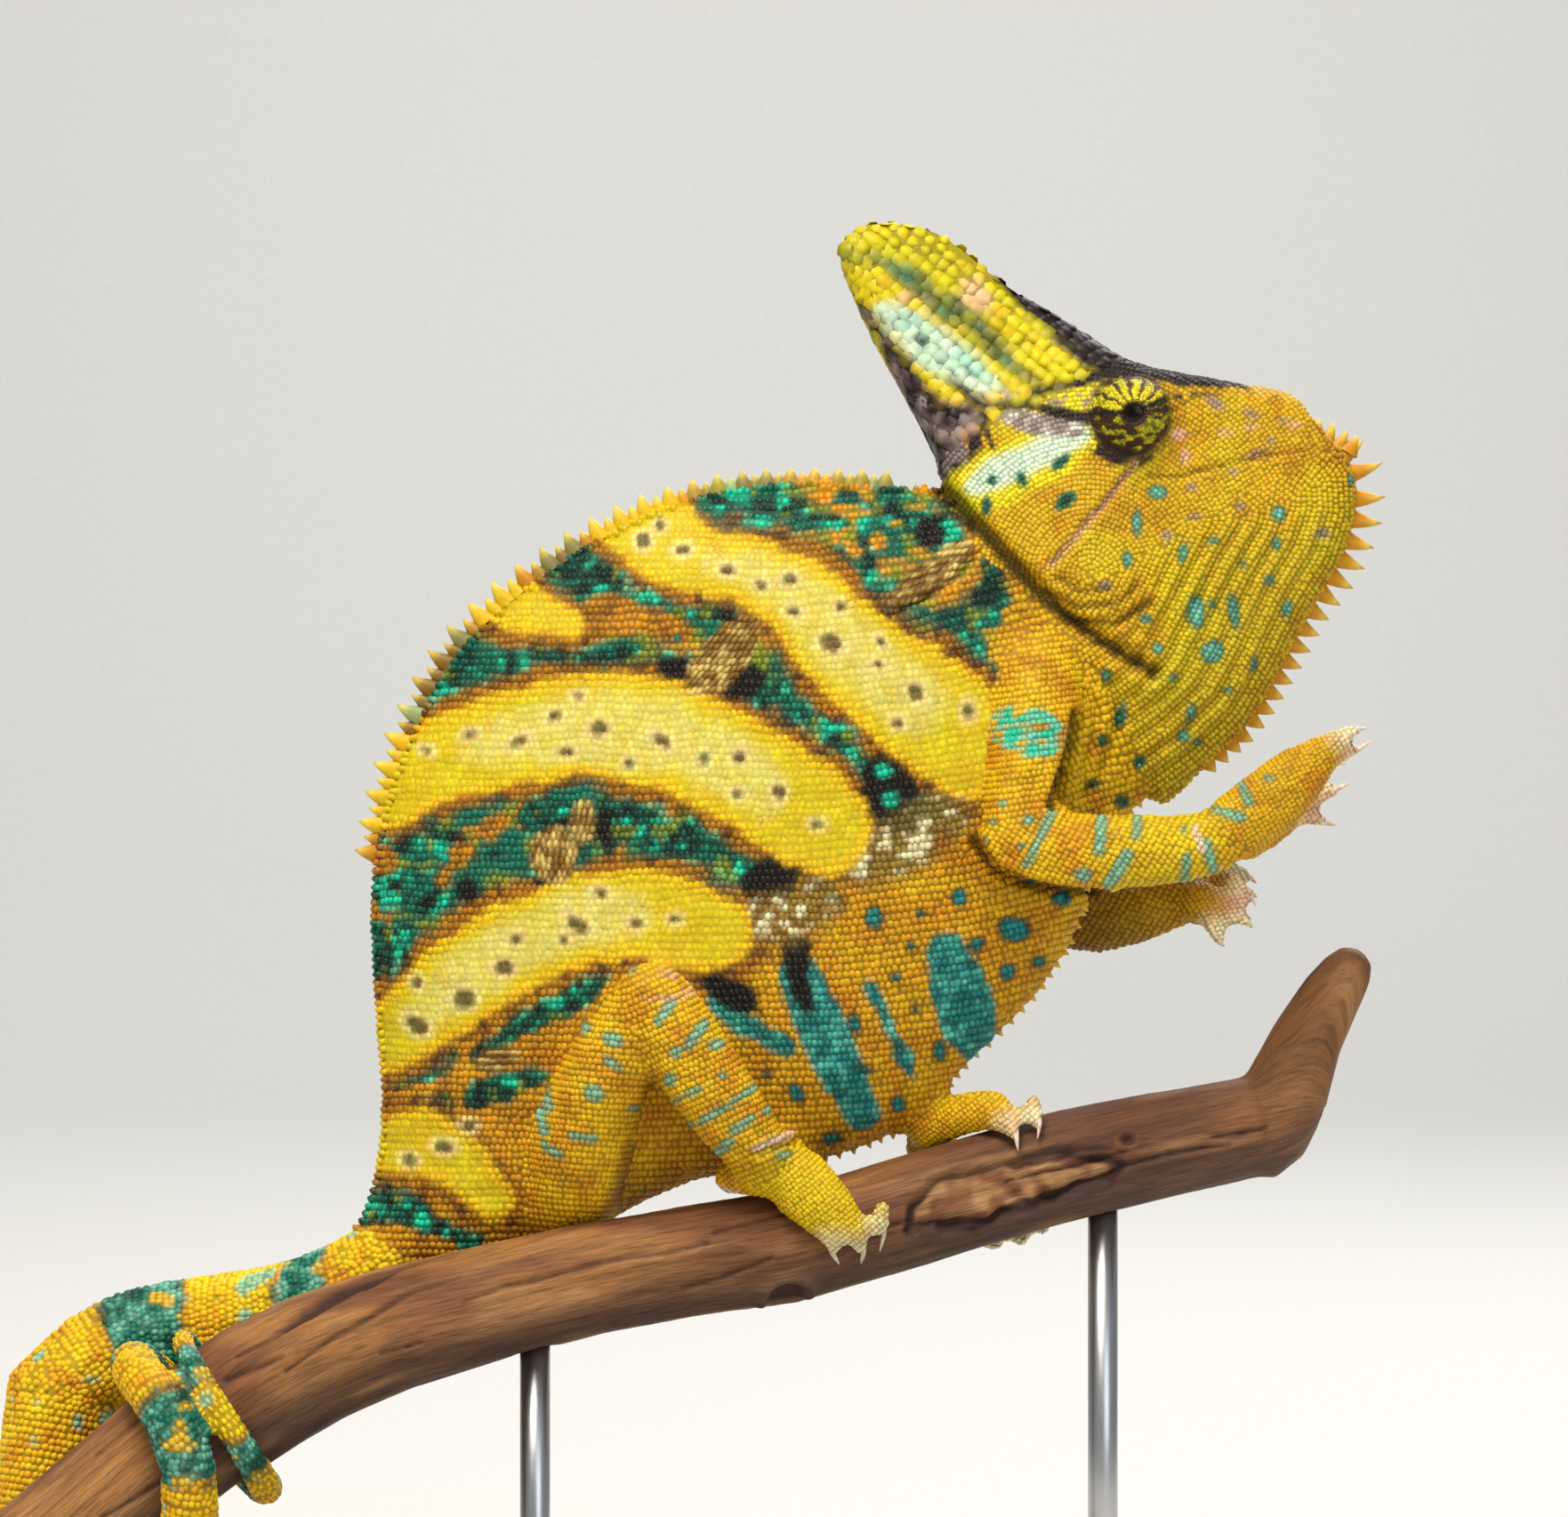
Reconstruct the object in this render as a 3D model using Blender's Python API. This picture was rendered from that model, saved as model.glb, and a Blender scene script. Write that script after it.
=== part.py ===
"""Veiled chameleon, an adult male at life size, as a still display model.

The animal faces +X and its right side faces -Y. It sits on a short cut length
of bare branch, its tail wound round it, and a plain stand carries the branch.
Tables are in millimetres and the objects are in metres. +Z is up and the origin
is the centre of the underside of the stand's base.
"""
import math

import bmesh
import bpy
import numpy as np
from mathutils import Vector

MM = 0.001
GAP = 0.3              # thin cut left between neighbouring solids
FLAT_ANGLE = 4.0       # degrees within which neighbouring faces count as flat
GROW = 0.34            # a cutter is this much larger, so that its flat faces clear GAP
NEAR = Vector((0.0, -1.0, 0.0))
UP = Vector((0.0, 0.0, 1.0))

# ---- stand ----
BASE_LENGTH = 190.0
BASE_WIDTH = 112.0
BASE_THICK = 12.0
BASE_BEVEL = 2.5
BASE_CORNER = 14.0     # radius of the base's upright corners
ROD_RADIUS = 3.0
ROD_SOCKET = 6.0       # depth of a rod in the base and in the branch
ROD_REAR_X = -44.0
ROD_FRONT_X = 70.0

# ---- branch: axis points and radius, from the sawn lower end to the bend ----
PERCH_AXIS = [
    (-172.0, -28.0, 34.0, 12.4),
    (-153.0, -27.0, 48.0, 12.6),
    (-135.0, -26.0, 62.0, 12.8),
    (-117.0, -25.0, 77.0, 13.2),
    (-99.0, -23.0, 90.5, 14.2),
    (-80.0, -21.0, 99.5, 13.6),
    (-52.0, -18.5, 107.0, 12.2),
    (-23.0, -14.5, 113.4, 11.6),
    (6.0, -10.5, 117.6, 11.4),
    (34.0, -7.0, 125.2, 11.3),
    (63.0, -4.5, 133.3, 11.4),
    (85.0, -3.0, 138.0, 11.2),
    (101.0, -2.0, 141.5, 10.8),
]
PERCH_STUB = [
    (102.5, -2.0, 139.5, 9.6),
    (107.5, -2.0, 149.0, 9.0),
    (111.5, -2.0, 159.0, 7.6),
    (116.5, -2.0, 168.0, 6.6),
    (119.5, -2.0, 172.5, 5.8),
]
PERCH_SIDES = 14
PERCH_STEPS = 18
PERCH_UNEVEN = (0.035, 0.025)      # two-sided and three-sided waviness, shares of the radius
PERCH_END_REACH = (8.0, 0.0, -1.0)  # from the last axis point to the broken end
STUB_SIDES = 10

# ---- trunk and neck: back line, belly line and half width, tail root to neck ----
TRUNK_STATIONS = [
    (-81.0, 120.0, -57.5, 105.0, 10.5),
    (-77.5, 131.5, -46.0, 112.0, 12.0),
    (-76.2, 143.0, -34.0, 119.0, 14.0),
    (-76.8, 157.0, -21.0, 126.0, 16.0),
    (-78.2, 173.0, -8.0, 130.5, 18.0),
    (-78.8, 190.0, 6.0, 132.5, 19.5),
    (-76.5, 206.5, 20.0, 135.0, 20.5),
    (-70.5, 223.0, 34.0, 142.5, 21.0),
    (-60.0, 240.5, 46.0, 155.0, 21.0),
    (-44.0, 254.5, 59.0, 168.0, 20.5),
    (-24.0, 266.0, 66.0, 180.5, 19.5),
    (-4.0, 271.8, 70.5, 192.0, 18.0),
    (14.0, 272.5, 76.0, 203.0, 16.0),
    (29.0, 271.6, 82.0, 213.0, 13.0),
    (43.0, 268.6, 86.0, 224.0, 9.5),
    (55.0, 262.0, 86.0, 234.0, 6.0),
]
BACK_RUN = 0.58        # part of a section's height over which the back narrows
BACK_POWER = 1.65      # below 2 the back is a ridge
BELLY_RUN = 0.46
BELLY_POWER = 1.95
NECK_CUT = 12.35       # station where the neck is parted from the trunk
TRUNK_STEPS, TRUNK_POINTS = 22, 8      # sections, and points from back to belly
HEAD_STEPS, HEAD_POINTS = 20, 9        # sections, and points from crown to chin

# ---- head: crown line and chin line, snout to casque tip, with their edges' shape ----
HEAD_STATIONS = [
    # crown x, z, chin x, z, crown run, power, chin run, power
    (111.6, 285.6, 112.8, 281.4, 3.0, 2.0, 3.0, 2.0),
    (110.4, 288.2, 117.4, 278.6, 6.0, 2.2, 6.0, 2.0),
    (107.1, 290.3, 121.4, 273.8, 7.0, 2.3, 9.0, 2.0),
    (101.0, 291.0, 122.0, 264.5, 7.0, 2.5, 14.0, 1.9),
    (93.5, 292.6, 118.6, 254.0, 7.0, 2.6, 20.0, 1.8),
    (85.0, 294.2, 112.6, 244.5, 7.0, 2.6, 24.0, 1.8),
    (77.5, 295.6, 107.0, 233.0, 9.0, 2.2, 28.0, 1.8),
    (71.0, 299.3, 100.5, 221.5, 20.0, 1.7, 30.0, 1.8),
    (63.5, 304.9, 91.0, 212.5, 32.0, 1.5, 30.0, 1.8),
    (56.5, 309.0, 80.0, 204.5, 42.0, 1.45, 26.0, 1.9),
    (50.0, 313.0, 65.5, 236.0, 46.0, 1.4, 12.0, 2.1),
    (43.6, 319.1, 49.6, 251.8, 46.0, 1.4, 9.0, 2.2),
    (38.0, 322.6, 40.0, 267.0, 40.0, 1.45, 8.0, 2.2),
    (33.0, 324.4, 32.0, 285.0, 30.0, 1.55, 7.0, 2.2),
    (27.5, 325.2, 25.0, 296.5, 20.0, 1.8, 6.0, 2.1),
    (21.5, 324.3, 19.5, 308.5, 9.0, 2.0, 6.0, 2.0),
    (17.6, 321.2, 16.4, 315.6, 4.0, 2.0, 3.0, 2.0),
]
HEAD_WIDTHS = [
    # x, z, half width at named places of the head and throat
    (111.0, 284.0, 5.6),     # nostrils
    (101.0, 284.0, 8.8),     # snout
    (90.0, 285.0, 10.8),     # in front of the eye
    (76.0, 285.0, 11.6),     # orbit
    (62.0, 280.0, 14.8),     # temple
    (48.0, 284.0, 12.0),     # base of the casque
    (40.0, 301.0, 7.8),      # side of the casque
    (27.0, 315.0, 4.4),      # casque tip
    (29.0, 296.0, 6.4),      # rear edge of the casque
    (66.5, 253.0, 16.6),     # jaw muscle
    (51.0, 258.0, 13.6),     # hind edge of the cheek
    (90.0, 264.0, 12.8),     # lower jaw
    (113.0, 268.0, 8.4),     # chin
    (97.0, 246.0, 11.2),     # throat
    (94.0, 224.0, 10.0),     # foot of the throat
    (79.0, 214.0, 11.0),     # throat against the chest
    (74.0, 230.0, 12.6),     # throat beside the neck
]
HEAD_WIDTH_BLUR = 8.5      # spread of each of those widths
CASQUE_CUT = ((30.0, 273.0), (75.0, 297.0))     # line between head and casque
THROAT_CUT = ((44.0, 238.0), (118.0, 279.0))    # line under the lower jaw

# ---- eyes ----
EYE_X, EYE_Z = 75.4, 284.4
EYEBALL_Y, EYEBALL_RADIUS = 12.4, 5.6
TURRET_Y, TURRET_RADIUS = 11.2, 8.0
PUPIL_RADIUS = 1.7         # opening of the fused lids
TURRET_BACK = 112.0        # degrees from the opening back to the buried rim
TURRET_STEPS = 5
ROUND_SIDES = 12           # sides of an eye and of a rod

# ---- crests ----
CREST_FIRST, CREST_LAST = 5.4, 13.1     # stations of the back line
CREST_PITCH = 6.0
CREST_HEIGHT, CREST_BASE = 4.0, 2.3
BEARD_FIRST, BEARD_LAST = 0.55, 7.9     # stations of the chin line
BEARD_PITCH = 4.4
BEARD_HEIGHT, BEARD_BASE = 6.1, 1.7
SPIKE_FLAT = 0.7                        # a spine's thickness over its breadth
SPIKE_SIDES = 4
SPIKE_FOOT = 0.5                        # depth of its foot in the skin over its breadth
SPINE_STEP = 0.05                       # piece of a station over which a line's run is taken

# ---- tail: points up to the coil, then the coil round the branch ----
TAIL_POINTS = [
    (-65.0, 0.0, 114.6),
    (-82.0, 0.6, 104.8),
    (-97.0, 3.4, 100.2),
    (-112.0, 6.0, 97.8),
    (-127.0, 6.4, 95.0),
    (-140.5, 3.4, 87.0),
]
TAIL_ROOT_FLAT = 0.76                   # breadth over depth at the root
TAIL_RADII = [
    # distance along the tail, radius
    (0.0, 14.0), (35.0, 12.9), (75.0, 12.4), (110.0, 10.9), (145.0, 7.9), (180.0, 5.9),
    (230.0, 4.7), (280.0, 3.6), (330.0, 2.3), (380.0, 1.2),
]
TAIL_COIL = [
    # turn about the branch in degrees, place along X: behind, below, before, over ...
    (-95.0, -146.0), (-180.0, -130.0), (-270.0, -113.2), (-360.0, -111.8), (-450.0, -110.0),
    (-540.0, -107.8), (-630.0, -105.6), (-720.0, -104.2), (-800.0, -103.2),
]
TAIL_ROUND_AT = 150.0                   # distance at which the tail has become round
TAIL_SUNK = 0.1                         # how far the coil presses on the bark
TAIL_STEP = 24.0                        # degrees between rings in the coil
TAIL_SIDES = 10
TAIL_NODES = 6

COLOURS = {
    "skin_gold": (0.70, 0.42, 0.02),
    "skin_lemon": (0.80, 0.68, 0.06),
    "skin_teal": (0.02, 0.28, 0.20),
    "skin_pale": (0.62, 0.55, 0.30),
    "claw": (0.45, 0.38, 0.28),
    "eye": (0.02, 0.015, 0.01),
    "wood": (0.36, 0.17, 0.08),
    "stand_paint": (0.03, 0.03, 0.032),
    "stand_steel": (0.45, 0.45, 0.46),
}


def spline(rows, u):
    """Smooth value of a table at position u, passing through every row."""
    rows = np.asarray(rows, dtype=float)
    last = len(rows) - 1
    k = min(max(int(math.floor(u)), 0), last - 1)
    f = u - k
    before = rows[k - 1] if k > 0 else 2.0 * rows[0] - rows[1]
    after = rows[k + 2] if k + 2 <= last else 2.0 * rows[last] - rows[last - 1]
    a, b = rows[k], rows[k + 1]
    return (a + 0.5 * f * (b - before)
            + f * f * (before - 2.5 * a + 2.0 * b - 0.5 * after)
            + f * f * f * (1.5 * (a - b) + 0.5 * (after - before)))


def smooth_by_key(table, key):
    """Smooth second column of a table whose first column rises."""
    keys = [row[0] for row in table]
    u = float(np.interp(key, keys, range(len(keys))))
    return float(spline([row[1:] for row in table], u)[0])


def material(name):
    """Principled material of a named colour."""
    found = bpy.data.materials.get(name)
    if found:
        return found
    made = bpy.data.materials.new(name)
    made.use_nodes = True
    shader = made.node_tree.nodes["Principled BSDF"]
    shader.inputs["Base Color"].default_value = (*COLOURS[name], 1.0)
    shader.inputs["Roughness"].default_value = 0.35 if name in ("eye", "stand_steel") else 0.6
    shader.inputs["Metallic"].default_value = 1.0 if name == "stand_steel" else 0.0
    return made


def loft(rings, start=None, end=None):
    """Closed mesh through rings of equal count; an end is a point or a flat cap."""
    bm = bmesh.new()
    loops = [[bm.verts.new(p) for p in ring] for ring in rings]
    count = len(loops[0])
    for lower, upper in zip(loops, loops[1:]):
        for j in range(count):
            k = (j + 1) % count
            bm.faces.new((lower[j], lower[k], upper[k], upper[j]))
    for loop, tip in ((loops[0], start), (loops[-1], end)):
        if tip is None:
            bm.faces.new(loop)
            continue
        pole = bm.verts.new(tip)
        for j in range(count):
            bm.faces.new((loop[j], loop[(j + 1) % count], pole))
    bmesh.ops.recalc_face_normals(bm, faces=bm.faces)
    return bm


def finish(name, bm, slot):
    """Object in metres from a mesh in millimetres, its flat places simplified."""
    bmesh.ops.dissolve_limit(bm, angle_limit=math.radians(FLAT_ANGLE), verts=bm.verts,
                             edges=bm.edges)
    bmesh.ops.triangulate(bm, faces=bm.faces)
    bmesh.ops.recalc_face_normals(bm, faces=bm.faces)
    mesh = bpy.data.meshes.new(name)
    bmesh.ops.scale(bm, vec=(MM, MM, MM), verts=bm.verts)
    bm.to_mesh(mesh)
    bm.free()
    mesh.shade_smooth()
    mesh.set_sharp_from_angle(angle=math.radians(50.0))
    mesh.materials.append(material(slot))
    made = bpy.data.objects.new(name, mesh)
    bpy.context.collection.objects.link(made)
    return made


def grown(bm, by=GROW):
    """Copy of a mesh, enlarged by moving each vertex along its normal."""
    copy = bm.copy()
    copy.normal_update()
    moves = [v.co + v.normal * by for v in copy.verts]
    for vert, place in zip(copy.verts, moves):
        vert.co = place
    return copy


def boolean(bm, other, operation):
    """Exact boolean of two meshes in millimetres; both inputs are used up."""
    meshes = []
    for source in (bm, other):
        bmesh.ops.triangulate(source, faces=source.faces)
        mesh = bpy.data.meshes.new("work")
        source.to_mesh(mesh)
        source.free()
        meshes.append(mesh)
    target = bpy.data.objects.new("work_target", meshes[0])
    tool = bpy.data.objects.new("work_tool", meshes[1])
    for item in (target, tool):
        bpy.context.collection.objects.link(item)
    change = target.modifiers.new("change", "BOOLEAN")
    change.operation = operation
    change.solver = "EXACT"
    change.object = tool
    seen = target.evaluated_get(bpy.context.evaluated_depsgraph_get())
    result = bmesh.new()
    result.from_mesh(seen.to_mesh())
    seen.to_mesh_clear()
    for item, mesh in ((target, meshes[0]), (tool, meshes[1])):
        bpy.data.objects.remove(item)
        bpy.data.meshes.remove(mesh)
    bmesh.ops.remove_doubles(result, verts=result.verts, dist=1e-4)
    bmesh.ops.dissolve_degenerate(result, dist=1e-4, edges=result.edges)
    bmesh.ops.triangulate(result, faces=result.faces)
    return result


def islands(bm):
    """Groups of faces joined through shared vertices."""
    left = set(bm.faces)
    groups = []
    while left:
        stack = [left.pop()]
        group = list(stack)
        while stack:
            for vert in stack.pop().verts:
                for face in vert.link_faces:
                    if face in left:
                        left.remove(face)
                        stack.append(face)
                        group.append(face)
        groups.append(group)
    return groups


def main_body(bm):
    """Drops the crumbs that a cut leaves, so that one body stays."""
    groups = sorted(islands(bm), key=lambda g: sum(f.calc_area() for f in g))
    for crumb in groups[:-1]:
        bmesh.ops.delete(bm, geom=crumb, context="FACES")
    return bm


def carve(bm, cutters):
    """Mesh less grown copies of its neighbours."""
    for cutter in cutters:
        bm = main_body(boolean(bm, grown(cutter), "DIFFERENCE"))
    return bm


def part_by_plane(bm, point, normal):
    """Two closed halves of a mesh either side of a thin plane cut."""
    halves = []
    for sign in (1.0, -1.0):
        half = bm.copy()
        side = Vector(normal).normalized() * sign
        place = Vector(point) + side * (GAP / 2.0)
        geometry = list(half.verts) + list(half.edges) + list(half.faces)
        bmesh.ops.bisect_plane(half, geom=geometry, dist=1e-5, plane_co=place,
                               plane_no=side, clear_inner=True)
        rim = [e for e in half.edges if e.is_boundary]
        bmesh.ops.triangle_fill(half, use_beauty=True, edges=rim)
        halves.append(main_body(half))
    bm.free()
    return halves


def line_plane(line):
    """Point and normal of the plane through a line of the XZ plane, along Y."""
    (x0, z0), (x1, z1) = line
    return Vector((x0, 0.0, z0)), Vector((z0 - z1, 0.0, x1 - x0))


# ---- trunk, neck and head: sections between an upper and a lower line ----

def edge_rise(distance, run, power):
    """Half width near an edge as a share of the full one, 0 on the edge itself."""
    inward = 1.0 - min(distance / run, 1.0)
    return (1.0 - inward ** power) ** (1.0 / power)


def section(top, bottom, half_width, points):
    """Closed ring in the plane of Y and the line from top to bottom."""
    shares = [0.5 - 0.5 * math.cos(math.pi * k / points) for k in range(points + 1)]
    near, far = [], []
    for share in shares:
        x = top[0] + (bottom[0] - top[0]) * share
        z = top[1] + (bottom[1] - top[1]) * share
        width = half_width(x, z, share)
        near.append(Vector((x, -width, z)))
        far.append(Vector((x, width, z)))
    return near + far[-2:0:-1]


def trunk_section(u):
    x0, z0, x1, z1, width = spline(TRUNK_STATIONS, u)

    def half_width(_x, _z, share):
        return (width * edge_rise(share, BACK_RUN, BACK_POWER)
                * edge_rise(1.0 - share, BELLY_RUN, BELLY_POWER))
    return section((x0, z0), (x1, z1), half_width, TRUNK_POINTS)


def head_width(x, z):
    """Half width of the head before its edges are rounded."""
    total = weight = 0.0
    for px, pz, width in HEAD_WIDTHS:
        w = math.exp(-((x - px) ** 2 + (z - pz) ** 2) / (2.0 * HEAD_WIDTH_BLUR ** 2))
        total += w * width
        weight += w
    return total / weight


def head_section(u):
    x0, z0, x1, z1, run0, power0, run1, power1 = spline(HEAD_STATIONS, u)
    length = math.hypot(x1 - x0, z1 - z0)

    def half_width(x, z, share):
        return (head_width(x, z) * edge_rise(share * length, run0, power0)
                * edge_rise((1.0 - share) * length, run1, power1))
    return section((x0, z0), (x1, z1), half_width, HEAD_POINTS)


def spike(root, along, out, height, base):
    """Flattened cone of a crest, its foot sunk in the skin."""
    foot = root - out * (SPIKE_FOOT * base)
    ring = []
    for k in range(SPIKE_SIDES):
        turn = 2.0 * math.pi * k / SPIKE_SIDES
        ring.append(foot + along * (base * math.cos(turn))
                    + NEAR * (base * SPIKE_FLAT * math.sin(turn)))
    return [ring], root + out * height


def back_height(share):
    """Height of the back's spines along their row, tallest over the shoulders."""
    return CREST_HEIGHT * (0.55 + 0.45 * math.sin(math.pi * min(1.0, 0.25 + share)))


def beard_height(share):
    """Height of the beard's spines along their row, tallest under the chin."""
    return BEARD_HEIGHT * min(0.6 + 3.0 * share, 1.15 - 0.95 * share)


def crest(stations, columns, first, last, pitch, height, base):
    """Row of spines along one line of a table; small spines stand closer."""
    joined = bmesh.new()

    def place(u):
        row = spline(stations, u)
        return Vector((row[columns[0]], 0.0, row[columns[1]]))
    u = first
    while u < last:
        here = place(u)
        ahead = place(u + SPINE_STEP)
        along = (ahead - here).normalized()
        share = (u - first) / (last - first)
        fullness = height(share) / height(0.3)
        rings, tip = spike(here, along, NEAR.cross(along), height(share),
                           base * (0.55 + 0.45 * fullness))
        piece = loft(rings, end=tip)
        mesh = bpy.data.meshes.new("spine")
        piece.to_mesh(mesh)
        piece.free()
        joined.from_mesh(mesh)
        bpy.data.meshes.remove(mesh)
        u += SPINE_STEP * pitch * (0.6 + 0.4 * fullness) / (ahead - here).length
    return joined


# ---- tubes: legs, tail, toes and branch ----

def path_frames(points, side):
    """Tangent, normal and side vector at each point, turning as little as they can."""
    frames = []
    for k, point in enumerate(points):
        ahead = points[min(k + 1, len(points) - 1)]
        behind = points[max(k - 1, 0)]
        tangent = (ahead - behind).normalized()
        side = (side - tangent * side.dot(tangent)).normalized()
        frames.append((tangent, side.cross(tangent), side))
    return frames


def tube(rows, sides, per_span=2, round_start=True, round_end=True, side=NEAR):
    """Tube through rows of x, y, z, depth radius and breadth radius."""
    last = len(rows) - 1
    samples = [spline(rows, k / per_span) for k in range(last * per_span + 1)]
    points = [Vector(s[:3]) for s in samples]
    frames = path_frames(points, side)
    rings = []

    def ring(point, frame, depth, breadth):
        _, normal, across = frame
        return [point + normal * (depth * math.cos(2.0 * math.pi * j / sides))
                + across * (breadth * math.sin(2.0 * math.pi * j / sides))
                for j in range(sides)]
    ends = [None, None]
    if round_start:
        reach = 0.5 * (samples[0][3] + samples[0][4])
        ends[0] = points[0] - frames[0][0] * reach
        rings.append(ring(points[0] - frames[0][0] * (END_INSET * reach), frames[0],
                          samples[0][3] * END_INSET, samples[0][4] * END_INSET))
    for point, frame, sample in zip(points, frames, samples):
        rings.append(ring(point, frame, sample[3], sample[4]))
    if round_end:
        reach = 0.5 * (samples[-1][3] + samples[-1][4])
        ends[1] = points[-1] + frames[-1][0] * reach
        rings.append(ring(points[-1] + frames[-1][0] * (END_INSET * reach), frames[-1],
                          samples[-1][3] * END_INSET, samples[-1][4] * END_INSET))
    return loft(rings, ends[0], ends[1])


def perch_at(x):
    """Centre, tangent, upward normal and radius of the branch at a place along X."""
    low, high = 0.0, len(PERCH_AXIS) - 1.0
    for _ in range(40):
        middle = 0.5 * (low + high)
        if spline(PERCH_AXIS, middle)[0] < x:
            low = middle
        else:
            high = middle
    row = spline(PERCH_AXIS, low)
    ahead = spline(PERCH_AXIS, low + 0.02)
    tangent = Vector(ahead[:3] - row[:3]).normalized()
    upward = (UP - tangent * UP.dot(tangent)).normalized()
    return Vector(row[:3]), tangent, upward, float(row[3])


def round_perch(x, degrees, off):
    """Point at a distance off the bark; 0 degrees is the top and 90 the near side."""
    centre, tangent, upward, radius = perch_at(x)
    near = tangent.cross(upward)
    turn = math.radians(degrees)
    return centre + (upward * math.cos(turn) + near * math.sin(turn)) * (radius + off)


def perch_mesh():
    """Branch: a slightly uneven tube, joined to the stub that rises from its bend."""
    rings = []
    for k in range(PERCH_STEPS + 1):
        u = (len(PERCH_AXIS) - 1) * k / PERCH_STEPS
        row = spline(PERCH_AXIS, u)
        ahead = spline(PERCH_AXIS, u + 0.01)
        behind = spline(PERCH_AXIS, u - 0.01)
        tangent = Vector(ahead[:3] - behind[:3]).normalized()
        upward = (UP - tangent * UP.dot(tangent)).normalized()
        near = tangent.cross(upward)
        ring = []
        for j in range(PERCH_SIDES):
            turn = 2.0 * math.pi * j / PERCH_SIDES
            uneven = (1.0 + PERCH_UNEVEN[0] * math.sin(2.0 * turn + 0.9 * u)
                      + PERCH_UNEVEN[1] * math.sin(3.0 * turn - 1.7 * u))
            ring.append(Vector(row[:3]) + (upward * math.cos(turn) + near * math.sin(turn))
                        * (row[3] * uneven))
        rings.append(ring)
    end = Vector(PERCH_AXIS[-1][:3]) + Vector(PERCH_END_REACH)
    main = loft(rings, end=end)
    stub = tube([(*row, row[3]) for row in PERCH_STUB], STUB_SIDES, per_span=1)
    return boolean(main, stub, "UNION")


def turned(profile, centre, axis, sides):
    """Ring-shaped mesh: a closed profile of radius and height turned about an axis."""
    bm = bmesh.new()
    across = UP.cross(axis).normalized()
    upward = axis.cross(across)
    loops = []
    for j in range(sides):
        turn = 2.0 * math.pi * j / sides
        out = across * math.cos(turn) + upward * math.sin(turn)
        loops.append([bm.verts.new(centre + out * r + axis * h) for r, h in profile])
    count = len(profile)
    for j in range(sides):
        here, there = loops[j], loops[(j + 1) % sides]
        for k in range(count):
            n = (k + 1) % count
            bm.faces.new((here[k], here[n], there[n], there[k]))
    bmesh.ops.recalc_face_normals(bm, faces=bm.faces)
    return bm


def ball(centre, radius, sides, axis):
    """Round ball with its poles on an axis."""
    across = UP.cross(axis).normalized()
    upward = axis.cross(across)
    rings = []
    rows = sides // 2
    for k in range(1, rows):
        polar = math.pi * k / rows
        ring_radius = radius * math.sin(polar)
        rings.append([centre + axis * (radius * math.cos(polar))
                      + (across * math.cos(2.0 * math.pi * j / sides)
                         + upward * math.sin(2.0 * math.pi * j / sides)) * ring_radius
                      for j in range(sides)])
    return loft(rings, centre + axis * radius, centre - axis * radius)


def turret(axis):
    """Fused eyelids: a thin dome round the eyeball with a small round opening."""
    outer_start = math.asin(PUPIL_RADIUS / TURRET_RADIUS)
    inner_radius = EYEBALL_RADIUS + GAP
    inner_start = math.asin(PUPIL_RADIUS / inner_radius)
    back = math.radians(TURRET_BACK)
    offset = EYEBALL_Y - TURRET_Y
    profile = []
    for k in range(TURRET_STEPS + 1):
        polar = outer_start + (back - outer_start) * k / TURRET_STEPS
        profile.append((TURRET_RADIUS * math.sin(polar), TURRET_RADIUS * math.cos(polar)))
    for k in range(TURRET_STEPS + 1):
        polar = back + (inner_start - back) * k / TURRET_STEPS
        profile.append((inner_radius * math.sin(polar),
                        offset + inner_radius * math.cos(polar)))
    centre = Vector((EYE_X, 0.0, EYE_Z)) + axis * TURRET_Y
    return turned(profile, centre, axis, ROUND_SIDES)


# ---- legs: x, y, z, depth radius, breadth radius ----

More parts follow.
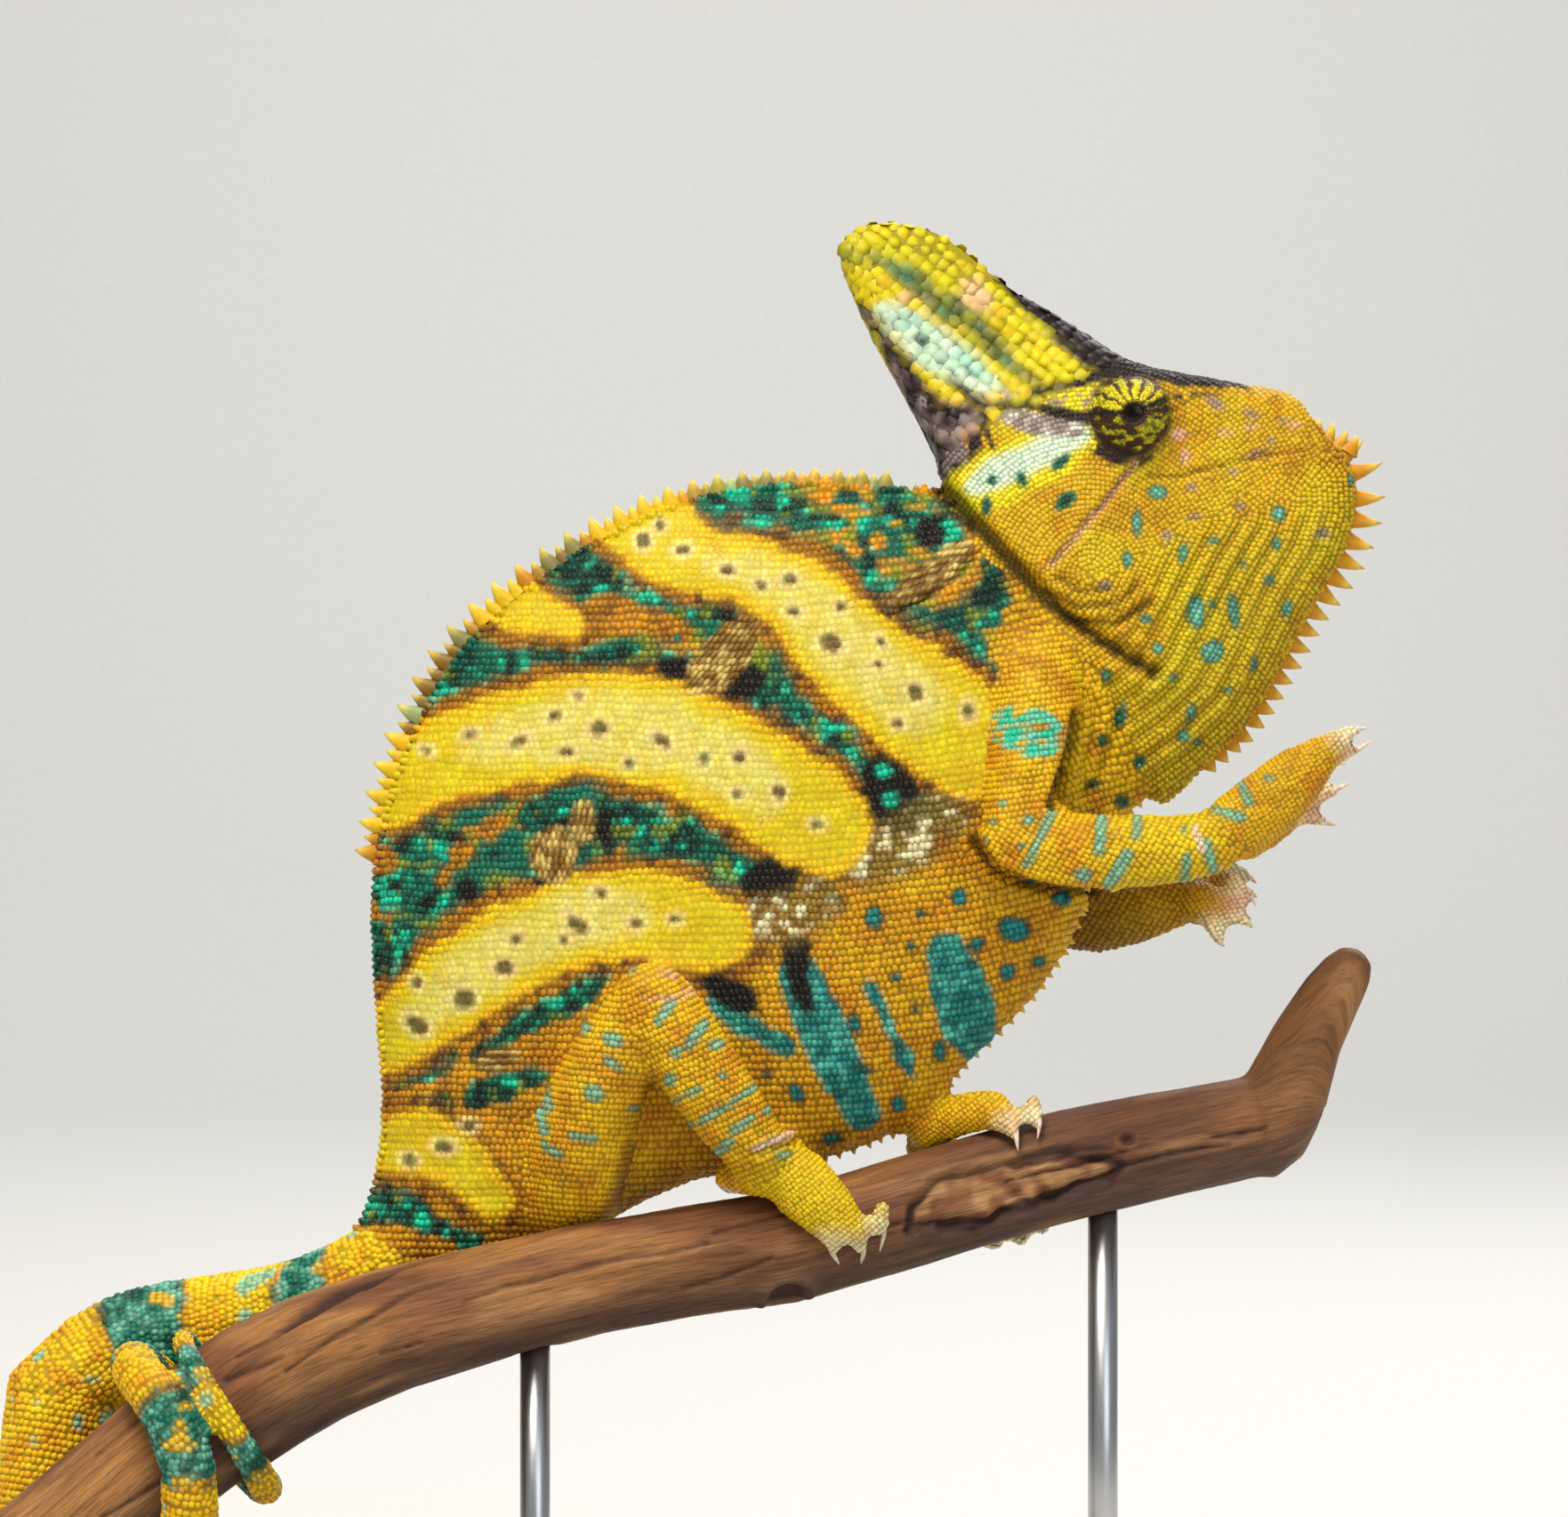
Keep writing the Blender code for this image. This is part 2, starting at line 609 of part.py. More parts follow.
LEGS = {
    "arm_upper_right": [
        (57.5, -8.5, 238.0, 8.6, 6.0), (56.4, -15.0, 229.0, 8.8, 7.0),
        (54.9, -19.5, 217.5, 7.8, 7.2), (52.7, -22.5, 206.5, 7.6, 7.0),
        (51.8, -23.5, 200.0, 7.6, 6.8),
    ],
    "arm_lower_right": [
        (51.4, -24.0, 199.2, 8.2, 7.2), (60.0, -24.6, 197.0, 8.4, 7.2),
        (72.0, -24.8, 196.8, 7.9, 6.6), (84.0, -24.4, 197.4, 7.3, 6.0),
        (92.0, -24.0, 199.4, 7.0, 5.6),
    ],
    "arm_upper_left": [
        (57.5, 8.5, 238.0, 9.0, 6.0), (58.0, 15.0, 228.0, 9.4, 7.0),
        (59.0, 19.5, 214.0, 8.6, 7.2), (60.5, 22.5, 200.0, 8.0, 7.0),
        (62.0, 23.5, 189.5, 7.6, 6.8),
    ],
    "arm_lower_left": [
        (62.8, 24.0, 184.0, 8.0, 7.0), (71.0, 24.2, 182.6, 7.8, 6.8),
        (81.0, 22.8, 184.6, 6.8, 6.0), (89.5, 20.6, 187.2, 5.6, 5.0),
    ],
    "thigh_right": [
        (-38.0, -8.0, 124.0, 9.4, 7.0), (-36.0, -14.5, 133.0, 10.0, 7.8),
        (-33.0, -20.0, 145.0, 9.6, 8.2), (-27.5, -24.0, 157.0, 8.8, 7.8),
        (-22.5, -26.0, 166.0, 7.6, 6.8),
    ],
    "shin_right": [
        (-20.6, -26.8, 168.4, 8.2, 7.2), (-16.0, -27.4, 161.4, 8.7, 7.4),
        (-10.0, -27.0, 152.4, 8.8, 7.2), (-4.0, -25.4, 143.6, 8.0, 6.6),
        (0.8, -23.2, 137.4, 7.0, 6.0),
    ],
    "thigh_left": [
        (-38.0, 8.0, 124.0, 9.4, 7.0), (-32.0, 15.0, 132.0, 9.8, 7.8),
        (-22.0, 21.0, 143.0, 9.4, 8.0), (-11.0, 25.0, 153.0, 8.6, 7.6),
        (-4.0, 26.5, 158.0, 7.6, 6.8),
    ],
    "shin_left": [
        (-2.6, 27.0, 157.6, 8.0, 7.0), (6.0, 26.2, 154.0, 8.4, 7.2),
        (15.0, 22.6, 150.4, 8.0, 6.8), (25.0, 16.0, 146.6, 6.8, 6.0),
        (32.5, 10.0, 144.2, 5.8, 5.2),
    ],
}
LEG_SIDES = 8
END_INSET = 0.7            # a tube's rounded end: last ring's place and size
TOE_SIDES = 5
TOE_RADII = (2.3, 2.2, 1.8)
TOE_START = 0.38           # how far back in the bundle a toe begins
TOE_OFF, CLAW_OFF = 2.1, 0.9    # height over the bark of a toe's centre and a claw's point
CLAW_SIDES = 4
CLAW_RADII = (1.15, 0.75, 0.24)
CLAW_RISE = 1.9            # how far the claw runs on in line with its toe
CLAW_TURN = 26.0           # degrees round the branch from a toe's tip to its claw's point


def held(x, degrees, off, depth, breadth):
    """Row of a foot's tube, placed on the bark."""
    return (*round_perch(x, degrees, off), depth, breadth)


def gripping_toes(places, turn):
    """Toe tips on the bark and the points of their claws, further round."""
    return [(round_perch(x, degrees, TOE_OFF), round_perch(x, degrees + turn, CLAW_OFF))
            for x, degrees in places]


def foot_table():
    """Tube rows, then toe tips with claw points, of the two bundles of each foot."""
    return {
        "hand_outer_right": ([
            (95.2, -24.2, 201.8, 7.0, 4.8), (101.0, -24.6, 206.2, 7.2, 4.8),
            (107.5, -24.2, 212.0, 6.2, 4.2), (112.5, -23.4, 216.4, 4.2, 3.4)],
            [((117.0, -23.8, 219.8), (121.4, -23.6, 221.6)),
             ((117.2, -21.0, 216.8), (122.8, -20.6, 219.2))]),
        "hand_inner_right": ([
            (96.0, -16.6, 200.4, 6.2, 4.0), (101.5, -14.6, 203.0, 6.0, 4.0),
            (106.5, -13.4, 206.6, 5.0, 3.6)],
            [((113.2, -13.0, 212.6), (118.2, -12.8, 214.6)),
             ((113.6, -13.6, 208.6), (119.2, -13.6, 210.6)),
             ((111.0, -13.0, 204.0), (116.6, -13.2, 202.0))]),
        "hand_outer_left": ([
            (91.2, 22.8, 188.6, 5.2, 4.0), (94.0, 23.4, 189.4, 4.6, 3.6),
            (96.4, 23.4, 189.6, 3.6, 3.0)],
            [((99.6, 25.0, 190.6), (103.4, 25.4, 189.6)),
             ((99.8, 21.8, 188.4), (103.2, 21.2, 186.8))]),
        "hand_inner_left": ([
            (90.6, 16.4, 186.0, 5.0, 3.8), (93.0, 14.8, 185.2, 4.4, 3.4),
            (94.8, 13.8, 184.6, 3.4, 2.8)],
            [((98.8, 13.6, 186.8), (102.2, 12.8, 185.2)),
             ((98.6, 12.6, 183.0), (101.4, 11.6, 180.8)),
             ((94.6, 12.6, 180.4), (95.8, 11.8, 177.0))]),
        "foot_outer_right": ([
            (-5.2, -17.6, 131.8, 3.4, 3.2), (4.0, -19.8, 134.2, 6.8, 5.0),
            held(10.2, 40.0, 5.6, 7.4, 4.9), held(13.4, 60.0, 4.5, 6.6, 4.1),
            held(15.6, 76.0, 3.4, 5.6, 3.2)],
            gripping_toes([(14.0, 88.0), (18.0, 94.0), (22.0, 87.0)], CLAW_TURN)),
        "foot_inner_right": ([
            (5.0, -12.8, 136.0, 6.6, 4.6), held(7.0, -22.0, 4.6, 6.4, 4.0),
            held(9.0, -50.0, 3.6, 5.4, 3.4)],
            gripping_toes([(7.6, -76.0), (12.4, -76.0)], -CLAW_TURN)),
        "foot_inner_left": ([
            held(39.0, -24.0, 4.4, 4.8, 3.8), held(45.5, -8.0, 4.2, 5.0, 3.8),
            held(51.8, 6.0, 3.8, 4.6, 3.4)],
            gripping_toes([(53.4, 32.0), (57.6, 25.0)], CLAW_TURN)),
        "foot_outer_left": ([
            held(39.0, -50.0, 5.0, 5.4, 4.4), held(43.0, -82.0, 4.2, 5.8, 3.8),
            held(47.0, -108.0, 3.6, 5.2, 3.4), held(49.5, -128.0, 3.0, 4.6, 2.8)],
            gripping_toes([(46.4, -146.0), (50.6, -150.0), (54.6, -144.0)], -CLAW_TURN)),
    }


FOOT_OF_LEG = {
    "arm_lower_right": "hand_{}_right", "arm_lower_left": "hand_{}_left",
    "shin_right": "foot_{}_right", "shin_left": "foot_{}_left",
}
UPPER_OF_LEG = {
    "arm_lower_right": "arm_upper_right", "arm_lower_left": "arm_upper_left",
    "shin_right": "thigh_right", "shin_left": "thigh_left",
}


def bundle_mesh(rows, toes):
    """Bundle of fused toes that come free at their tips."""
    bm = tube(rows, LEG_SIDES, per_span=1)
    root = Vector(rows[-1][:3])
    base = Vector(rows[-2][:3])
    for tip, _ in toes:
        tip = Vector(tip)
        start = root + (base - root) * TOE_START + (tip - root) * 0.3
        spots = (start, start.lerp(tip, 0.55), tip)
        rows_of_toe = [(*spot, radius, radius) for spot, radius in zip(spots, TOE_RADII)]
        toe = tube(rows_of_toe, TOE_SIDES, per_span=1, round_start=False)
        bm = boolean(bm, toe, "UNION")
    return bm


def claw_mesh(rows, tip, point):
    """Curved claw whose root sits in the toe's tip."""
    tip, point = Vector(tip), Vector(point)
    toe = (tip - Vector(rows[-1][:3])).normalized()
    start = tip + toe * 0.5
    middle = start + toe * CLAW_RISE + (point - start) * 0.12
    spots = (start, middle, point)
    return tube([(*spot, radius, radius) for spot, radius in zip(spots, CLAW_RADII)],
                CLAW_SIDES, per_span=1, round_start=False, round_end=False)


# ---- tail ----

def tail_samples():
    """Centre points of the tail: along the branch's far side, then coiling round it."""
    points = [Vector(p) for p in TAIL_POINTS]
    turns = [row[0] for row in TAIL_COIL]
    centres = []
    for k in range((len(points) - 1) * 2):
        centres.append(Vector(spline([tuple(p) for p in points], k / 2.0)))
    centres.append(points[-1])
    travelled = sum((b - a).length for a, b in zip(centres, centres[1:]))
    degrees = turns[0]
    while degrees >= turns[-1]:
        u = float(np.interp(-degrees, [-t for t in turns], range(len(turns))))
        x = spline([row[1:] for row in TAIL_COIL], u)[0]
        radius = smooth_by_key(TAIL_RADII, travelled)
        centre = round_perch(x, degrees, radius - TAIL_SUNK)
        travelled += (centre - centres[-1]).length
        centres.append(centre)
        degrees -= TAIL_STEP
    return centres


def tail_nodes():
    """The tail's lengths, each a closed tube that ends a thin cut before the next."""
    centres = tail_samples()
    along = [0.0]
    for a, b in zip(centres, centres[1:]):
        along.append(along[-1] + (b - a).length)
    frames = path_frames(centres, NEAR)
    flats = [TAIL_ROOT_FLAT + (1.0 - TAIL_ROOT_FLAT) * min(s / TAIL_ROUND_AT, 1.0)
             for s in along]
    rings = []
    for centre, frame, s, flat in zip(centres, frames, along, flats):
        radius = smooth_by_key(TAIL_RADII, s)
        rings.append([centre + frame[1] * (radius * math.cos(2.0 * math.pi * j / TAIL_SIDES))
                      + frame[2] * (radius * flat * math.sin(2.0 * math.pi * j / TAIL_SIDES))
                      for j in range(TAIL_SIDES)])
    last = len(rings) - 1
    joints = [round(last * k / TAIL_NODES) for k in range(TAIL_NODES + 1)]
    lengths = []
    for first, final in zip(joints, joints[1:]):
        chosen = [list(ring) for ring in rings[first:final + 1]]
        tip = None
        if first > 0:
            chosen[0] = [p + frames[first][0] * (GAP / 2.0) for p in chosen[0]]
        if final < last:
            chosen[-1] = [p - frames[final][0] * (GAP / 2.0) for p in chosen[-1]]
        else:
            tip = centres[-1] + frames[-1][0] * (2.0 * smooth_by_key(TAIL_RADII, along[-1]))
        lengths.append(loft(chosen, end=tip))
    return lengths


# ---- stand ----

def stand_base():
    bm = bmesh.new()
    bmesh.ops.create_cube(bm, size=1.0)
    bmesh.ops.scale(bm, vec=(BASE_LENGTH, BASE_WIDTH, BASE_THICK), verts=bm.verts)
    bmesh.ops.translate(bm, vec=(0.0, 0.0, BASE_THICK / 2.0), verts=bm.verts)
    upright = [e for e in bm.edges if abs(e.verts[0].co.z - e.verts[1].co.z) > 1.0]
    bmesh.ops.bevel(bm, geom=upright, offset=BASE_CORNER, segments=4, profile=0.5, affect="EDGES")
    rim = [e for e in bm.edges if min(v.co.z for v in e.verts) > BASE_THICK - 0.01]
    bmesh.ops.bevel(bm, geom=rim, offset=BASE_BEVEL, segments=1, profile=0.5, affect="EDGES")
    return bm


def stand_rod(x):
    """Straight rod from its socket in the base to its socket in the branch."""
    centre, _, _, radius = perch_at(x)
    foot = BASE_THICK - ROD_SOCKET
    head = centre.z - radius + ROD_SOCKET
    rings = [[Vector((x + ROD_RADIUS * math.cos(2.0 * math.pi * j / ROUND_SIDES),
                      centre.y + ROD_RADIUS * math.sin(2.0 * math.pi * j / ROUND_SIDES), z))
              for j in range(ROUND_SIDES)] for z in (foot, head)]
    return loft(rings)


# ---- assembly ----

def build():
    perch = perch_mesh()
    trunk = loft([trunk_section((len(TRUNK_STATIONS) - 1) * k / TRUNK_STEPS)
                  for k in range(TRUNK_STEPS + 1)])
    head = loft([head_section((len(HEAD_STATIONS) - 1) * k / HEAD_STEPS)
                 for k in range(HEAD_STEPS + 1)])
    legs = {name: tube(rows, LEG_SIDES) for name, rows in LEGS.items()}
    feet = foot_table()

    # trunk and neck, with the crest along the back
    spines = crest(TRUNK_STATIONS, (0, 1), CREST_FIRST, CREST_LAST, CREST_PITCH,
                   back_height, CREST_BASE)
    body = boolean(trunk.copy(), spines, "UNION")
    body = carve(body, [head, perch])
    place = spline(TRUNK_STATIONS, NECK_CUT)
    point, normal = line_plane(((place[0], place[1]), (place[2], place[3])))
    front, rear = part_by_plane(body, point, normal)
    finish("neck", front, "skin_gold")
    finish("trunk", rear, "skin_lemon")

    # head, casque and throat, with the beard of spines under the chin
    beard = crest(HEAD_STATIONS, (2, 3), BEARD_FIRST, BEARD_LAST, BEARD_PITCH,
                  beard_height, BEARD_BASE)
    skull = boolean(head.copy(), beard, "UNION")
    axes = {"right": NEAR, "left": -NEAR}
    for axis in axes.values():
        centre = Vector((EYE_X, 0.0, EYE_Z)) + axis * TURRET_Y
        skull = carve(skull, [ball(centre, TURRET_RADIUS, ROUND_SIDES, axis)])
    above, rest = part_by_plane(skull, *line_plane(CASQUE_CUT))
    middle, below = part_by_plane(rest, *line_plane(THROAT_CUT))
    finish("casque", above, "skin_lemon")
    finish("head", middle, "skin_gold")
    finish("throat", below, "skin_gold")
    for side, axis in axes.items():
        finish(f"eye_turret_{side}", turret(axis), "skin_gold")
        centre = Vector((EYE_X, 0.0, EYE_Z)) + axis * EYEBALL_Y
        finish(f"eyeball_{side}", ball(centre, EYEBALL_RADIUS, ROUND_SIDES, axis), "eye")

    # legs, feet and claws
    for lower, upper in UPPER_OF_LEG.items():
        finish(upper, carve(legs[upper].copy(), [legs[lower], trunk, head, perch]), "skin_gold")
        finish(lower, carve(legs[lower].copy(), [trunk, perch]), "skin_gold")
        taken = []
        for side in ("outer", "inner"):
            name = FOOT_OF_LEG[lower].format(side)
            rows, toes = feet[name]
            bundle = bundle_mesh(rows, toes)
            neighbours = [legs[lower], trunk, perch] + taken
            finish(name, carve(bundle.copy(), neighbours), "skin_pale")
            for k, (tip, sharp) in enumerate(toes):
                claw = claw_mesh(rows, tip, sharp)
                finish(f"claw_{name}_{k + 1}", carve(claw, [bundle, perch]), "claw")
            taken = [bundle]

    for k, length in enumerate(tail_nodes()):
        slot = "skin_gold" if k % 2 else "skin_teal"
        finish(f"tail_{k + 1}", carve(length, [trunk, perch]), slot)

    # branch and stand
    rods = {"stand_rod_rear": stand_rod(ROD_REAR_X), "stand_rod_front": stand_rod(ROD_FRONT_X)}
    finish("perch", carve(perch, list(rods.values())), "wood")
    finish("stand_base", carve(stand_base(), list(rods.values())), "stand_paint")
    for name, rod in rods.items():
        finish(name, rod, "stand_steel")


for old in list(bpy.data.objects):
    bpy.data.objects.remove(old)
build()
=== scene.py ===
# %% [markdown]
# # Veiled chameleon on a cut branch
# A still, life-size display model. The solids give the outline and every proportion;
# this lesson adds the skin, the scales, the eyes, the horn, the wood and the stand.
# Shapes are worked out in millimetres and stored in metres.

# %% Load the fixed frame
import math

import bmesh
import bpy
import numpy as np
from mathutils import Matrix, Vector
from mathutils.bvhtree import BVHTree
from mathutils.kdtree import KDTree


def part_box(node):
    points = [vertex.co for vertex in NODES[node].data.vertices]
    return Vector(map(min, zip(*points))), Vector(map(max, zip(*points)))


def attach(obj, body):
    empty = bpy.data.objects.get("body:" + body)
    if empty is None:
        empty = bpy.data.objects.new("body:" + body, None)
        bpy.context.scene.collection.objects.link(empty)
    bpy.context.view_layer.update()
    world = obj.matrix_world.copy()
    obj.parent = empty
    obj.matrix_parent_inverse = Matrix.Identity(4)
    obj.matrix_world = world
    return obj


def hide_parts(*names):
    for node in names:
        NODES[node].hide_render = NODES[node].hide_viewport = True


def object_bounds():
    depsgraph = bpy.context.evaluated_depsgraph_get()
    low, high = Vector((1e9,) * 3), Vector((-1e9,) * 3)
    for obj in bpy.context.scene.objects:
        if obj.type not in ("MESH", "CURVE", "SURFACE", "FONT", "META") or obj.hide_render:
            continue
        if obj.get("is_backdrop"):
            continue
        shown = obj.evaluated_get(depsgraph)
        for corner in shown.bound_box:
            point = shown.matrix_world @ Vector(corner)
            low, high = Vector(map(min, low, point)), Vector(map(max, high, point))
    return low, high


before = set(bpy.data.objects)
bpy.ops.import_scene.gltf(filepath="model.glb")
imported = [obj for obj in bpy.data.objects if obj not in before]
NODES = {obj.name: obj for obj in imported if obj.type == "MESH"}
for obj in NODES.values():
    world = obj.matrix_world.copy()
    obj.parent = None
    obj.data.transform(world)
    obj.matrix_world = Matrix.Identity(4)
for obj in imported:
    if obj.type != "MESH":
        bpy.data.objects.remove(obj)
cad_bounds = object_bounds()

MM = 0.001
print("nodes", len(NODES))

# %% [markdown]
# ## Which solids are flesh
# On the animal one skin runs over everything except the eyeballs and the claws. So the
# nodes are sorted by name: flesh is covered by one new skin, and the rest stays separate.

# %% Sort the nodes
CLAWS = sorted(n for n in NODES if n.startswith("claw_"))
FEET = sorted(n for n in NODES if n.startswith(("hand_", "foot_")))
LIMBS = sorted(n for n in NODES if n.startswith(("arm_", "thigh_", "shin_")))
TAIL = sorted(n for n in NODES if n.startswith("tail_"))
TURRETS = ["eye_turret_right", "eye_turret_left"]
BODY = ["trunk", "neck", "head", "casque", "throat"]
FLESH = BODY + TURRETS + LIMBS + FEET + TAIL
print("flesh", len(FLESH), "claws", len(CLAWS))

# %% [markdown]
# ## Mesh helpers
# Blender's mesh data can be read and written in whole arrays, which is much faster than
# going vertex by vertex. These helpers move between objects and NumPy arrays.


# %% Read a node as arrays
def cad_shape(name):
    """Points in mm and triangles of a node, with its doubled corners merged."""
    bm = bmesh.new()
    bm.from_mesh(NODES[name].data)
    bmesh.ops.remove_doubles(bm, verts=bm.verts, dist=1e-6)
    bmesh.ops.triangulate(bm, faces=bm.faces)
    points = np.array([v.co for v in bm.verts]) / MM
    faces = np.array([[v.index for v in f.verts] for f in bm.faces])
    bm.free()
    return points, faces


def unit(rows):
    """Rows of numbers scaled to length 1."""
    return rows / np.maximum(np.linalg.norm(rows, axis=-1, keepdims=True), 1e-9)


def point_normals(points, faces):
    """Unit normal at each point, the area-weighted mean of its triangles or squares."""
    corners = [points[faces[:, k]] for k in range(faces.shape[1])]
    if len(corners) == 3:
        across = np.cross(corners[1] - corners[0], corners[2] - corners[0])
    else:
        across = np.cross(corners[2] - corners[0], corners[3] - corners[1])
    normals = np.zeros_like(points)
    for k in range(len(corners)):
        np.add.at(normals, faces[:, k], across)
    return unit(normals)


def tree_of(points):
    """A search tree over some points."""
    tree = KDTree(len(points))
    for k, point in enumerate(points):
        tree.insert(point, k)
    tree.balance()
    return tree


def gone_along(points):
    """Distance along a line of points from its first point to each."""
    steps = np.linalg.norm(np.diff(points, axis=0), axis=1)
    return np.concatenate([[0], np.cumsum(steps)])


# %% Write arrays as a mesh
def add_object(name, data):
    """A new object in the scene round a mesh, a lamp or a camera."""
    made = bpy.data.objects.new(name, data)
    bpy.context.scene.collection.objects.link(made)
    return made


def put_mesh(mesh, points, faces):
    """Fills an empty mesh with points in mm and faces that all have as many corners."""
    faces = np.asarray(faces, np.int32)
    mesh.vertices.add(len(points))
    mesh.vertices.foreach_set("co", (np.asarray(points) * MM).astype(np.float32).ravel())
    mesh.loops.add(faces.size)
    mesh.loops.foreach_set("vertex_index", faces.ravel())
    mesh.polygons.add(len(faces))
    mesh.polygons.foreach_set("loop_start",
                              np.arange(0, faces.size, faces.shape[1], dtype=np.int32))
    mesh.update(calc_edges=True)
    mesh.polygons.foreach_set("use_smooth", np.ones(len(faces), bool))
    mesh.update()


def new_object(name, points, faces):
    """A new object in the scene, made from arrays."""
    mesh = bpy.data.meshes.new(name)
    put_mesh(mesh, points, faces)
    return add_object(name, mesh)


def add_piece(piece, surface):
    """Lets a finished object ride on the model with its material."""
    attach(piece, "root")
    piece.data.materials.append(surface)


def evaluated(piece):
    """Points in mm and faces of an object after its modifiers, then removes it."""
    graph = bpy.context.evaluated_depsgraph_get()
    mesh = piece.evaluated_get(graph).to_mesh()
    points = np.empty(len(mesh.vertices) * 3, np.float32)
    mesh.vertices.foreach_get("co", points)
    corners = np.empty(len(mesh.loops), np.int32)
    mesh.loops.foreach_get("vertex_index", corners)
    sides = len(mesh.loops) // len(mesh.polygons)
    bpy.data.objects.remove(piece)
    return points.reshape(-1, 3).astype(float) / MM, corners.reshape(-1, sides)


# %% Weld, list edges and even out
def voxel_shell(points, faces, size):
    """One closed surface round overlapping shapes, made of squares about size mm wide."""
    rough = new_object("rough", points, faces)
    remesh = rough.modifiers.new("remesh", "REMESH")
    remesh.mode = "VOXEL"
    remesh.voxel_size = size * MM
    return evaluated(rough)


def edges_of(faces):
    """Each edge of some faces once, as pairs of points."""
    sides = faces.shape[1]
    pairs = np.concatenate([faces[:, [k, (k + 1) % sides]] for k in range(sides)])
    return np.unique(np.sort(pairs, axis=1), axis=0)


def relax(values, edges, rounds, share):
    """Evens out values over a mesh: each goes a share of the way to its neighbours' mean."""
    flat = values.reshape(len(values), -1).astype(float)
    share = np.broadcast_to(share, len(flat))[:, None]
    count = np.bincount(edges.ravel(), minlength=len(flat))[:, None]
    for _ in range(rounds):
        total = np.stack([np.bincount(edges[:, 0], column[edges[:, 1]], len(flat))
                          + np.bincount(edges[:, 1], column[edges[:, 0]], len(flat))
                          for column in flat.T], axis=1)
        flat = flat + share * (total / count - flat)
    return flat.reshape(values.shape)


# %% [markdown]
# ## Numbers that vary in space
# Markings and folds are functions of the place on the animal: strokes and spots drawn in
# side view (X along the body, Z up), with edges that wander by a smooth noise.


# %% Strokes, spots and noise
def hexed(code):
    """Linear colour of a #rrggbb code."""
    parts = [int(code[k:k + 2], 16) / 255 for k in (1, 3, 5)]
    return np.array([c / 12.92 if c <= 0.04045 else ((c + 0.055) / 1.055) ** 2.4
                     for c in parts])


def noise(points, size, seed):
    """Smooth noise from -1 to 1 with lumps about size mm across."""
    cell = points / size + 31.7 * seed
    base = np.floor(cell).astype(np.int64)
    part = cell - base
    part = part * part * (3 - 2 * part)
    total = np.zeros(len(points))
    for corner in np.ndindex(2, 2, 2):
        at = base + corner
        mixed = (at[:, 0] * 73856093) ^ (at[:, 1] * 19349663) ^ (at[:, 2] * 83492791)
        mixed = ((mixed & 0xFFFFFFF) * 1103515245 + 12345 * seed) & 0xFFFFFFFF
        mixed = ((mixed ^ (mixed >> 15)) * 69069) & 0xFFFFFFFF
        weight = np.prod(np.where(corner, part, 1 - part), axis=1)
        total += weight * (((mixed >> 8) & 0xFFFF) / 32767.5 - 1)
    return total


def stroke(xz, path):
    """Distance in mm outside a stroke given as rows of x, z and half width."""
    best = np.full(len(xz), 1e3)
    for (x0, z0, w0), (x1, z1, w1) in zip(path[:-1], path[1:]):
        start, run = np.array([x0, z0]), np.array([x1 - x0, z1 - z0])
        t = np.clip((xz - start) @ run / (run @ run), 0, 1)
        away = np.linalg.norm(xz - start - t[:, None] * run, axis=1)
        best = np.minimum(best, away - w0 - (w1 - w0) * t)
    return best


def from_line(xz, line):
    """Distance in mm from a thin line given as rows of x and z."""
    return stroke(xz, [(x, z, 0) for x, z in line])


def strokes(xz, paths):
    """Distance outside the nearest of some strokes."""
    return np.min([stroke(xz, path) for path in paths], axis=0)


def spots(xz, rows):
    """Distance outside ellipses: rows of x, z, half length, half width, tilt in degrees."""
    best = np.full(len(xz), 1e3)
    for x, z, long, wide, tilt in rows:
        c, s = math.cos(math.radians(tilt)), math.sin(math.radians(tilt))
        away = xz - (x, z)
        u, v = away @ (c, s) / long, away @ (-s, c) / wide
        best = np.minimum(best, (np.hypot(u, v) - 1) * min(long, wide))
    return best


# %% Soft edges and layers of colour
def inside(distance, edge=0.4):
    """1 inside, 0 outside, with a soft edge that many mm to each side."""
    return np.clip(0.5 - distance / (2 * edge), 0, 1)


def ramp(value, low, high):
    """0 below low, 1 above high and smooth between."""
    t = np.clip((value - low) / (high - low), 0, 1)
    return t * t * (3 - 2 * t)


def lay(colour, share, new):
    """Lays a new colour over a share of each point's old one."""
    return colour + (new - colour) * np.asarray(share)[:, None]


def mix(low, high, share):
    """Colour for each share between two colours."""
    return low + (high - low) * np.asarray(share)[:, None]


# %% [markdown]
# ## Lines that the solids follow
# The tail runs back along the far side of the branch and then coils round it. Its scales
# go round it in rings, so its centre line is drawn here again from a few chosen places.

# %% Branch and tail lines
BRANCH = [  # x, y, z and radius
    (-172, -28, 34, 12.4), (-153, -27, 48, 12.6), (-135, -26, 62, 12.8),
    (-117, -25, 77, 13.2), (-99, -23, 90.5, 14.2), (-80, -21, 99.5, 13.6),
    (-52, -18.5, 107, 12.2), (-23, -14.5, 113.4, 11.6), (6, -10.5, 117.6, 11.4),
    (34, -7, 125.2, 11.3), (63, -4.5, 133.3, 11.4), (85, -3, 138, 11.2),
    (101, -2, 141.5, 10.8)]
TAIL_START = [(-65, 0, 114.6), (-82, 0.6, 104.8), (-97, 3.4, 100.2), (-112, 6, 97.8),
              (-127, 6.4, 95), (-140.5, 3.4, 87)]
TAIL_TURNS = [  # degrees round the branch and x
    (-95, -146), (-180, -130), (-270, -113.2), (-360, -111.8), (-450, -110),
    (-540, -107.8), (-630, -105.6), (-720, -104.2), (-800, -103.2)]
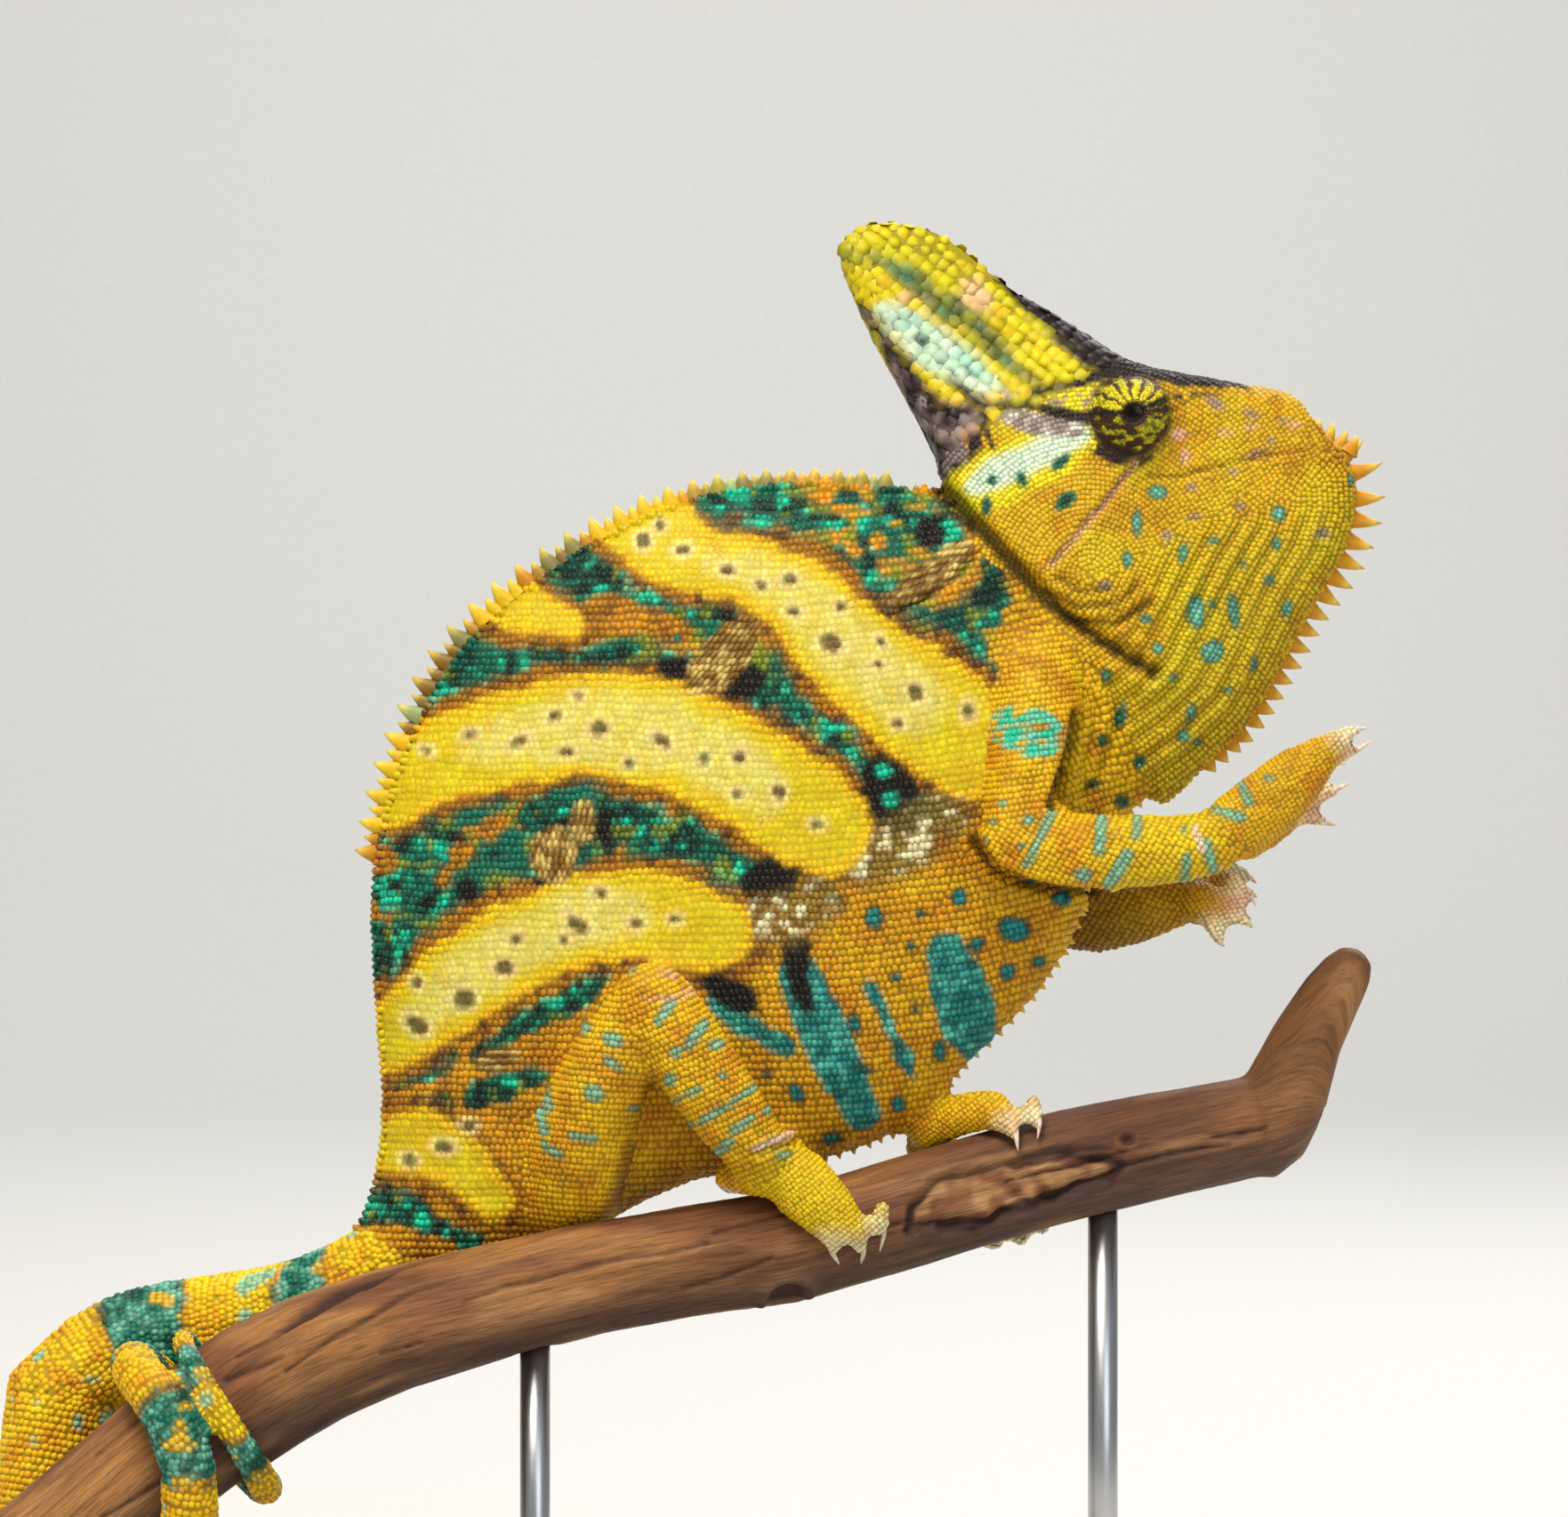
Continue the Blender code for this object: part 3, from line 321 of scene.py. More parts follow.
TAIL_THICK = [(0, 14), (35, 12.9), (75, 12.4), (110, 10.9), (145, 7.9), (180, 5.9),
              (230, 4.7), (280, 3.6), (330, 2.3), (380, 1.2)]


def spline(rows, u):
    """Smooth value of a table at position u, passing through every row."""
    rows = np.asarray(rows, float)
    last = len(rows) - 1
    k = min(max(int(u), 0), last - 1)
    f = u - k
    before = rows[k - 1] if k > 0 else 2 * rows[0] - rows[1]
    after = rows[k + 2] if k + 2 <= last else 2 * rows[last] - rows[last - 1]
    a, b = rows[k], rows[k + 1]
    return (a + 0.5 * f * (b - before) + f * f * (before - 2.5 * a + 2 * b - 0.5 * after)
            + f ** 3 * (1.5 * (a - b) + 0.5 * (after - before)))


branch = np.array([spline(BRANCH, u) for u in np.linspace(0, len(BRANCH) - 1, 400)])
branch_run = unit(np.gradient(branch[:, :3], axis=0))
branch_up = unit(np.array([0, 0, 1]) - branch_run * branch_run[:, 2:3])
branch_near = np.cross(branch_run, branch_up)


def tail_radius(gone):
    """Radius of the tail that far along it."""
    return np.interp(gone, *zip(*TAIL_THICK))


def tail_line():
    """Centre points of the tail, a few mm apart."""
    points = [spline(TAIL_START, u) for u in np.linspace(0, len(TAIL_START) - 1, 41)]
    for degrees in np.arange(-95, -801, -8.0):
        x = np.interp(-degrees, [-r[0] for r in TAIL_TURNS], [r[1] for r in TAIL_TURNS])
        off = tail_radius(np.linalg.norm(np.diff(points, axis=0), axis=1).sum())
        k = int(np.argmin(np.abs(branch[:, 0] - x)))
        turn = math.radians(degrees)
        points.append(branch[k, :3] + (branch_up[k] * math.cos(turn)
                                       + branch_near[k] * math.sin(turn))
                      * (branch[k, 3] + off))
    return np.array(points)


tail_points = tail_line()
tail_gone = gone_along(tail_points)
print("tail", round(tail_gone[-1]), "mm long")


def along_tail(points):
    """How far along the tail's centre line each point lies, in mm."""
    runs = np.diff(tail_points, axis=0)
    best, gone = np.full(len(points), 1e9), np.zeros(len(points))
    for k, run in enumerate(runs):
        t = np.clip((points - tail_points[k]) @ run / (run @ run), -0.02, 1.02)
        away = np.linalg.norm(points - tail_points[k] - t[:, None] * run, axis=1)
        away = away / tail_radius(tail_gone[k])
        nearer = away < best
        best[nearer] = away[nearer]
        gone[nearer] = tail_gone[k] + t[nearer] * np.linalg.norm(run)
    return gone


# %% [markdown]
# ## One skin over all the flesh
# The solids of the body meet at flat cuts. The skin is built as one closed surface round
# all of them: each is grown by a hair so that neighbours overlap, a voxel remesh welds
# them, and relaxing rounds away the facets. Toes are relaxed least, so they keep their
# thickness. Spines are left out here, because they are separate scales of horn.

# %% Find pointed tips, and make balls
VOXEL = 1.15         # mm, fine enough for toes 4 mm thick
GROWN = 0.2          # mm, more than the cuts between solids
EYE = {"right": np.array([75.4, -11.2, 284.4]), "left": np.array([75.4, 11.2, 284.4])}
TURRET = 8.0         # mm, radius of the lid turret


def pointed_corners(points, faces, most=200.0):
    """Corners whose faces turn through fewer degrees than most, with their neighbours."""
    turned = np.zeros(len(points))
    for k in range(3):
        here, left, right = (points[faces[:, (k + s) % 3]] for s in range(3))
        u, v = left - here, right - here
        cosine = (u * v).sum(1) / (np.linalg.norm(u, axis=1) * np.linalg.norm(v, axis=1))
        np.add.at(turned, faces[:, k], np.degrees(np.arccos(np.clip(cosine, -1, 1))))
    found = []
    for tip in np.nonzero(turned < most)[0]:
        round_it = np.unique(faces[(faces == tip).any(axis=1)])
        found.append((tip, round_it[round_it != tip]))
    return found


def ball(centre, radius, rings=10, sides=20):
    """Points and triangles of a sphere."""
    points = [(0, 0, 1)]
    for i in range(1, rings):
        a = math.pi * i / rings
        points += [(math.sin(a) * math.cos(2 * math.pi * j / sides),
                    math.sin(a) * math.sin(2 * math.pi * j / sides), math.cos(a))
                   for j in range(sides)]
    points.append((0, 0, -1))
    faces = [(0, 1 + j, 1 + (j + 1) % sides) for j in range(sides)]
    for i in range(rings - 2):
        for j in range(sides):
            a, b = 1 + i * sides + j, 1 + i * sides + (j + 1) % sides
            faces += [(a, a + sides, b), (b, a + sides, b + sides)]
    low = 1 + (rings - 2) * sides
    faces += [(low + j, len(points) - 1, low + (j + 1) % sides) for j in range(sides)]
    return np.array(points) * radius + centre, np.array(faces)


# %% Pile up the solids of the flesh
spines = []                                  # rows of base, tip and node
all_points, all_faces, owners, grown = [], [], [], []


def pile_up(points, faces):
    """Adds one shape to the pile that is welded."""
    all_faces.append(faces + sum(map(len, grown)))
    grown.append(points)


for number, name in enumerate(FLESH):
    points, faces = cad_shape(name)
    if name in ("trunk", "neck", "head", "throat"):
        for tip, round_it in pointed_corners(points, faces):
            low = [k for k in round_it if abs(points[k, 1]) < 0.5]
            base = points[low].mean(axis=0) if low else points[round_it].mean(axis=0)
            spines.append((base, points[tip].copy(), name))
            points[tip] = base
    all_points.append(points)
    pile_up(points + GROWN * point_normals(points, faces), faces)
    owners.append(np.full(len(faces), number))
flesh_tree = BVHTree.FromPolygons(np.concatenate(all_points).tolist(),
                                  np.concatenate(all_faces).tolist())
owners = np.concatenate(owners)
print("triangles of flesh", len(owners))

# %% Fill the toes and the lids, then weld
# Balls along each claw's root keep the toe full there, so that the claw grows out of flesh.
TOE = [(-4.6, 1.75), (-3.2, 1.75), (-1.9, 1.7), (-0.7, 1.6), (0.5, 1.35)]   # from root, radius
claw_roots = []
for name in CLAWS:
    points = cad_shape(name)[0]
    order = np.argsort([flesh_tree.find_nearest(Vector(q))[3] for q in points])
    root, point = points[order[:6]].mean(axis=0), points[order[-1]]
    aim = (point - root) / np.linalg.norm(point - root)
    claw_roots.append(root)
    for ahead, radius in TOE:
        pile_up(*ball(root + aim * ahead, radius, rings=6, sides=12))
for centre in EYE.values():
    pile_up(*ball(centre, TURRET - 0.1))
skin_points, skin_quads = voxel_shell(np.concatenate(grown), np.concatenate(all_faces), VOXEL)
print("spines", len(spines), "skin faces", len(skin_quads))

# %% [markdown]
# ## Which part of the body each point belongs to
# The nearest solid names it. Relaxing is then stronger where the body is broad.

# %% Name and relax the skin
PARTS = {"flank": ["trunk", "neck"], "face": ["head"], "casque": ["casque"],
         "throat": ["throat"], "turret": TURRETS,
         **{part: [n for n in LIMBS + FEET if n.startswith(start)] for part, start in (
             ("arm", "arm_upper"), ("forearm", "arm_lower"), ("thigh", "thigh"),
             ("shin", "shin"), ("hand", "hand"), ("foot", "foot"))},
         "tail": TAIL}
PART_NAMES = list(PARTS)
ROUNDS = 60                             # of relaxing
SOFTENED = {"flank": 30, "face": 8, "casque": 8, "throat": 16, "turret": 4, "arm": 9,
            "forearm": 8, "thigh": 9, "shin": 8, "hand": 1.6, "foot": 1.6, "tail": 6}
part_of_node = np.array([next(k for k, part in enumerate(PART_NAMES) if n in PARTS[part])
                         for n in FLESH])


def in_part(part, *names):
    """Which part numbers belong to the named parts."""
    return np.isin(part, [PART_NAMES.index(n) for n in names])


def nearest_node(points):
    """Number in FLESH of the solid nearest to each point."""
    return owners[[flesh_tree.find_nearest(Vector(p))[2] for p in points]]


skin_edges = edges_of(skin_quads)
skin_node = nearest_node(skin_points)
skin_part = part_of_node[skin_node]
share = np.array([SOFTENED[n] for n in PART_NAMES])[skin_part] / ROUNDS
thin_tail = in_part(skin_part, "tail") * ramp(along_tail(skin_points), 120, 200)
share = np.clip(share * (1 - 0.85 * thin_tail), 0, 0.6)
root_away = np.linalg.norm(skin_points[:, None] - claw_roots, axis=2).min(axis=1)
share = share * (0.15 + 0.85 * ramp(root_away, 3, 9))
share = relax(share, skin_edges, 4, 0.5)
skin_points = relax(skin_points, skin_edges, ROUNDS, share)


def is_part(*names):
    """1 for skin points of those parts, blended over a few mm at their borders."""
    return relax(in_part(skin_part, *names).astype(float), skin_edges, 6, 0.6)


print({n: int((skin_part == k).sum()) for k, n in enumerate(PART_NAMES)})

# %% [markdown]
# ## Folds of the skin
# The live animal's skin creases where it bends: behind the eye towards the corner of the
# jaw, along the mouth, round the jaw muscle, behind the head, in pleats down the throat
# pouch and inside elbow, knee, wrist and ankle. Each crease is a valley with a low lip
# beside it, pushed into the skin along its normal before any scale is placed.

# %% Crease lines in side view (x, z)
JAW = (66.8, 252.3)                    # centre of the jaw muscle
BEARD = [(112.8, 281.4), (117.4, 278.6), (121.4, 273.8), (122, 264.5), (118.6, 254),
         (112.6, 244.5), (107, 233), (100.5, 221.5), (91, 212.5), (80, 204.5)]
HEAD_SKIN, ELBOW = ("face", "throat"), ("flank", "throat", "arm", "forearm")
# the jaw, mouth, neck and under-jaw creases also get painted shade in paint_head
CREASES = {  # parts, depth, width, points
    "jaw": (HEAD_SKIN, 0.9, 0.9, [(80.6, 278.5), (77.9, 277.2), (72.2, 269.8), (67.8, 264.4),
                                  (63.3, 259.1), (59, 254.2)]),
    "mouth": (HEAD_SKIN, 0.45, 0.7, [(109.5, 277.5), (101, 276), (92, 274), (84, 271.8),
                                     (78.5, 272.4)]),
    "neck": (("face", "throat", "flank"), 1.5, 1.7, [
        (37, 270), (41.5, 265), (47.5, 258.5), (56, 249), (66, 241), (74, 236), (79.5, 233)]),
    "under_jaw_1": (HEAD_SKIN, 0.7, 1.2, [(55, 246.5), (63, 243), (72, 242.6), (79, 247)]),
    "under_jaw_2": (HEAD_SKIN, 0.4, 1.0, [(58, 249), (64, 246), (71.5, 246.2), (76.5, 250)]),
    "under_jaw_3": (HEAD_SKIN, 0.4, 0.9, [(60.5, 251.5), (65, 249), (70.5, 249.5)]),
    "armpit": (ELBOW, 1.7, 1.2, [(64, 224), (63.4, 220), (61.4, 213), (58.9, 206.4)]),
    "elbow": (ELBOW, 1.5, 1.1, [(43.6, 199), (47.3, 193.4), (54.4, 190.4), (61.6, 189),
                                (69, 188.4)]),
    "shoulder": (("flank",), 0.9, 0.9, [(27.4, 244.6), (33, 247.2), (39.6, 251.6),
                                        (44.6, 257)]),
    "ankle": (("foot", "shin"), 0.8, 0.7, [(-0.6, 137.2), (4, 138.8), (8.4, 139.4)]),
    "breast_1": (("flank", "throat"), 0.6, 1.2, [(60, 238), (66, 231), (68.5, 222), (66, 214)]),
    "breast_2": (("flank", "throat"), 0.6, 1.2, [(70, 232), (72.5, 224), (70.5, 215),
                                                 (66, 208)])}


def crease(xz, depth, width, line):
    """Push in mm of one crease: a valley between two lips."""
    away = from_line(xz, line) / width
    return depth * (0.45 * np.exp(-((away - 1.9) / 0.9) ** 2) - np.exp(-away ** 2))


print("creases", len(CREASES))


# %% Press the folds into the skin
COAT = 0.35            # mm that the skin lies inside the solids
WRINKLE, PLEAT = 2.6, 4.1       # mm from one to the next, on the jaw and on the throat
normals = point_normals(skin_points, skin_quads)
xz = skin_points[:, [0, 2]]
push = np.zeros(len(skin_points))
for parts, depth, width, line in CREASES.values():
    push += is_part(*parts) * crease(xz, depth, width, line)
jaw_away = np.linalg.norm(xz - JAW, axis=1)
jaw_turn = np.degrees(np.arctan2(xz[:, 1] - JAW[1], xz[:, 0] - JAW[0]))
jaw_side = ramp(-jaw_turn, -30, 10) * ramp(jaw_turn, -170, -140)
push += 0.9 * np.exp(-(jaw_away / 8.5) ** 2) * is_part("face", "throat")
push += (0.32 * np.cos(2 * math.pi * jaw_away / WRINKLE) * ramp(jaw_away, 5, 7)
         * ramp(-jaw_away, -17, -13) * jaw_side * is_part("face", "throat"))
beard_away = from_line(xz, BEARD)
pleat = np.cos(2 * math.pi * (beard_away + 1.2 * noise(skin_points, 14, 5)) / PLEAT)
push += (0.75 * pleat * ramp(beard_away, 3, 7) * ramp(-beard_away, -36, -30)
         * ramp(-xz[:, 1], -274, -258) * is_part("throat")
         * (0.6 + 0.4 * noise(skin_points, 9, 6)))
valley = np.clip(-push, 0, 1.5)              # kept for the painted shade inside the folds
push += 0.15 * is_part("hand", "foot") - COAT
push += 0.22 * noise(skin_points * (1, 1, 2.2), 7, 7) * is_part("flank", "arm", "thigh")
push += 0.16 * noise(skin_points, 3.2, 8) * is_part("forearm", "shin", "arm", "thigh", "face")
skin_points = skin_points + push[:, None] * normals
print("deepest fold", round(float(-push.min()), 2), "mm")

# %% [markdown]
# ## The opening of the lids
# A chameleon's lids are fused into one cone that leaves only the pupil free. The skin is
# pushed in there as a small round pit with a swollen rim, and the eyeball fills the pit.

# %% Pit in each lid turret
PUPIL = 1.7            # mm, radius of the opening
PIT, SWELL = 2.6, 0.35           # mm, depth of the pit and height of its rim
for side, centre in EYE.items():
    outward = -1.0 if side == "right" else 1.0
    near = ((skin_points[:, 1] - centre[1]) * outward > 3.0) & (skin_points[:, 2] > 270)
    away = np.hypot(skin_points[:, 0] - centre[0], skin_points[:, 2] - centre[2])
    pit = near * (PIT * ramp(-away, -PUPIL - 0.7, -PUPIL + 0.9)
                  - SWELL * np.exp(-((away - PUPIL - 1.1) / 0.8) ** 2))
    skin_points[:, 1] -= outward * pit
normals = point_normals(skin_points, skin_quads)
print("skin box", skin_points.min(0).round(1), skin_points.max(0).round(1))

# %% [markdown]
# ## The colours of the animal
# Measured on a male in full display colour. Yellow and gold come from pigment in
# the skin, the teals from light scattered under it, so they vary from scale to scale.

# %% Palette
LEMON = hexed("#e6d411")
PALE = hexed("#e4dc78")
GOLDEN = hexed("#dfb307")
GOLD = hexed("#cf8c08")
AMBER = hexed("#a66c06")
RUST = hexed("#7e5009")
TEAL = hexed("#00654e")
DEEP = hexed("#01261d")
TURQUOISE = hexed("#0cbd94")
AQUA = hexed("#74bfa6")
BLACK = hexed("#130d05")
BRAID = hexed("#7a5414")
BRAID_LIGHT = hexed("#d8bc68")
CREAM = hexed("#d9d0a2")
MINT = hexed("#cfe6c6")
PLUM = hexed("#2a161a")
MAUVE = hexed("#8d7a76")
PINK = hexed("#d9a58c")
OLIVE = hexed("#6b6a32")
MOSS = hexed("#7d8a1c")
FACE_GOLD = hexed("#cfa50c")
FACE_DEEP = hexed("#c08a0a")
BROWN = hexed("#5a3208")
WHITE = hexed("#e6e0cc")
BELLY_TEAL = hexed("#0b6a66")
BELLY_MINT = hexed("#4fb5a2")
BELLY_SPOT = hexed("#1b807c")
TOE_CREAM = hexed("#e6dbb0")

# %% [markdown]
# ## Markings of the flank
# Three lemon bands with pale centres and rust edges, teal and black between them, golden
# braids of small pale scales, and an orange-gold belly with teal stripes.

# %% Strokes and spots of the flank (x, z in mm, sizes in mm)
BANDS = [
    [(-26, 268, 8.5), (-18.5, 259.8, 8.2), (-12.3, 255.7, 6.4), (-2.1, 253.4, 6.3),
     (8.9, 248.3, 7.5), (16.9, 238.7, 8.8), (26.2, 231.1, 10), (35.5, 224.5, 11),
     (43.1, 216.8, 9.5)],
    [(-77, 209.5, 8.4), (-61.8, 215.6, 8.2), (-51.2, 218.7, 8.8), (-37.1, 222.3, 9.8),
     (-26.4, 222.3, 10.2), (-15.8, 219.6, 10.4), (-6.1, 214.7, 10), (1.9, 209.9, 9.8),
     (9.4, 204.8, 10.2), (14.4, 201.4, 8.6)],
    [(-79, 156, 5.8), (-68.9, 163, 7), (-61.8, 168.3, 8.4), (-53.9, 174.5, 8.8),
     (-44.1, 179.8, 8.5), (-33.5, 183.9, 8.2), (-22.9, 184.6, 8.3), (-14.1, 182.5, 8.6),
     (-7.9, 180.7, 7.2)],
    [(-80, 137, 5), (-67.1, 138.2, 6.4), (-58.3, 133.8, 5), (-53, 127.6, 4)],
    [(-58, 251, 6), (-52.1, 248.3, 5), (-44.1, 245.3, 4.2), (-37.1, 242.6, 2.6)]]
PALE_HEART = [
    [(-8, 254.6, 2), (-2.1, 253.4, 3), (8.9, 248.3, 4.2), (16.9, 238.7, 5.6),
     (26.2, 231.1, 6), (33, 226, 5)],
    [(-58, 217, 2), (-51.2, 218.7, 4.6), (-37.1, 221.5, 6.6), (-26.4, 222, 7),
     (-15.8, 219.6, 7.2), (-6.1, 214.7, 6.6), (1.9, 209.9, 5)],
    [(-68, 163.4, 3), (-61.8, 168.3, 5), (-53.9, 174.5, 5.6), (-44.1, 179.8, 5.4),
     (-33.5, 183.9, 5.2), (-24, 184.6, 4)]]
TEALS = [
    [(-48, 261, 5), (-44.1, 258.2, 4.6), (-35.3, 253.2, 5), (-24.7, 250.6, 3.4),
     (-14.4, 248.3, 2.2)],
    [(-72, 226, 6), (-65.4, 230.2, 6.4), (-54.8, 235.9, 6), (-44.1, 238.2, 4.4),
     (-33.5, 235.9, 4), (-22.9, 234.7, 4), (-14.9, 233.4, 3)],
    [(-14.1, 244.8, 2.6), (-6.1, 244.4, 3.2)],
    [(-1.7, 228.9, 3), (5.4, 227.6, 4.6), (12.5, 224.1, 4.4), (18.7, 219.2, 3.4),
     (24.9, 212.9, 4.5), (26.6, 207.2, 4)],
    [(-9, 269.5, 3.6), (3.6, 264.7, 6.5), (14.2, 260.3, 6), (22.2, 250.6, 5),
     (28.4, 242.6, 4), (39, 240.9, 4), (45.2, 244.4, 3.5)],
    [(14.2, 262, 5), (24, 266.5, 5.5), (33, 263, 4.6), (40, 259.5, 3)],
    [(45.2, 244.4, 3.4), (47.4, 250, 3.2), (46.6, 255.5, 2.4)],
    [(41, 243, 3), (44.2, 238.6, 2.6), (46.8, 232.5, 1.6)],
    [(43.5, 237.3, 2.5), (46.6, 232.5, 1.6)],
    [(-76, 201, 3.6), (-66, 198, 4.6), (-59, 196.5, 3.6)],
    [(-74, 189, 4.4), (-66, 188.6, 5.2), (-57.5, 187.4, 3.4)],
    [(-44, 204.5, 4.4), (-38.5, 203.6, 3.8)],
    [(-52.5, 184.8, 3), (-46.5, 188.8, 4), (-41.5, 191.4, 2.6)],
    [(-78, 176, 6), (-70, 176.5, 6), (-63, 178.5, 4), (-57, 182, 2.4)],
    [(-31.5, 199.6, 4), (-26.4, 204.6, 5), (-15.8, 201, 5.2), (-8, 197.5, 4.8),
     (0, 192.2, 3.5)],
    [(-55.5, 156.5, 2), (-47.5, 161.8, 2.6), (-38, 167, 2.6), (-31, 172, 2.4)],
    [(-74, 151.5, 3), (-67, 153.5, 2.6), (-60.5, 156.2, 2)],
    [(-55.5, 147.8, 2.4), (-49, 150.6, 2.8), (-43, 152, 1.6)],
    [(-75, 142.5, 3), (-69, 143.6, 3), (-63, 145.6, 2)],
    [(-80, 127, 4.5), (-72, 126, 4.4), (-66.5, 122.5, 2.6)],
    [(-62, 121, 2), (-57, 119, 2.6)]]
BELLY_TEALS = [
    [(37.8, 176.6, 4), (40.2, 170, 5.8), (43.2, 162, 5.6), (46.2, 155.6, 3.4)],
    [(8.9, 172.7, 4.2), (13.4, 161.2, 5.2), (17.8, 151.5, 4.6), (21.7, 143.9, 3.2)],
    [(-8, 166.8, 2), (-3, 163, 2.6), (1.5, 160.4, 1.8), (6.3, 158, 2.2)],
    [(23, 170, 1.1), (25.6, 165, 1.2), (27.3, 160, 1.3), (29.6, 155.6, 2.3), (31, 152.4, 1.4)]]
BELLY_SPOTS = [
    (51.8, 181.2, 3.6, 2.7, -15), (40.8, 187.8, 1.6, 1.6, 0), (23.6, 184, 1.7, 2.4, 0),
    (50.5, 172.5, 1.7, 1.7, 0), (57.1, 174.5, 1.5, 1.2, 0), (33, 184.5, 0.9, 0.8, 0),
    (8.1, 148.6, 2.8, 1.6, -60), (15.1, 139.1, 2.6, 1.5, 10), (19.8, 162.3, 1.1, 2.6, 10),
    (22.7, 152.8, 2.4, 0.8, -15), (31, 178, 0.9, 1.1, 0), (28.6, 145.8, 1.4, 1.7, 0),
    (37, 156.6, 1.3, 2.3, 15), (61.6, 187.5, 1.9, 1.6, 0), (44.1, 178.3, 1.7, 1.1, 30),
    (28, 171.7, 0.9, 0.9, 0), (32, 165.3, 1, 1.4, 0), (2.4, 152, 1, 1.6, 0),
    (-57.4, 139, 2.4, 2.2, 0), (-52, 133, 1.4, 2.4, 0), (55, 191, 1.2, 0.9, 0)]
BLACKS = [
    (-16.3, 233.4, 3.6, 2.8, 0), (-6.5, 243.6, 4.6, 1.9, -20), (-1.4, 230.6, 4.8, 3.2, 20),
    (27, 207.8, 5.4, 8.8, 25), (3, 191.4, 5.6, 5, -10), (-4.8, 168.8, 7, 3.4, -35),
    (8.4, 176.4, 3.2, 4.6, 0), (9.8, 168, 1.7, 4.8, 12), (16, 187.6, 1.9, 1.2, 0),
    (-41.8, 190.6, 2.6, 3.2, 0), (-30.5, 201.8, 1.6, 6.6, 8),
    (-52.2, 196.2, 1.9, 1.1, 10), (-38.8, 202.6, 3.4, 1.3, 35), (-60, 199.8, 3, 1.2, -20),
    (-66.5, 186.8, 2.2, 1.2, 0), (-57.6, 189.5, 1.3, 2.4, 0), (34.5, 261.5, 2.4, 4.6, 30)]
ORANGES = [[(-38, 243, 3.4), (-28, 244.5, 3.6), (-15, 240.5, 3)],
           [(-63, 192.6, 2.2), (-56.3, 199.5, 2.8), (-50.5, 203, 2)]]
BRAIDS = [(-6.6, 235.9, 9.8, 4.6, 50), (36.4, 253.2, 10.6, 3.2, 37),
          (-40.4, 196.2, 4.6, 5.6, 0), (-34.6, 203.4, 2.6, 4.6, -10),
          (-51.4, 155.4, 4.6, 2.2, 10)]
OLIVE_SPOTS = [
    (-14.6, 257.5, 1.5, 1, 10), (-5.7, 253.4, 1.4, 1.3, 0), (0.9, 250.4, 1.2, 1, 0),
    (6.7, 251.5, 1.4, 1.3, 0), (7.7, 244.9, 1.3, 0.9, 0), (17.1, 245.8, 1.1, 1.2, 0),
    (15.1, 238.6, 2.2, 1.6, -30), (24.9, 238.7, 1.2, 0.8, -50), (24.5, 234.2, 1.3, 0.8, -40),
    (31.7, 228.7, 1.8, 1.4, -50), (42.4, 225.1, 1.2, 1.7, 0), (28.2, 222.5, 1.1, 1, 0),
    (-19.4, 262.6, 1, 0.9, 0), (-22.7, 259.3, 1.3, 1.5, 0), (-57.4, 220.5, 1.4, 0.9, 15),
    (-47.5, 218.9, 2.2, 1.1, 25), (-40.2, 224, 1.5, 1, 30), (-31.4, 221.6, 2, 1.7, 0),
    (-18.7, 219.2, 2, 1.1, -35), (-37.9, 216.8, 1.4, 1, 0), (-66.5, 217.2, 1.4, 0.9, -20),
    (-10.3, 215.7, 1.3, 1.6, 0), (-3.2, 215.7, 1.1, 1.3, 0), (4.8, 209, 1.4, 1.6, 20),
    (-25.2, 214.5, 1, 0.9, 0), (-3.8, 208.5, 1.2, 1, 0), (12.2, 202.4, 1.2, 0.9, 0),
    (-35.5, 228.1, 1.1, 0.8, 0), (-30.7, 188.7, 1.2, 0.9, -30), (-35.5, 182.3, 2.4, 1.3, -35),
    (-23.6, 182.9, 1.4, 1.1, 0), (-16, 183.5, 1.2, 1, 0), (-50.1, 173.8, 2.1, 1.5, 0),
    (-58.3, 167.2, 2.4, 2, 0), (-68, 161.9, 2.5, 1.6, -30), (-68, 170.6, 1.2, 1.2, 0),
    (-48, 179.5, 1.2, 1, 0), (-38.5, 179.5, 1, 0.9, 0), (-62.7, 137.7, 1.9, 1.3, 0),
    (-69.6, 134.9, 1.7, 1.3, 0), (-57.4, 142, 1.3, 1, 0)]
BEADS = [(25.5, 213, 1.6, 1.4, 0), (26.8, 207.4, 1.6, 1.4, 0)]
CREAM_ZONES = [[(22, 195, 4), (31, 199.5, 4.4), (40, 206, 3.4)],
               [(0.5, 183, 3), (6.4, 184, 4.4), (12.4, 187, 3.4)],
               [(44, 212, 2.6), (52, 215.5, 2)]]
NECK_FOLD_SHADOW = [(37, 270, 1.6), (41.5, 265, 2), (47.5, 258.5, 1.7), (56, 249, 1), (66, 241, 0.7),
             (74, 236, 0.5)]
print("bands", len(BANDS), "teal strokes", len(TEALS), "spots", len(OLIVE_SPOTS))


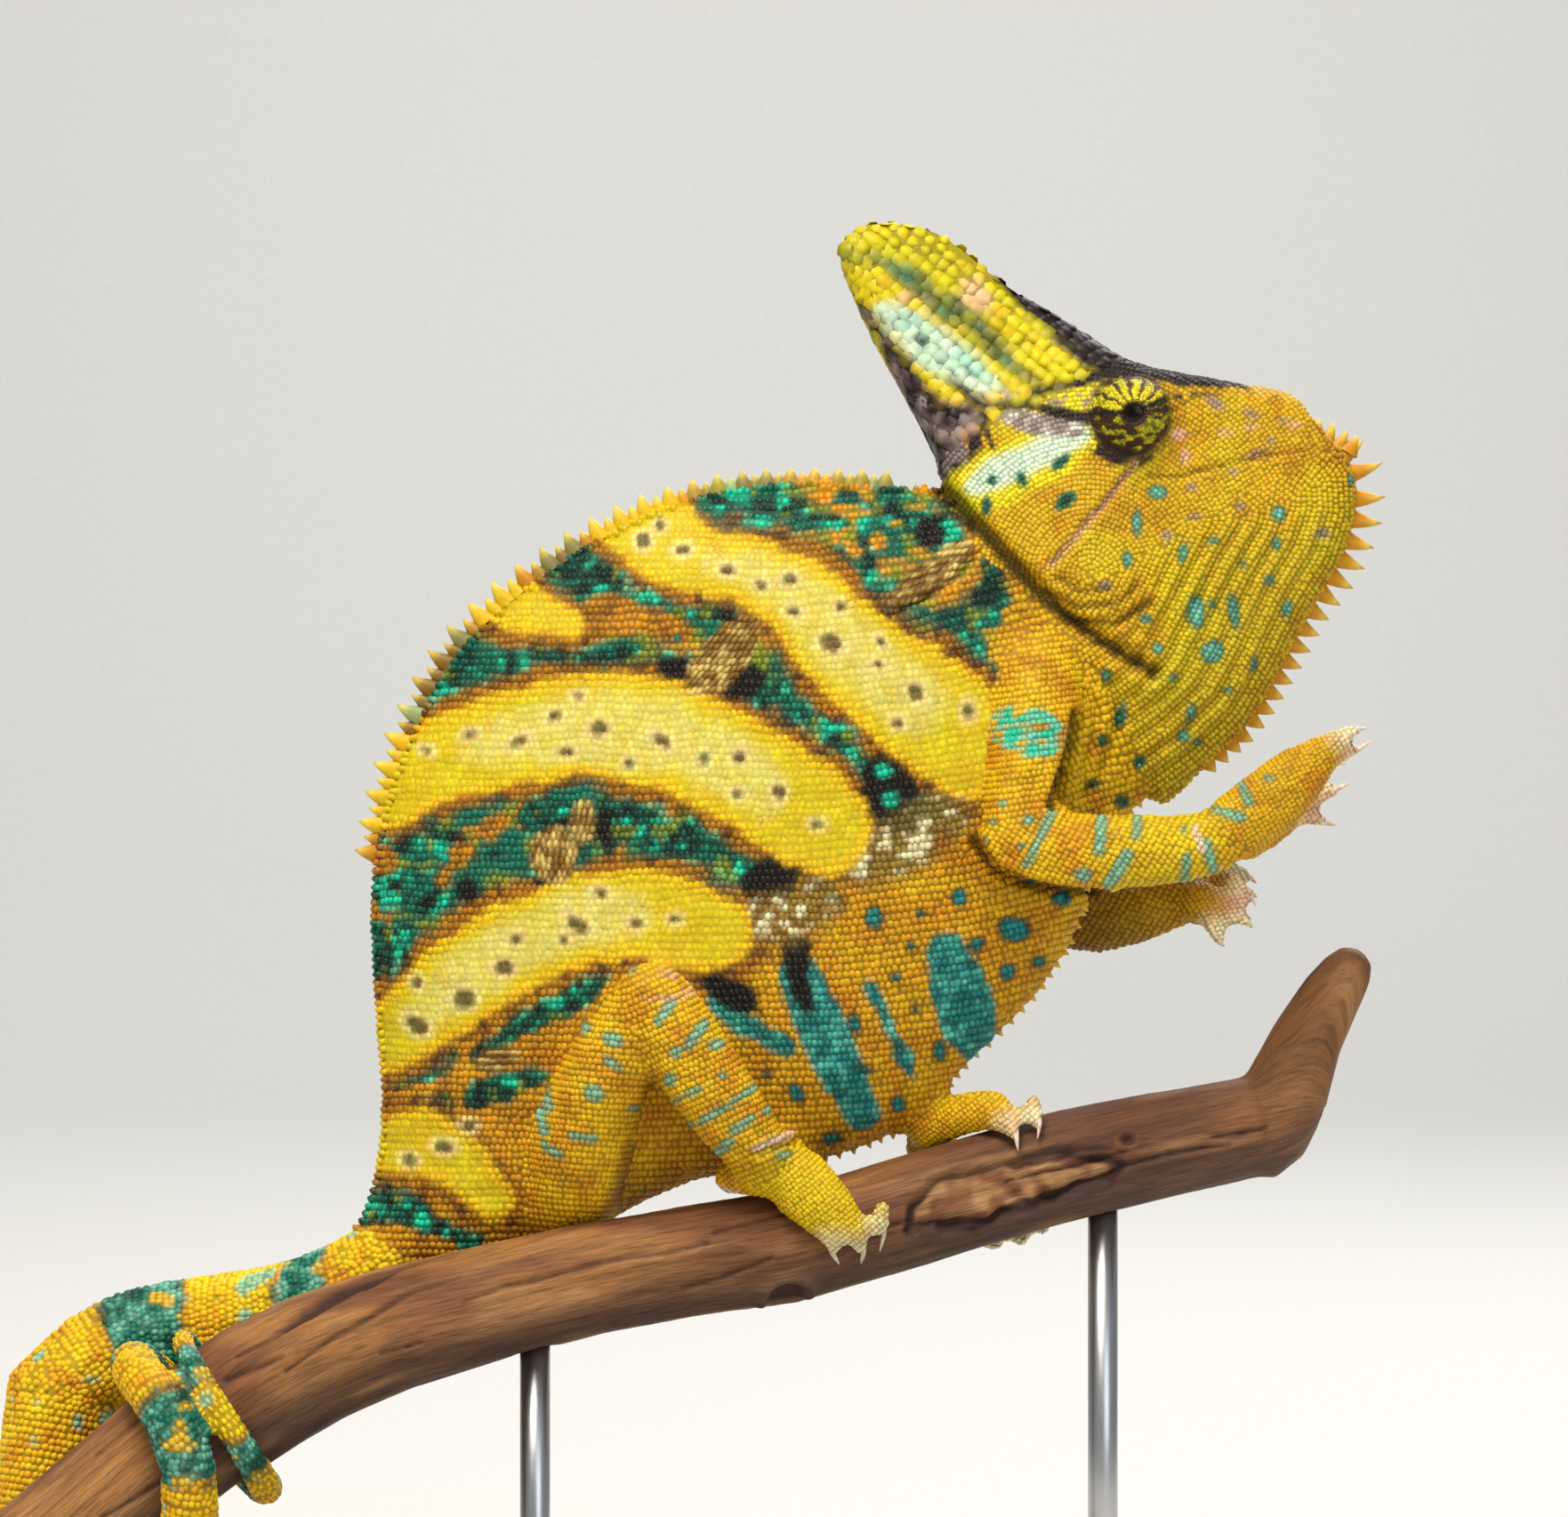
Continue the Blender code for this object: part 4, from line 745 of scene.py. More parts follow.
# %% Colour of the flank
def paint_flank(points):
    """Colour of the trunk and neck at each point."""
    xz = points[:, [0, 2]]
    wander = 1.0 * noise(points, 6, 11) + 0.7 * noise(points, 2.3, 12)
    fine, small = noise(points, 1.6, 13), noise(points, 4.5, 14)
    x, z = xz.T
    colour = mix(GOLD, GOLDEN, 0.4 + 0.5 * small) * 0.84
    colour = lay(colour, 0.5 * ramp(fine, 0, 0.8), AMBER)
    under_jaw = ramp(x, 56, 64) * ramp(-z, -244, -232)
    colour = lay(colour, under_jaw * ramp(small, -0.8, 0.0), GOLDEN * 0.9)
    rear = ramp(-x, 20, 40) * ramp(-z, -172, -160)
    colour = lay(colour, rear * ramp(small, -0.3, 0.5), AMBER)
    upper = ramp(z - 0.35 * x, 186, 196) * ramp(-x, -52, -34)
    green = mix(TEAL, MOSS, ramp(small, -0.2, 0.6))
    isle = ramp(noise(points, 8, 15), 0.1, 0.35)
    colour = lay(colour, upper * (1 - 0.75 * isle), green)
    colour = lay(colour, upper * isle * ramp(-x, 12, 30), mix(GOLD, RUST, 0.5 + 0.5 * fine))
    neck = ramp(x, -4, 4) * ramp(z, 244, 250) * ramp(-x, -50, -44)
    colour = lay(colour, neck * ramp(small, -0.1, 0.3), MOSS)
    colour = lay(colour, neck * ramp(noise(points, 5, 16), 0.15, 0.45), GOLD)
    teal = mix(DEEP, TEAL, ramp(fine + small, -0.7, 0.7))
    teal = lay(teal, 0.85 * ramp(noise(points, 2.6, 17) + 0.5 * fine, 0.2, 0.6), TURQUOISE)
    teal = lay(teal, 0.7 * ramp(noise(points, 3.1, 63), 0.35, 0.6), MOSS)
    teal = teal * (1 + 0.5 * noise(points * (1.3, 1, 1), 1.3, 64))[:, None]
    colour = lay(colour, inside(strokes(xz, TEALS) + 1.4 * wander + 0.6 * fine, 0.6), teal)
    fleck = ramp(x, 8, 14) * ramp(z, 250, 254) * ramp(-x, -38, -34)
    fleck = fleck * ramp(noise(points, 3, 65), 0.15, 0.4)
    colour = lay(colour, fleck, mix(MOSS, GOLD, 0.5 + fine))
    orange = inside(strokes(xz, ORANGES) + 1.3 * wander, 0.8)
    orange = orange * ramp(-noise(points, 2.2, 66), -0.45, -0.2)
    colour = lay(colour, orange, mix(GOLD, RUST, 0.5 + 0.6 * fine))
    belly = mix(BELLY_TEAL, BELLY_MINT, ramp(fine, -0.5, 1.0))
    belly = belly * (1 + 0.45 * noise(points * (0.5, 1, 1.8), 1.6, 67))[:, None]
    colour = lay(colour, inside(strokes(xz, BELLY_TEALS) + 0.7 * wander, 0.5), belly)
    spot = spots(xz, BELLY_SPOTS) + 0.4 * wander
    colour = lay(colour, inside(spot, 0.4), mix(BELLY_SPOT, DEEP, ramp(spot, -1.1, 0)))
    spot = spots(xz, FACE_SPOTS) + 0.35 * wander
    colour = lay(colour, inside(spot, 0.4), mix(TEAL, DEEP, ramp(spot, -1.2, 0)))
    band = strokes(xz, BANDS) + 0.9 * wander + 0.5 * fine
    margin = mix(RUST, AMBER, ramp(fine + small, -0.8, 0.3))
    margin = lay(margin, ramp(noise(points, 1.9, 20), 0.2, 0.45), BROWN) * 0.92
    colour = lay(colour, inside(band - 3.0 - 2.0 * small - 0.8 * fine, 1.4), margin)
    colour = lay(colour, inside(spots(xz, BLACKS) + 1.1 * wander, 0.6), BLACK)
    colour = lay(colour, inside(spots(xz, BEADS), 0.5), TURQUOISE)
    cream = strokes(xz, CREAM_ZONES) + wander
    colour = lay(colour, 0.8 * inside(cream - 1.4, 1.6), mix(RUST, OLIVE, 0.5 + 0.5 * small))
    colour = lay(colour, inside(cream, 1.2) * ramp(noise(points, 1.7, 18), 0.0, 0.25), CREAM)
    colour = lay(colour, inside(band - 0.5, 0.6), GOLDEN)
    colour = lay(colour, inside(band + 1.2, 0.8), mix(GOLDEN, LEMON, 0.65 + 0.4 * small) * 0.77)
    heart = strokes(xz, PALE_HEART) + 1.4 * wander
    streak = noise(points * (2.0, 1, 0.6), 2.2, 19)
    colour = lay(colour, inside(heart, 1.6) * (0.62 + 0.38 * streak), PALE * 0.8)
    spot = spots(xz, OLIVE_SPOTS) + 0.25 * wander
    colour = lay(colour, 0.8 * inside(spot - 0.9, 0.5), mix(PALE, PINK, 0.3 + 0.3 * fine))
    colour = lay(colour, inside(spot, 0.35), mix(OLIVE, BROWN, 0.4 + 0.4 * fine))
    braid = spots(xz, BRAIDS) + 0.5 * wander
    colour = lay(colour, inside(braid, 0.4), mix(BRAID, BRAID_LIGHT, ramp(fine, -0.3, 0.7)))
    # painted shadow in the fold between the head and the body
    return lay(colour, 0.85 * inside(stroke(xz, NECK_FOLD_SHADOW), 0.9), BROWN * 0.6)


# %% [markdown]
# ## Markings of the head
# A lemon casque with a black leading edge, a blotched green stripe and a mint stripe; a
# plum-spotted rear edge; black lines that meet at the eye; a golden face and throat
# pouch with turquoise spots. The lid turret has yellow rays above the pupil.

# %% Strokes and spots of the head
CASQUE_BLACK = [(44.2, 318.2, 0.4), (50.3, 312.6, 1.3), (56.3, 307, 2.2), (62.3, 301.8, 2.9),
                (67.6, 297.4, 3.4), (71.5, 295.2, 2.9), (78.8, 293.8, 2), (86.4, 292.4, 1.6),
                (94, 291.6, 1.2), (99, 290.2, 0.6)]
CASQUE_GREEN = [(18.7, 317.3, 1.5), (26.2, 316, 1.8), (31.5, 311.8, 2.3), (37.5, 307.9, 2.3),
                (42.7, 304, 2), (48, 299.6, 1.8), (51.8, 294.6, 1.8), (56.5, 292, 1.2)]
CASQUE_MINT = [(26.4, 305.4, 2.2), (31.5, 301.5, 3.7), (36.7, 297.4, 4.2), (42.2, 293.6, 3.6),
               (47, 290.6, 2)]
CASQUE_PALE = [(30, 308.6, 1), (40, 307.5, 1), (47, 307.8, 1.4), (44, 310.5, 1.2)]
REAR_PLUM = [(21.2, 306.5, 0.9), (26.6, 298.8, 1.2), (29.8, 293.4, 1.9), (32.4, 288.5, 2.9),
             (35.6, 283, 4), (38.6, 276.6, 4.2), (39.6, 270, 3.2), (41.6, 264, 2)]
REAR_ORANGE = [(22.6, 298, 1.2), (25, 293.6, 1.9), (27.8, 289, 1.9), (30, 285.4, 1.3)]
TEMPLE = [(40.2, 283, 4.6), (41, 277, 4.6), (39.8, 270.5, 3.2), (41, 265, 1.8)]
EYE_LINES = [
    [(54.2, 288.6, 0.6), (59.9, 290, 0.8), (66.2, 291.3, 1), (69, 293, 1.2)],
    [(38.4, 292.9, 0.5), (42.5, 288.8, 0.7), (46.6, 286, 0.9), (51.5, 286.7, 0.8),
     (55.8, 286.5, 0.8), (59.9, 285.1, 1), (64, 284.3, 1.1), (69, 283.2, 1.1)],
    [(46.6, 286, 0.8), (46, 282, 0.8), (47.6, 277.6, 0.6)]]
BETWEEN_LINES = [(49, 288.8, 1), (58, 288, 1.6), (69, 287.4, 2.4)]
UNDER_LINES = [(50, 284, 1.4), (56, 282.6, 2), (64, 281.6, 1.5)]
BROW = [[(66.8, 291.4, 1), (71.3, 293.8, 2), (78.8, 293.8, 2.2), (86.4, 292, 2), (94, 291, 1)],
        [(83.5, 287.5, 1), (88, 288.8, 0.7), (92.5, 288.5, 0.3)],
        [(67.5, 278, 0.8), (71.5, 275.6, 1.3), (77, 275.4, 1.4), (82.5, 279.5, 0.9)],
        [(83.6, 285.6, 0.5), (86.5, 288.2, 0.5)], [(84, 283.4, 0.6), (85, 280.6, 0.5)]]
CHEEK_YELLOW = [(42.5, 269, 5), (48.2, 272, 6), (53.5, 274.5, 6), (60, 277, 5),
                (65.5, 279.8, 3)]
CHEEK_MINT = [(43.9, 270.4, 2), (48.2, 273, 3), (53.5, 275.2, 3.1), (59.9, 278, 2.6),
              (65.1, 280.2, 1.7)]
HEAD_TEALS = [
    (43.3, 293.4, 0.8, 1.9, 50), (33.4, 299.6, 1.6, 1.1, -40), (37, 295.4, 0.6, 0.9, 0),
    (47.3, 271.3, 1, 1, 0), (53.3, 271.3, 1, 1.8, 25), (61.1, 274.9, 2.5, 1.1, 40),
    (46.2, 266, 1.2, 1.8, 0), (62, 266.9, 2.7, 1.5, 40)]
FACE_SPOTS = [  # turquoise spots of the face and the throat pouch
    (80.5, 268.9, 2.1, 1.4, 0), (76.3, 262.5, 0.9, 2.6, 0), (74.2, 255.1, 1.1, 2, 0),
    (85.6, 256.6, 0.9, 2, -10), (91.8, 259.1, 1.4, 0.9, 0), (105.2, 264.7, 1.6, 1.8, 20),
    (104.5, 258.7, 1.2, 1.5, 0), (97.7, 254.4, 0.8, 1, 0), (103.2, 251.3, 1, 1, 0),
    (88.3, 244.8, 1.9, 3.6, 5), (91.6, 246.4, 0.9, 0.9, 0), (95.9, 245.3, 1.3, 3.4, 10),
    (107, 245.7, 1.1, 1.8, -20), (91.6, 237, 2.7, 2.3, 20), (78.1, 243.5, 1.4, 0.9, -20),
    (80.6, 237.5, 1.1, 1, 0), (60.8, 236.4, 2.2, 1.7, -35), (100.4, 234.6, 0.8, 1.6, -10),
    (70.2, 232.3, 1.2, 1.3, 0), (83.6, 231.8, 1.1, 0.9, 0), (73.3, 224.1, 1.2, 2.7, -15),
    (69.7, 219, 1.3, 1.6, 0), (87.6, 224.6, 0.9, 2, -15), (86, 220, 1.3, 1.2, 0),
    (88.9, 218.8, 1.3, 0.9, -20), (77.1, 215, 1.4, 1.4, 0), (67.8, 210.3, 2.1, 1.2, 15),
    (73.8, 206.8, 1.9, 1.4, -20), (94.7, 229.3, 1.3, 0.8, -20), (58, 229, 1.4, 1, 0),
    (120, 271.5, 0.7, 1.1, 0)]
FACE_GREYS = [  # grey and pink flecks of the snout and cheek
    (92.2, 287, 2, 1.1, -30), (100.6, 276.9, 2.5, 0.8, 20), (103.6, 279.5, 1.1, 0.7, 0),
    (114.3, 260.8, 1.4, 1.1, 10), (82.3, 260, 1.1, 1, 0), (96, 273, 0.9, 0.7, 0),
    (87.5, 270, 1, 0.7, 0), (106, 283.5, 1, 0.6, 0), (100, 284.6, 1.1, 0.6, -20),
    (69.6, 250, 1.2, 0.9, 0), (88, 264, 1.1, 0.6, 0), (97, 266, 0.8, 0.7, 0)]
FACE_PINKS = [(84.5, 280.6, 2.3, 1.2, 0), (99.2, 282, 1, 0.6, 0), (86, 276, 0.9, 1.4, 0),
              (78.6, 279.4, 3, 1.5, 35), (108.5, 282.5, 1.4, 0.6, 0), (95, 281, 1.2, 0.5, 0)]
print("spots of the head", len(HEAD_TEALS + FACE_SPOTS + FACE_GREYS + FACE_PINKS))


# %% Colour of the lids
def paint_turret(points, colour):
    """Lays the markings of the lids over the head's colour."""
    for centre in EYE.values():
        out = 1 if centre[1] > 0 else -1
        off = points - centre
        x, z = off[:, 0], off[:, 2]
        away = np.hypot(x, z)
        turn = np.degrees(np.arctan2(z, x))
        fine = noise(points, 0.9, 31)
        here = ramp(-away + 0.5 * fine, -9.6, -8.2) * (off[:, 1] * out > -2.5)
        turn = turn + 5 * noise(points, 1.6, 34)
        lid = mix(PLUM, BROWN * 0.8, 0.3 + 0.3 * noise(points, 1.5, 32))
        yellow = mix(LEMON * 0.85, MOSS, ramp(fine + 0.16 * away, 0.9, 2.0))
        ray = ramp(np.cos(np.radians(turn - 83) * 14), -0.75, -0.35)
        fan = ray * ramp(turn, 12, 17) * ramp(-turn, -179, -174) * ramp(away, 2.1, 2.6)
        reach = 7.4 + 1.8 * ramp(turn, 128, 150)
        lid = lay(lid, fan * ramp(reach - away - 0.8 * fine, -0.7, 0.7), yellow)
        below = ramp(-turn, -3, 3) * ramp(turn, -178, -170) * ramp(away, 2.7, 3.3)
        net = ramp(noise(points * (0.8, 1, 2.2), 1.5, 33) + 0.25 * ramp(x, 0, 3), -0.05, 0.25)
        olive = mix(LEMON * 0.7, MOSS, 0.5 + fine)
        lid = lay(lid, below * net * ramp(-away - fine, -7.7, -6.4), olive)
        bar = np.abs(z - np.where(x > 0, 0.5, -0.04) * x) - 0.55 - 0.2 * fine
        lid = lay(lid, inside(bar, 0.3) * (away > 1), BLACK)
        rim = inside(np.abs(away - 7.9) - 0.45 + 0.4 * fine, 0.4)
        lid = lay(lid, 0.7 * rim * ramp(-np.abs(turn + 95), -85, -45), BLACK)
        front = inside(np.abs(away - 9.1) - 1.2 + 0.4 * fine, 0.7)
        front = front * ramp(-np.abs(turn + 8), -75, -40)
        lid = lay(lid, 0.85 * front, FACE_GOLD * 0.9)
        colour = lay(colour, here, lid)
    return colour


# %% Colour of the head
def paint_head(points):
    """Colour of the head, casque and throat at each point."""
    xz = points[:, [0, 2]]
    x, z = xz.T
    wander = 0.7 * noise(points, 4, 21) + 0.45 * noise(points, 1.6, 22)
    fine, small = noise(points, 1.3, 23), noise(points, 4, 24)
    colour = mix(FACE_GOLD, FACE_DEEP, ramp(small + 0.5 * fine, -0.1, 1.1))
    colour = lay(colour, 0.5 * ramp(noise(points, 9, 25), 0, 0.6), LEMON * 0.8)
    hem = ramp(-from_line(xz, BEARD), -7, -1)
    pouch = ramp(x - 0.5 * z, -44, -30) * ramp(-z, -268, -256)
    colour = lay(colour, 0.38 * pouch, MOSS * 1.25 + GOLDEN * 0.4)
    colour = lay(colour, 0.55 * hem * ramp(fine, -0.6, 0.5) * ramp(x, 78, 84), AMBER)
    lemon = ramp(z + 0.35 * x, 299, 305) * ramp(-x, -76, -66)
    colour = lay(colour, lemon, mix(LEMON, GOLDEN, ramp(fine + small, 0.1, 1.4)) * 0.73)
    colour = lay(colour, 0.7 * inside(stroke(xz, CASQUE_PALE) + 2 * wander, 0.8), PINK * 1.1)
    green = mix(OLIVE, MOSS, ramp(fine, -0.3, 0.5))
    green = lay(green, ramp(x, 30, 38) * ramp(noise(points, 3, 26), -0.3, 0.3), DEEP)
    green = lay(green, 0.7 * ramp(noise(points, 2.4, 27), 0.2, 0.6), TEAL)
    colour = lay(colour, inside(stroke(xz, CASQUE_GREEN) + 1.5 * wander, 1.0), green)
    mint = mix(MINT * 0.8, AQUA, 0.6 * ramp(noise(points, 3.6, 28), 0, 0.7))
    colour = lay(colour, inside(stroke(xz, CASQUE_MINT) + 1.1 * wander, 1.1), mint)
    black = mix(PLUM, BLACK, 0.5 + 0.5 * fine)
    colour = lay(colour, inside(stroke(xz, CASQUE_BLACK) + 0.5 * wander, 0.5), black)
    top = ramp(-np.abs(points[:, 1]), -3.2, -2) * ramp(x, 52, 60) * ramp(-x, -104, -94)
    colour = lay(colour, top * ramp(z, 288, 290), black)
    colour = lay(colour, inside(stroke(xz, TEMPLE) + wander, 0.8), mix(MAUVE, PINK, 0.3 * fine))
    colour = lay(colour, inside(spots(xz, [(43, 279, 2.8, 2.6, 0)]) + wander, 0.9), GOLD)
    blotch = ramp(noise(points, 2.6, 29), -0.1, 0.15)
    colour = lay(colour, blotch * inside(stroke(xz, TEMPLE) - 0.4 + wander, 0.6), black)
    colour = lay(colour, inside(stroke(xz, REAR_ORANGE) + 0.5 * wander, 0.6), GOLD)
    rear = inside(stroke(xz, REAR_PLUM) + 0.8 * wander, 0.5)
    mottle = lay(black, ramp(-noise(points, 2.4, 30), 0.05, 0.35), MAUVE * 0.8)
    colour = lay(colour, rear, mottle)
    colour = lay(colour, inside(stroke(xz, CHEEK_YELLOW) + wander, 1), LEMON)
    colour = lay(colour, inside(stroke(xz, CHEEK_MINT) + 0.8 * wander, 0.8), MINT)
    between = inside(stroke(xz, BETWEEN_LINES), 0.4)
    colour = lay(colour, between, mix(LEMON, MAUVE, ramp(fine, 0, 0.8)))
    under = inside(stroke(xz, UNDER_LINES) + wander, 0.5)
    colour = lay(colour, under, mix(MAUVE, WHITE, ramp(fine, -0.2, 0.9)))
    brow = inside(strokes(xz, BROW) + 0.7 * wander, 0.5)
    colour = lay(colour, brow * ramp(-noise(points, 1.7, 36), -0.45, -0.15), black)
    colour = lay(colour, inside(strokes(xz, EYE_LINES) + 0.3 * wander, 0.3), black)
    spot = spots(xz, HEAD_TEALS) + 0.3 * wander
    colour = lay(colour, inside(spot, 0.3), mix(DEEP, TEAL, ramp(spot, -1.5, 0)))
    spot = spots(xz, FACE_SPOTS) + 0.35 * wander
    colour = lay(colour, inside(spot, 0.4), mix(AQUA, TEAL, ramp(spot, -1.2, 0)))
    colour = lay(colour, 0.8 * inside(spots(xz, FACE_GREYS) + 0.5 * wander, 0.5), MAUVE)
    colour = lay(colour, 0.8 * inside(spots(xz, FACE_PINKS) + 0.5 * wander, 0.5), PINK)
    # Painted shade in the creases: brown in the pink jaw line, under the jaw, along the mouth and
    # behind the head.
    away = {name: from_line(xz, row[3]) for name, row in CREASES.items()}
    colour = lay(colour, 0.75 * inside(away["jaw"] - 0.55, 0.35), mix(PINK, BROWN, 0.5 * fine))
    for name in ("under_jaw_1", "under_jaw_2", "under_jaw_3"):
        colour = lay(colour, 0.7 * inside(away[name] - 0.5, 0.6), BROWN)
    mouth = inside(away["mouth"] - 0.3, 0.4) * ramp(fine, -0.4, 0.3)
    colour = lay(colour, 0.6 * mouth, BROWN)
    colour = lay(colour, 0.8 * inside(away["neck"] - 0.7, 0.8), BROWN * 0.6)
    return paint_turret(points, colour)


# %% [markdown]
# ## Markings of the limbs and the tail
# The legs are orange-gold with short pale teal streaks; the hands and feet fade to pale
# pink at the toes. The tail is ringed with yellow and teal bands.

# %% Strokes and spots of the limbs and the bands of the tail
ARM_STREAKS = [
    [(58.6, 204.8, 0.9), (55.1, 197.8, 0.8)], [(55.1, 197.3, 0.8), (53.3, 194.3, 0.7)],
    [(68.6, 203.9, 1.1), (67.8, 197.3, 1.2)], [(73.4, 196.5, 1.4), (69.9, 190.8, 1.4)],
    [(85.2, 196, 0.8), (84.9, 191.3, 0.9)], [(89, 199, 1.1), (90.8, 193.4, 0.9)],
    [(96, 211, 1), (97.4, 207, 1.1)], [(91, 205.4, 0.8), (96, 203.8, 1.1)],
    [(75.6, 203.6, 0.8), (75.2, 200, 0.8)]]
ARM_SPOTS = [(49, 206.5, 1, 0.9, 0), (53.8, 203.2, 1.2, 1, 0), (52.5, 198.3, 1, 0.9, 0),
             (64.8, 192.5, 1.8, 1.5, 10), (101.6, 211.7, 1, 0.8, 0), (84.7, 201.3, 0.8, 1, 0),
             (47, 203, 0.8, 0.7, 0), (45.5, 199.5, 0.8, 0.8, 0)]
LEG_STREAKS = [
    [(-19.2, 163.6, 1), (-16.4, 167.4, 1.1)], [(-13.2, 159.2, 1.1), (-10, 163.2, 1.2)],
    [(-10.7, 143.8, 0.8), (0.2, 150.8, 0.8)], [(-4.6, 142, 0.8), (-0.6, 144.6, 0.9)],
    [(-8, 137.2, 1), (-5, 139.8, 1.1)], [(-42, 151, 0.9), (-41, 146, 1.1)],
    [(-43.8, 148, 0.9), (-42, 141.4, 1.3)], [(-36.4, 140.6, 0.9), (-32, 140.2, 0.8)],
    [(-16.4, 147.6, 0.6), (-11, 150.4, 0.6)], [(-42, 138.8, 0.9), (-38.8, 136.6, 0.9)]]
LEG_SPOTS = [
    (-25, 174.2, 1.4, 1.1, 0), (-15.7, 157.6, 1.6, 1.2, 30), (-7.5, 159.1, 1.7, 1.1, 10),
    (-16.9, 152.2, 1.2, 1.6, 0), (-13.3, 142.8, 1.4, 1.2, 0), (2.3, 145.9, 1.4, 0.9, 20),
    (-6.4, 153.2, 0.9, 0.8, 0), (-28.1, 160, 2.1, 1.5, -25), (-28.1, 155.3, 2.7, 1, -40),
    (-31.9, 149.5, 2.1, 1.7, -10), (-31.9, 166.8, 1.2, 1.3, 0), (-34, 162.1, 1.5, 1.2, 0),
    (5.6, 137, 2.2, 0.9, 10), (-24, 146, 1.2, 0.8, 0), (-22, 133.6, 2, 0.9, 10)]
TAIL_BANDS = [  # where each band ends, and whether it is teal
    (4, 1), (20, 0), (32, 1), (52.5, 0), (70, 1), (113, 0), (136, 1), (152, 0), (172, 1),
    (190, 0), (206, 1), (222, 0), (236, 1), (250, 0), (262, 1), (274, 0), (285, 1), (296, 0),
    (306, 1), (316, 0), (326, 1), (336, 0), (345, 1), (400, 0)]
SHOULDER_PATCH, KNEE_PATCH = (54.2, 220.8, 7.8, 4.9, -12), (-15.2, 171.4, 6.5, 3.4, 15)
HAM_SHADE = [(-20.4, 152.6, 0.6), (-22.4, 142, 1.8), (-26.4, 128, 2.4)]
FOLD_LINES = [[(-0.3, 138.4, 0.5), (4, 140, 0.7), (8, 140.6, 0.4)],   # ankle, heel and wrist
              [(-9.7, 130.2, 0.9), (-3.6, 128.6, 0.7)], [(86.8, 201.8, 0.6), (88.2, 197.6, 0.6)]]
print("tail bands", len(TAIL_BANDS), "limb strokes", len(ARM_STREAKS + LEG_STREAKS))


# %% Colour of the limbs
def paint_limb(points, pale):
    """Colour of the limbs; pale is the share of bare, pale skin at the toes."""
    xz = points[:, [0, 2]]
    x, z = xz.T
    wander = 0.5 * noise(points, 3, 41) + 0.3 * noise(points, 1.3, 42)
    fine, small = noise(points, 1.4, 43), noise(points, 5, 44)
    colour = mix(GOLD, GOLDEN, ramp(small + 0.4 * fine, -0.9, 0.4))
    colour = lay(colour, 0.45 * ramp(noise(points * (1, 1, 2), 4, 45), 0.05, 0.6), AMBER)
    toes = np.maximum(ramp(-z, -146, -130) * ramp(x, -6, 6),
                      ramp(x, 60, 80) * ramp(-x, -96, -88))
    colour = lay(colour, 0.5 * toes, LEMON * 0.9)
    colour = lay(colour, 0.3 * ramp(x, 92, 100), AMBER) * 0.94
    # painted shade: the far hand is turned browner, darkest towards its lower back edge
    far_hand_shade = ramp(points[:, 1], 2, 6) * ramp(x, 56, 62)
    colour = lay(colour, 0.7 * far_hand_shade, mix(BROWN, AMBER, ramp(x + 0.6 * z, 178, 196)))
    streak = strokes(xz, ARM_STREAKS + LEG_STREAKS)
    spot = np.minimum(streak, spots(xz, ARM_SPOTS + LEG_SPOTS)) + 0.6 * wander
    colour = lay(colour, 0.85 * inside(spot, 0.35), mix(AQUA, TEAL, ramp(spot, -1.2, 0.3)))
    patch = inside(spots(xz, [SHOULDER_PATCH]) + 0.8 * wander, 0.4)
    slant = points @ np.array([[0.7, 0, 0.7], [0, 1, 0], [-1.6, 0, 1.6]])
    weave = ramp(noise(slant, 2.6, 46), -0.35, 0.1)
    colour = lay(colour, patch * weave, mix(TURQUOISE, AQUA, ramp(fine, -0.5, 0.8)))
    knee = inside(spots(xz, [KNEE_PATCH]) + wander, 1)
    colour = lay(colour, 0.6 * knee * ramp(noise(points * (0.6, 1, 2), 3, 47), -0.2, 0.3), PINK)
    colour = lay(colour, 0.75 * inside(stroke(xz, HAM_SHADE), 1.6), BROWN)
    for line in FOLD_LINES:
        fold = inside(stroke(xz, line) + 0.3 * wander, 0.4)
        colour = lay(colour, fold, mix(PINK, WHITE, 0.4 + 0.3 * fine))
    return lay(colour, pale, mix(TOE_CREAM, PINK, ramp(small, 0.0, 0.9)))


# %% Colour of the tail and of every part
def paint_tail(points):
    """Colour of the tail from the distance along it."""
    gone = along_tail(points)
    fine, small = noise(points, 1.4, 51), noise(points, 4, 52)
    gone = gone + 2.2 * noise(points, 7, 53) + 0.8 * fine
    ends = np.array([row[0] for row in TAIL_BANDS], float)
    at = np.clip(np.searchsorted(ends, gone), 0, len(ends) - 1)
    is_teal = np.array([row[1] for row in TAIL_BANDS])[at]
    yellow = mix(GOLDEN, GOLD, ramp(fine + small, -0.1, 1.2))
    yellow = lay(yellow, 0.6 * ramp(noise(points, 6, 54), 0, 0.6), LEMON)
    yellow = lay(yellow, 0.8 * ramp(noise(points, 4.2, 55), 0.42, 0.55), AQUA)
    teal = mix(TEAL, AQUA, ramp(fine + 0.6 * small, -0.5, 0.9))
    teal = lay(teal, 0.7 * ramp(noise(points, 3, 56), 0.1, 0.5), DEEP)
    teal = lay(teal, 0.8 * ramp(noise(points, 3.4, 57), 0.42, 0.55), GOLDEN)
    colour = np.where(is_teal[:, None] > 0, teal, yellow)
    edge = np.abs(gone[:, None] - ends).min(axis=1)
    return lay(colour, 0.5 * ramp(-edge, -1.4, -0.4), AMBER)


LIMB_PARTS = ("arm", "forearm", "thigh", "shin", "hand", "foot")


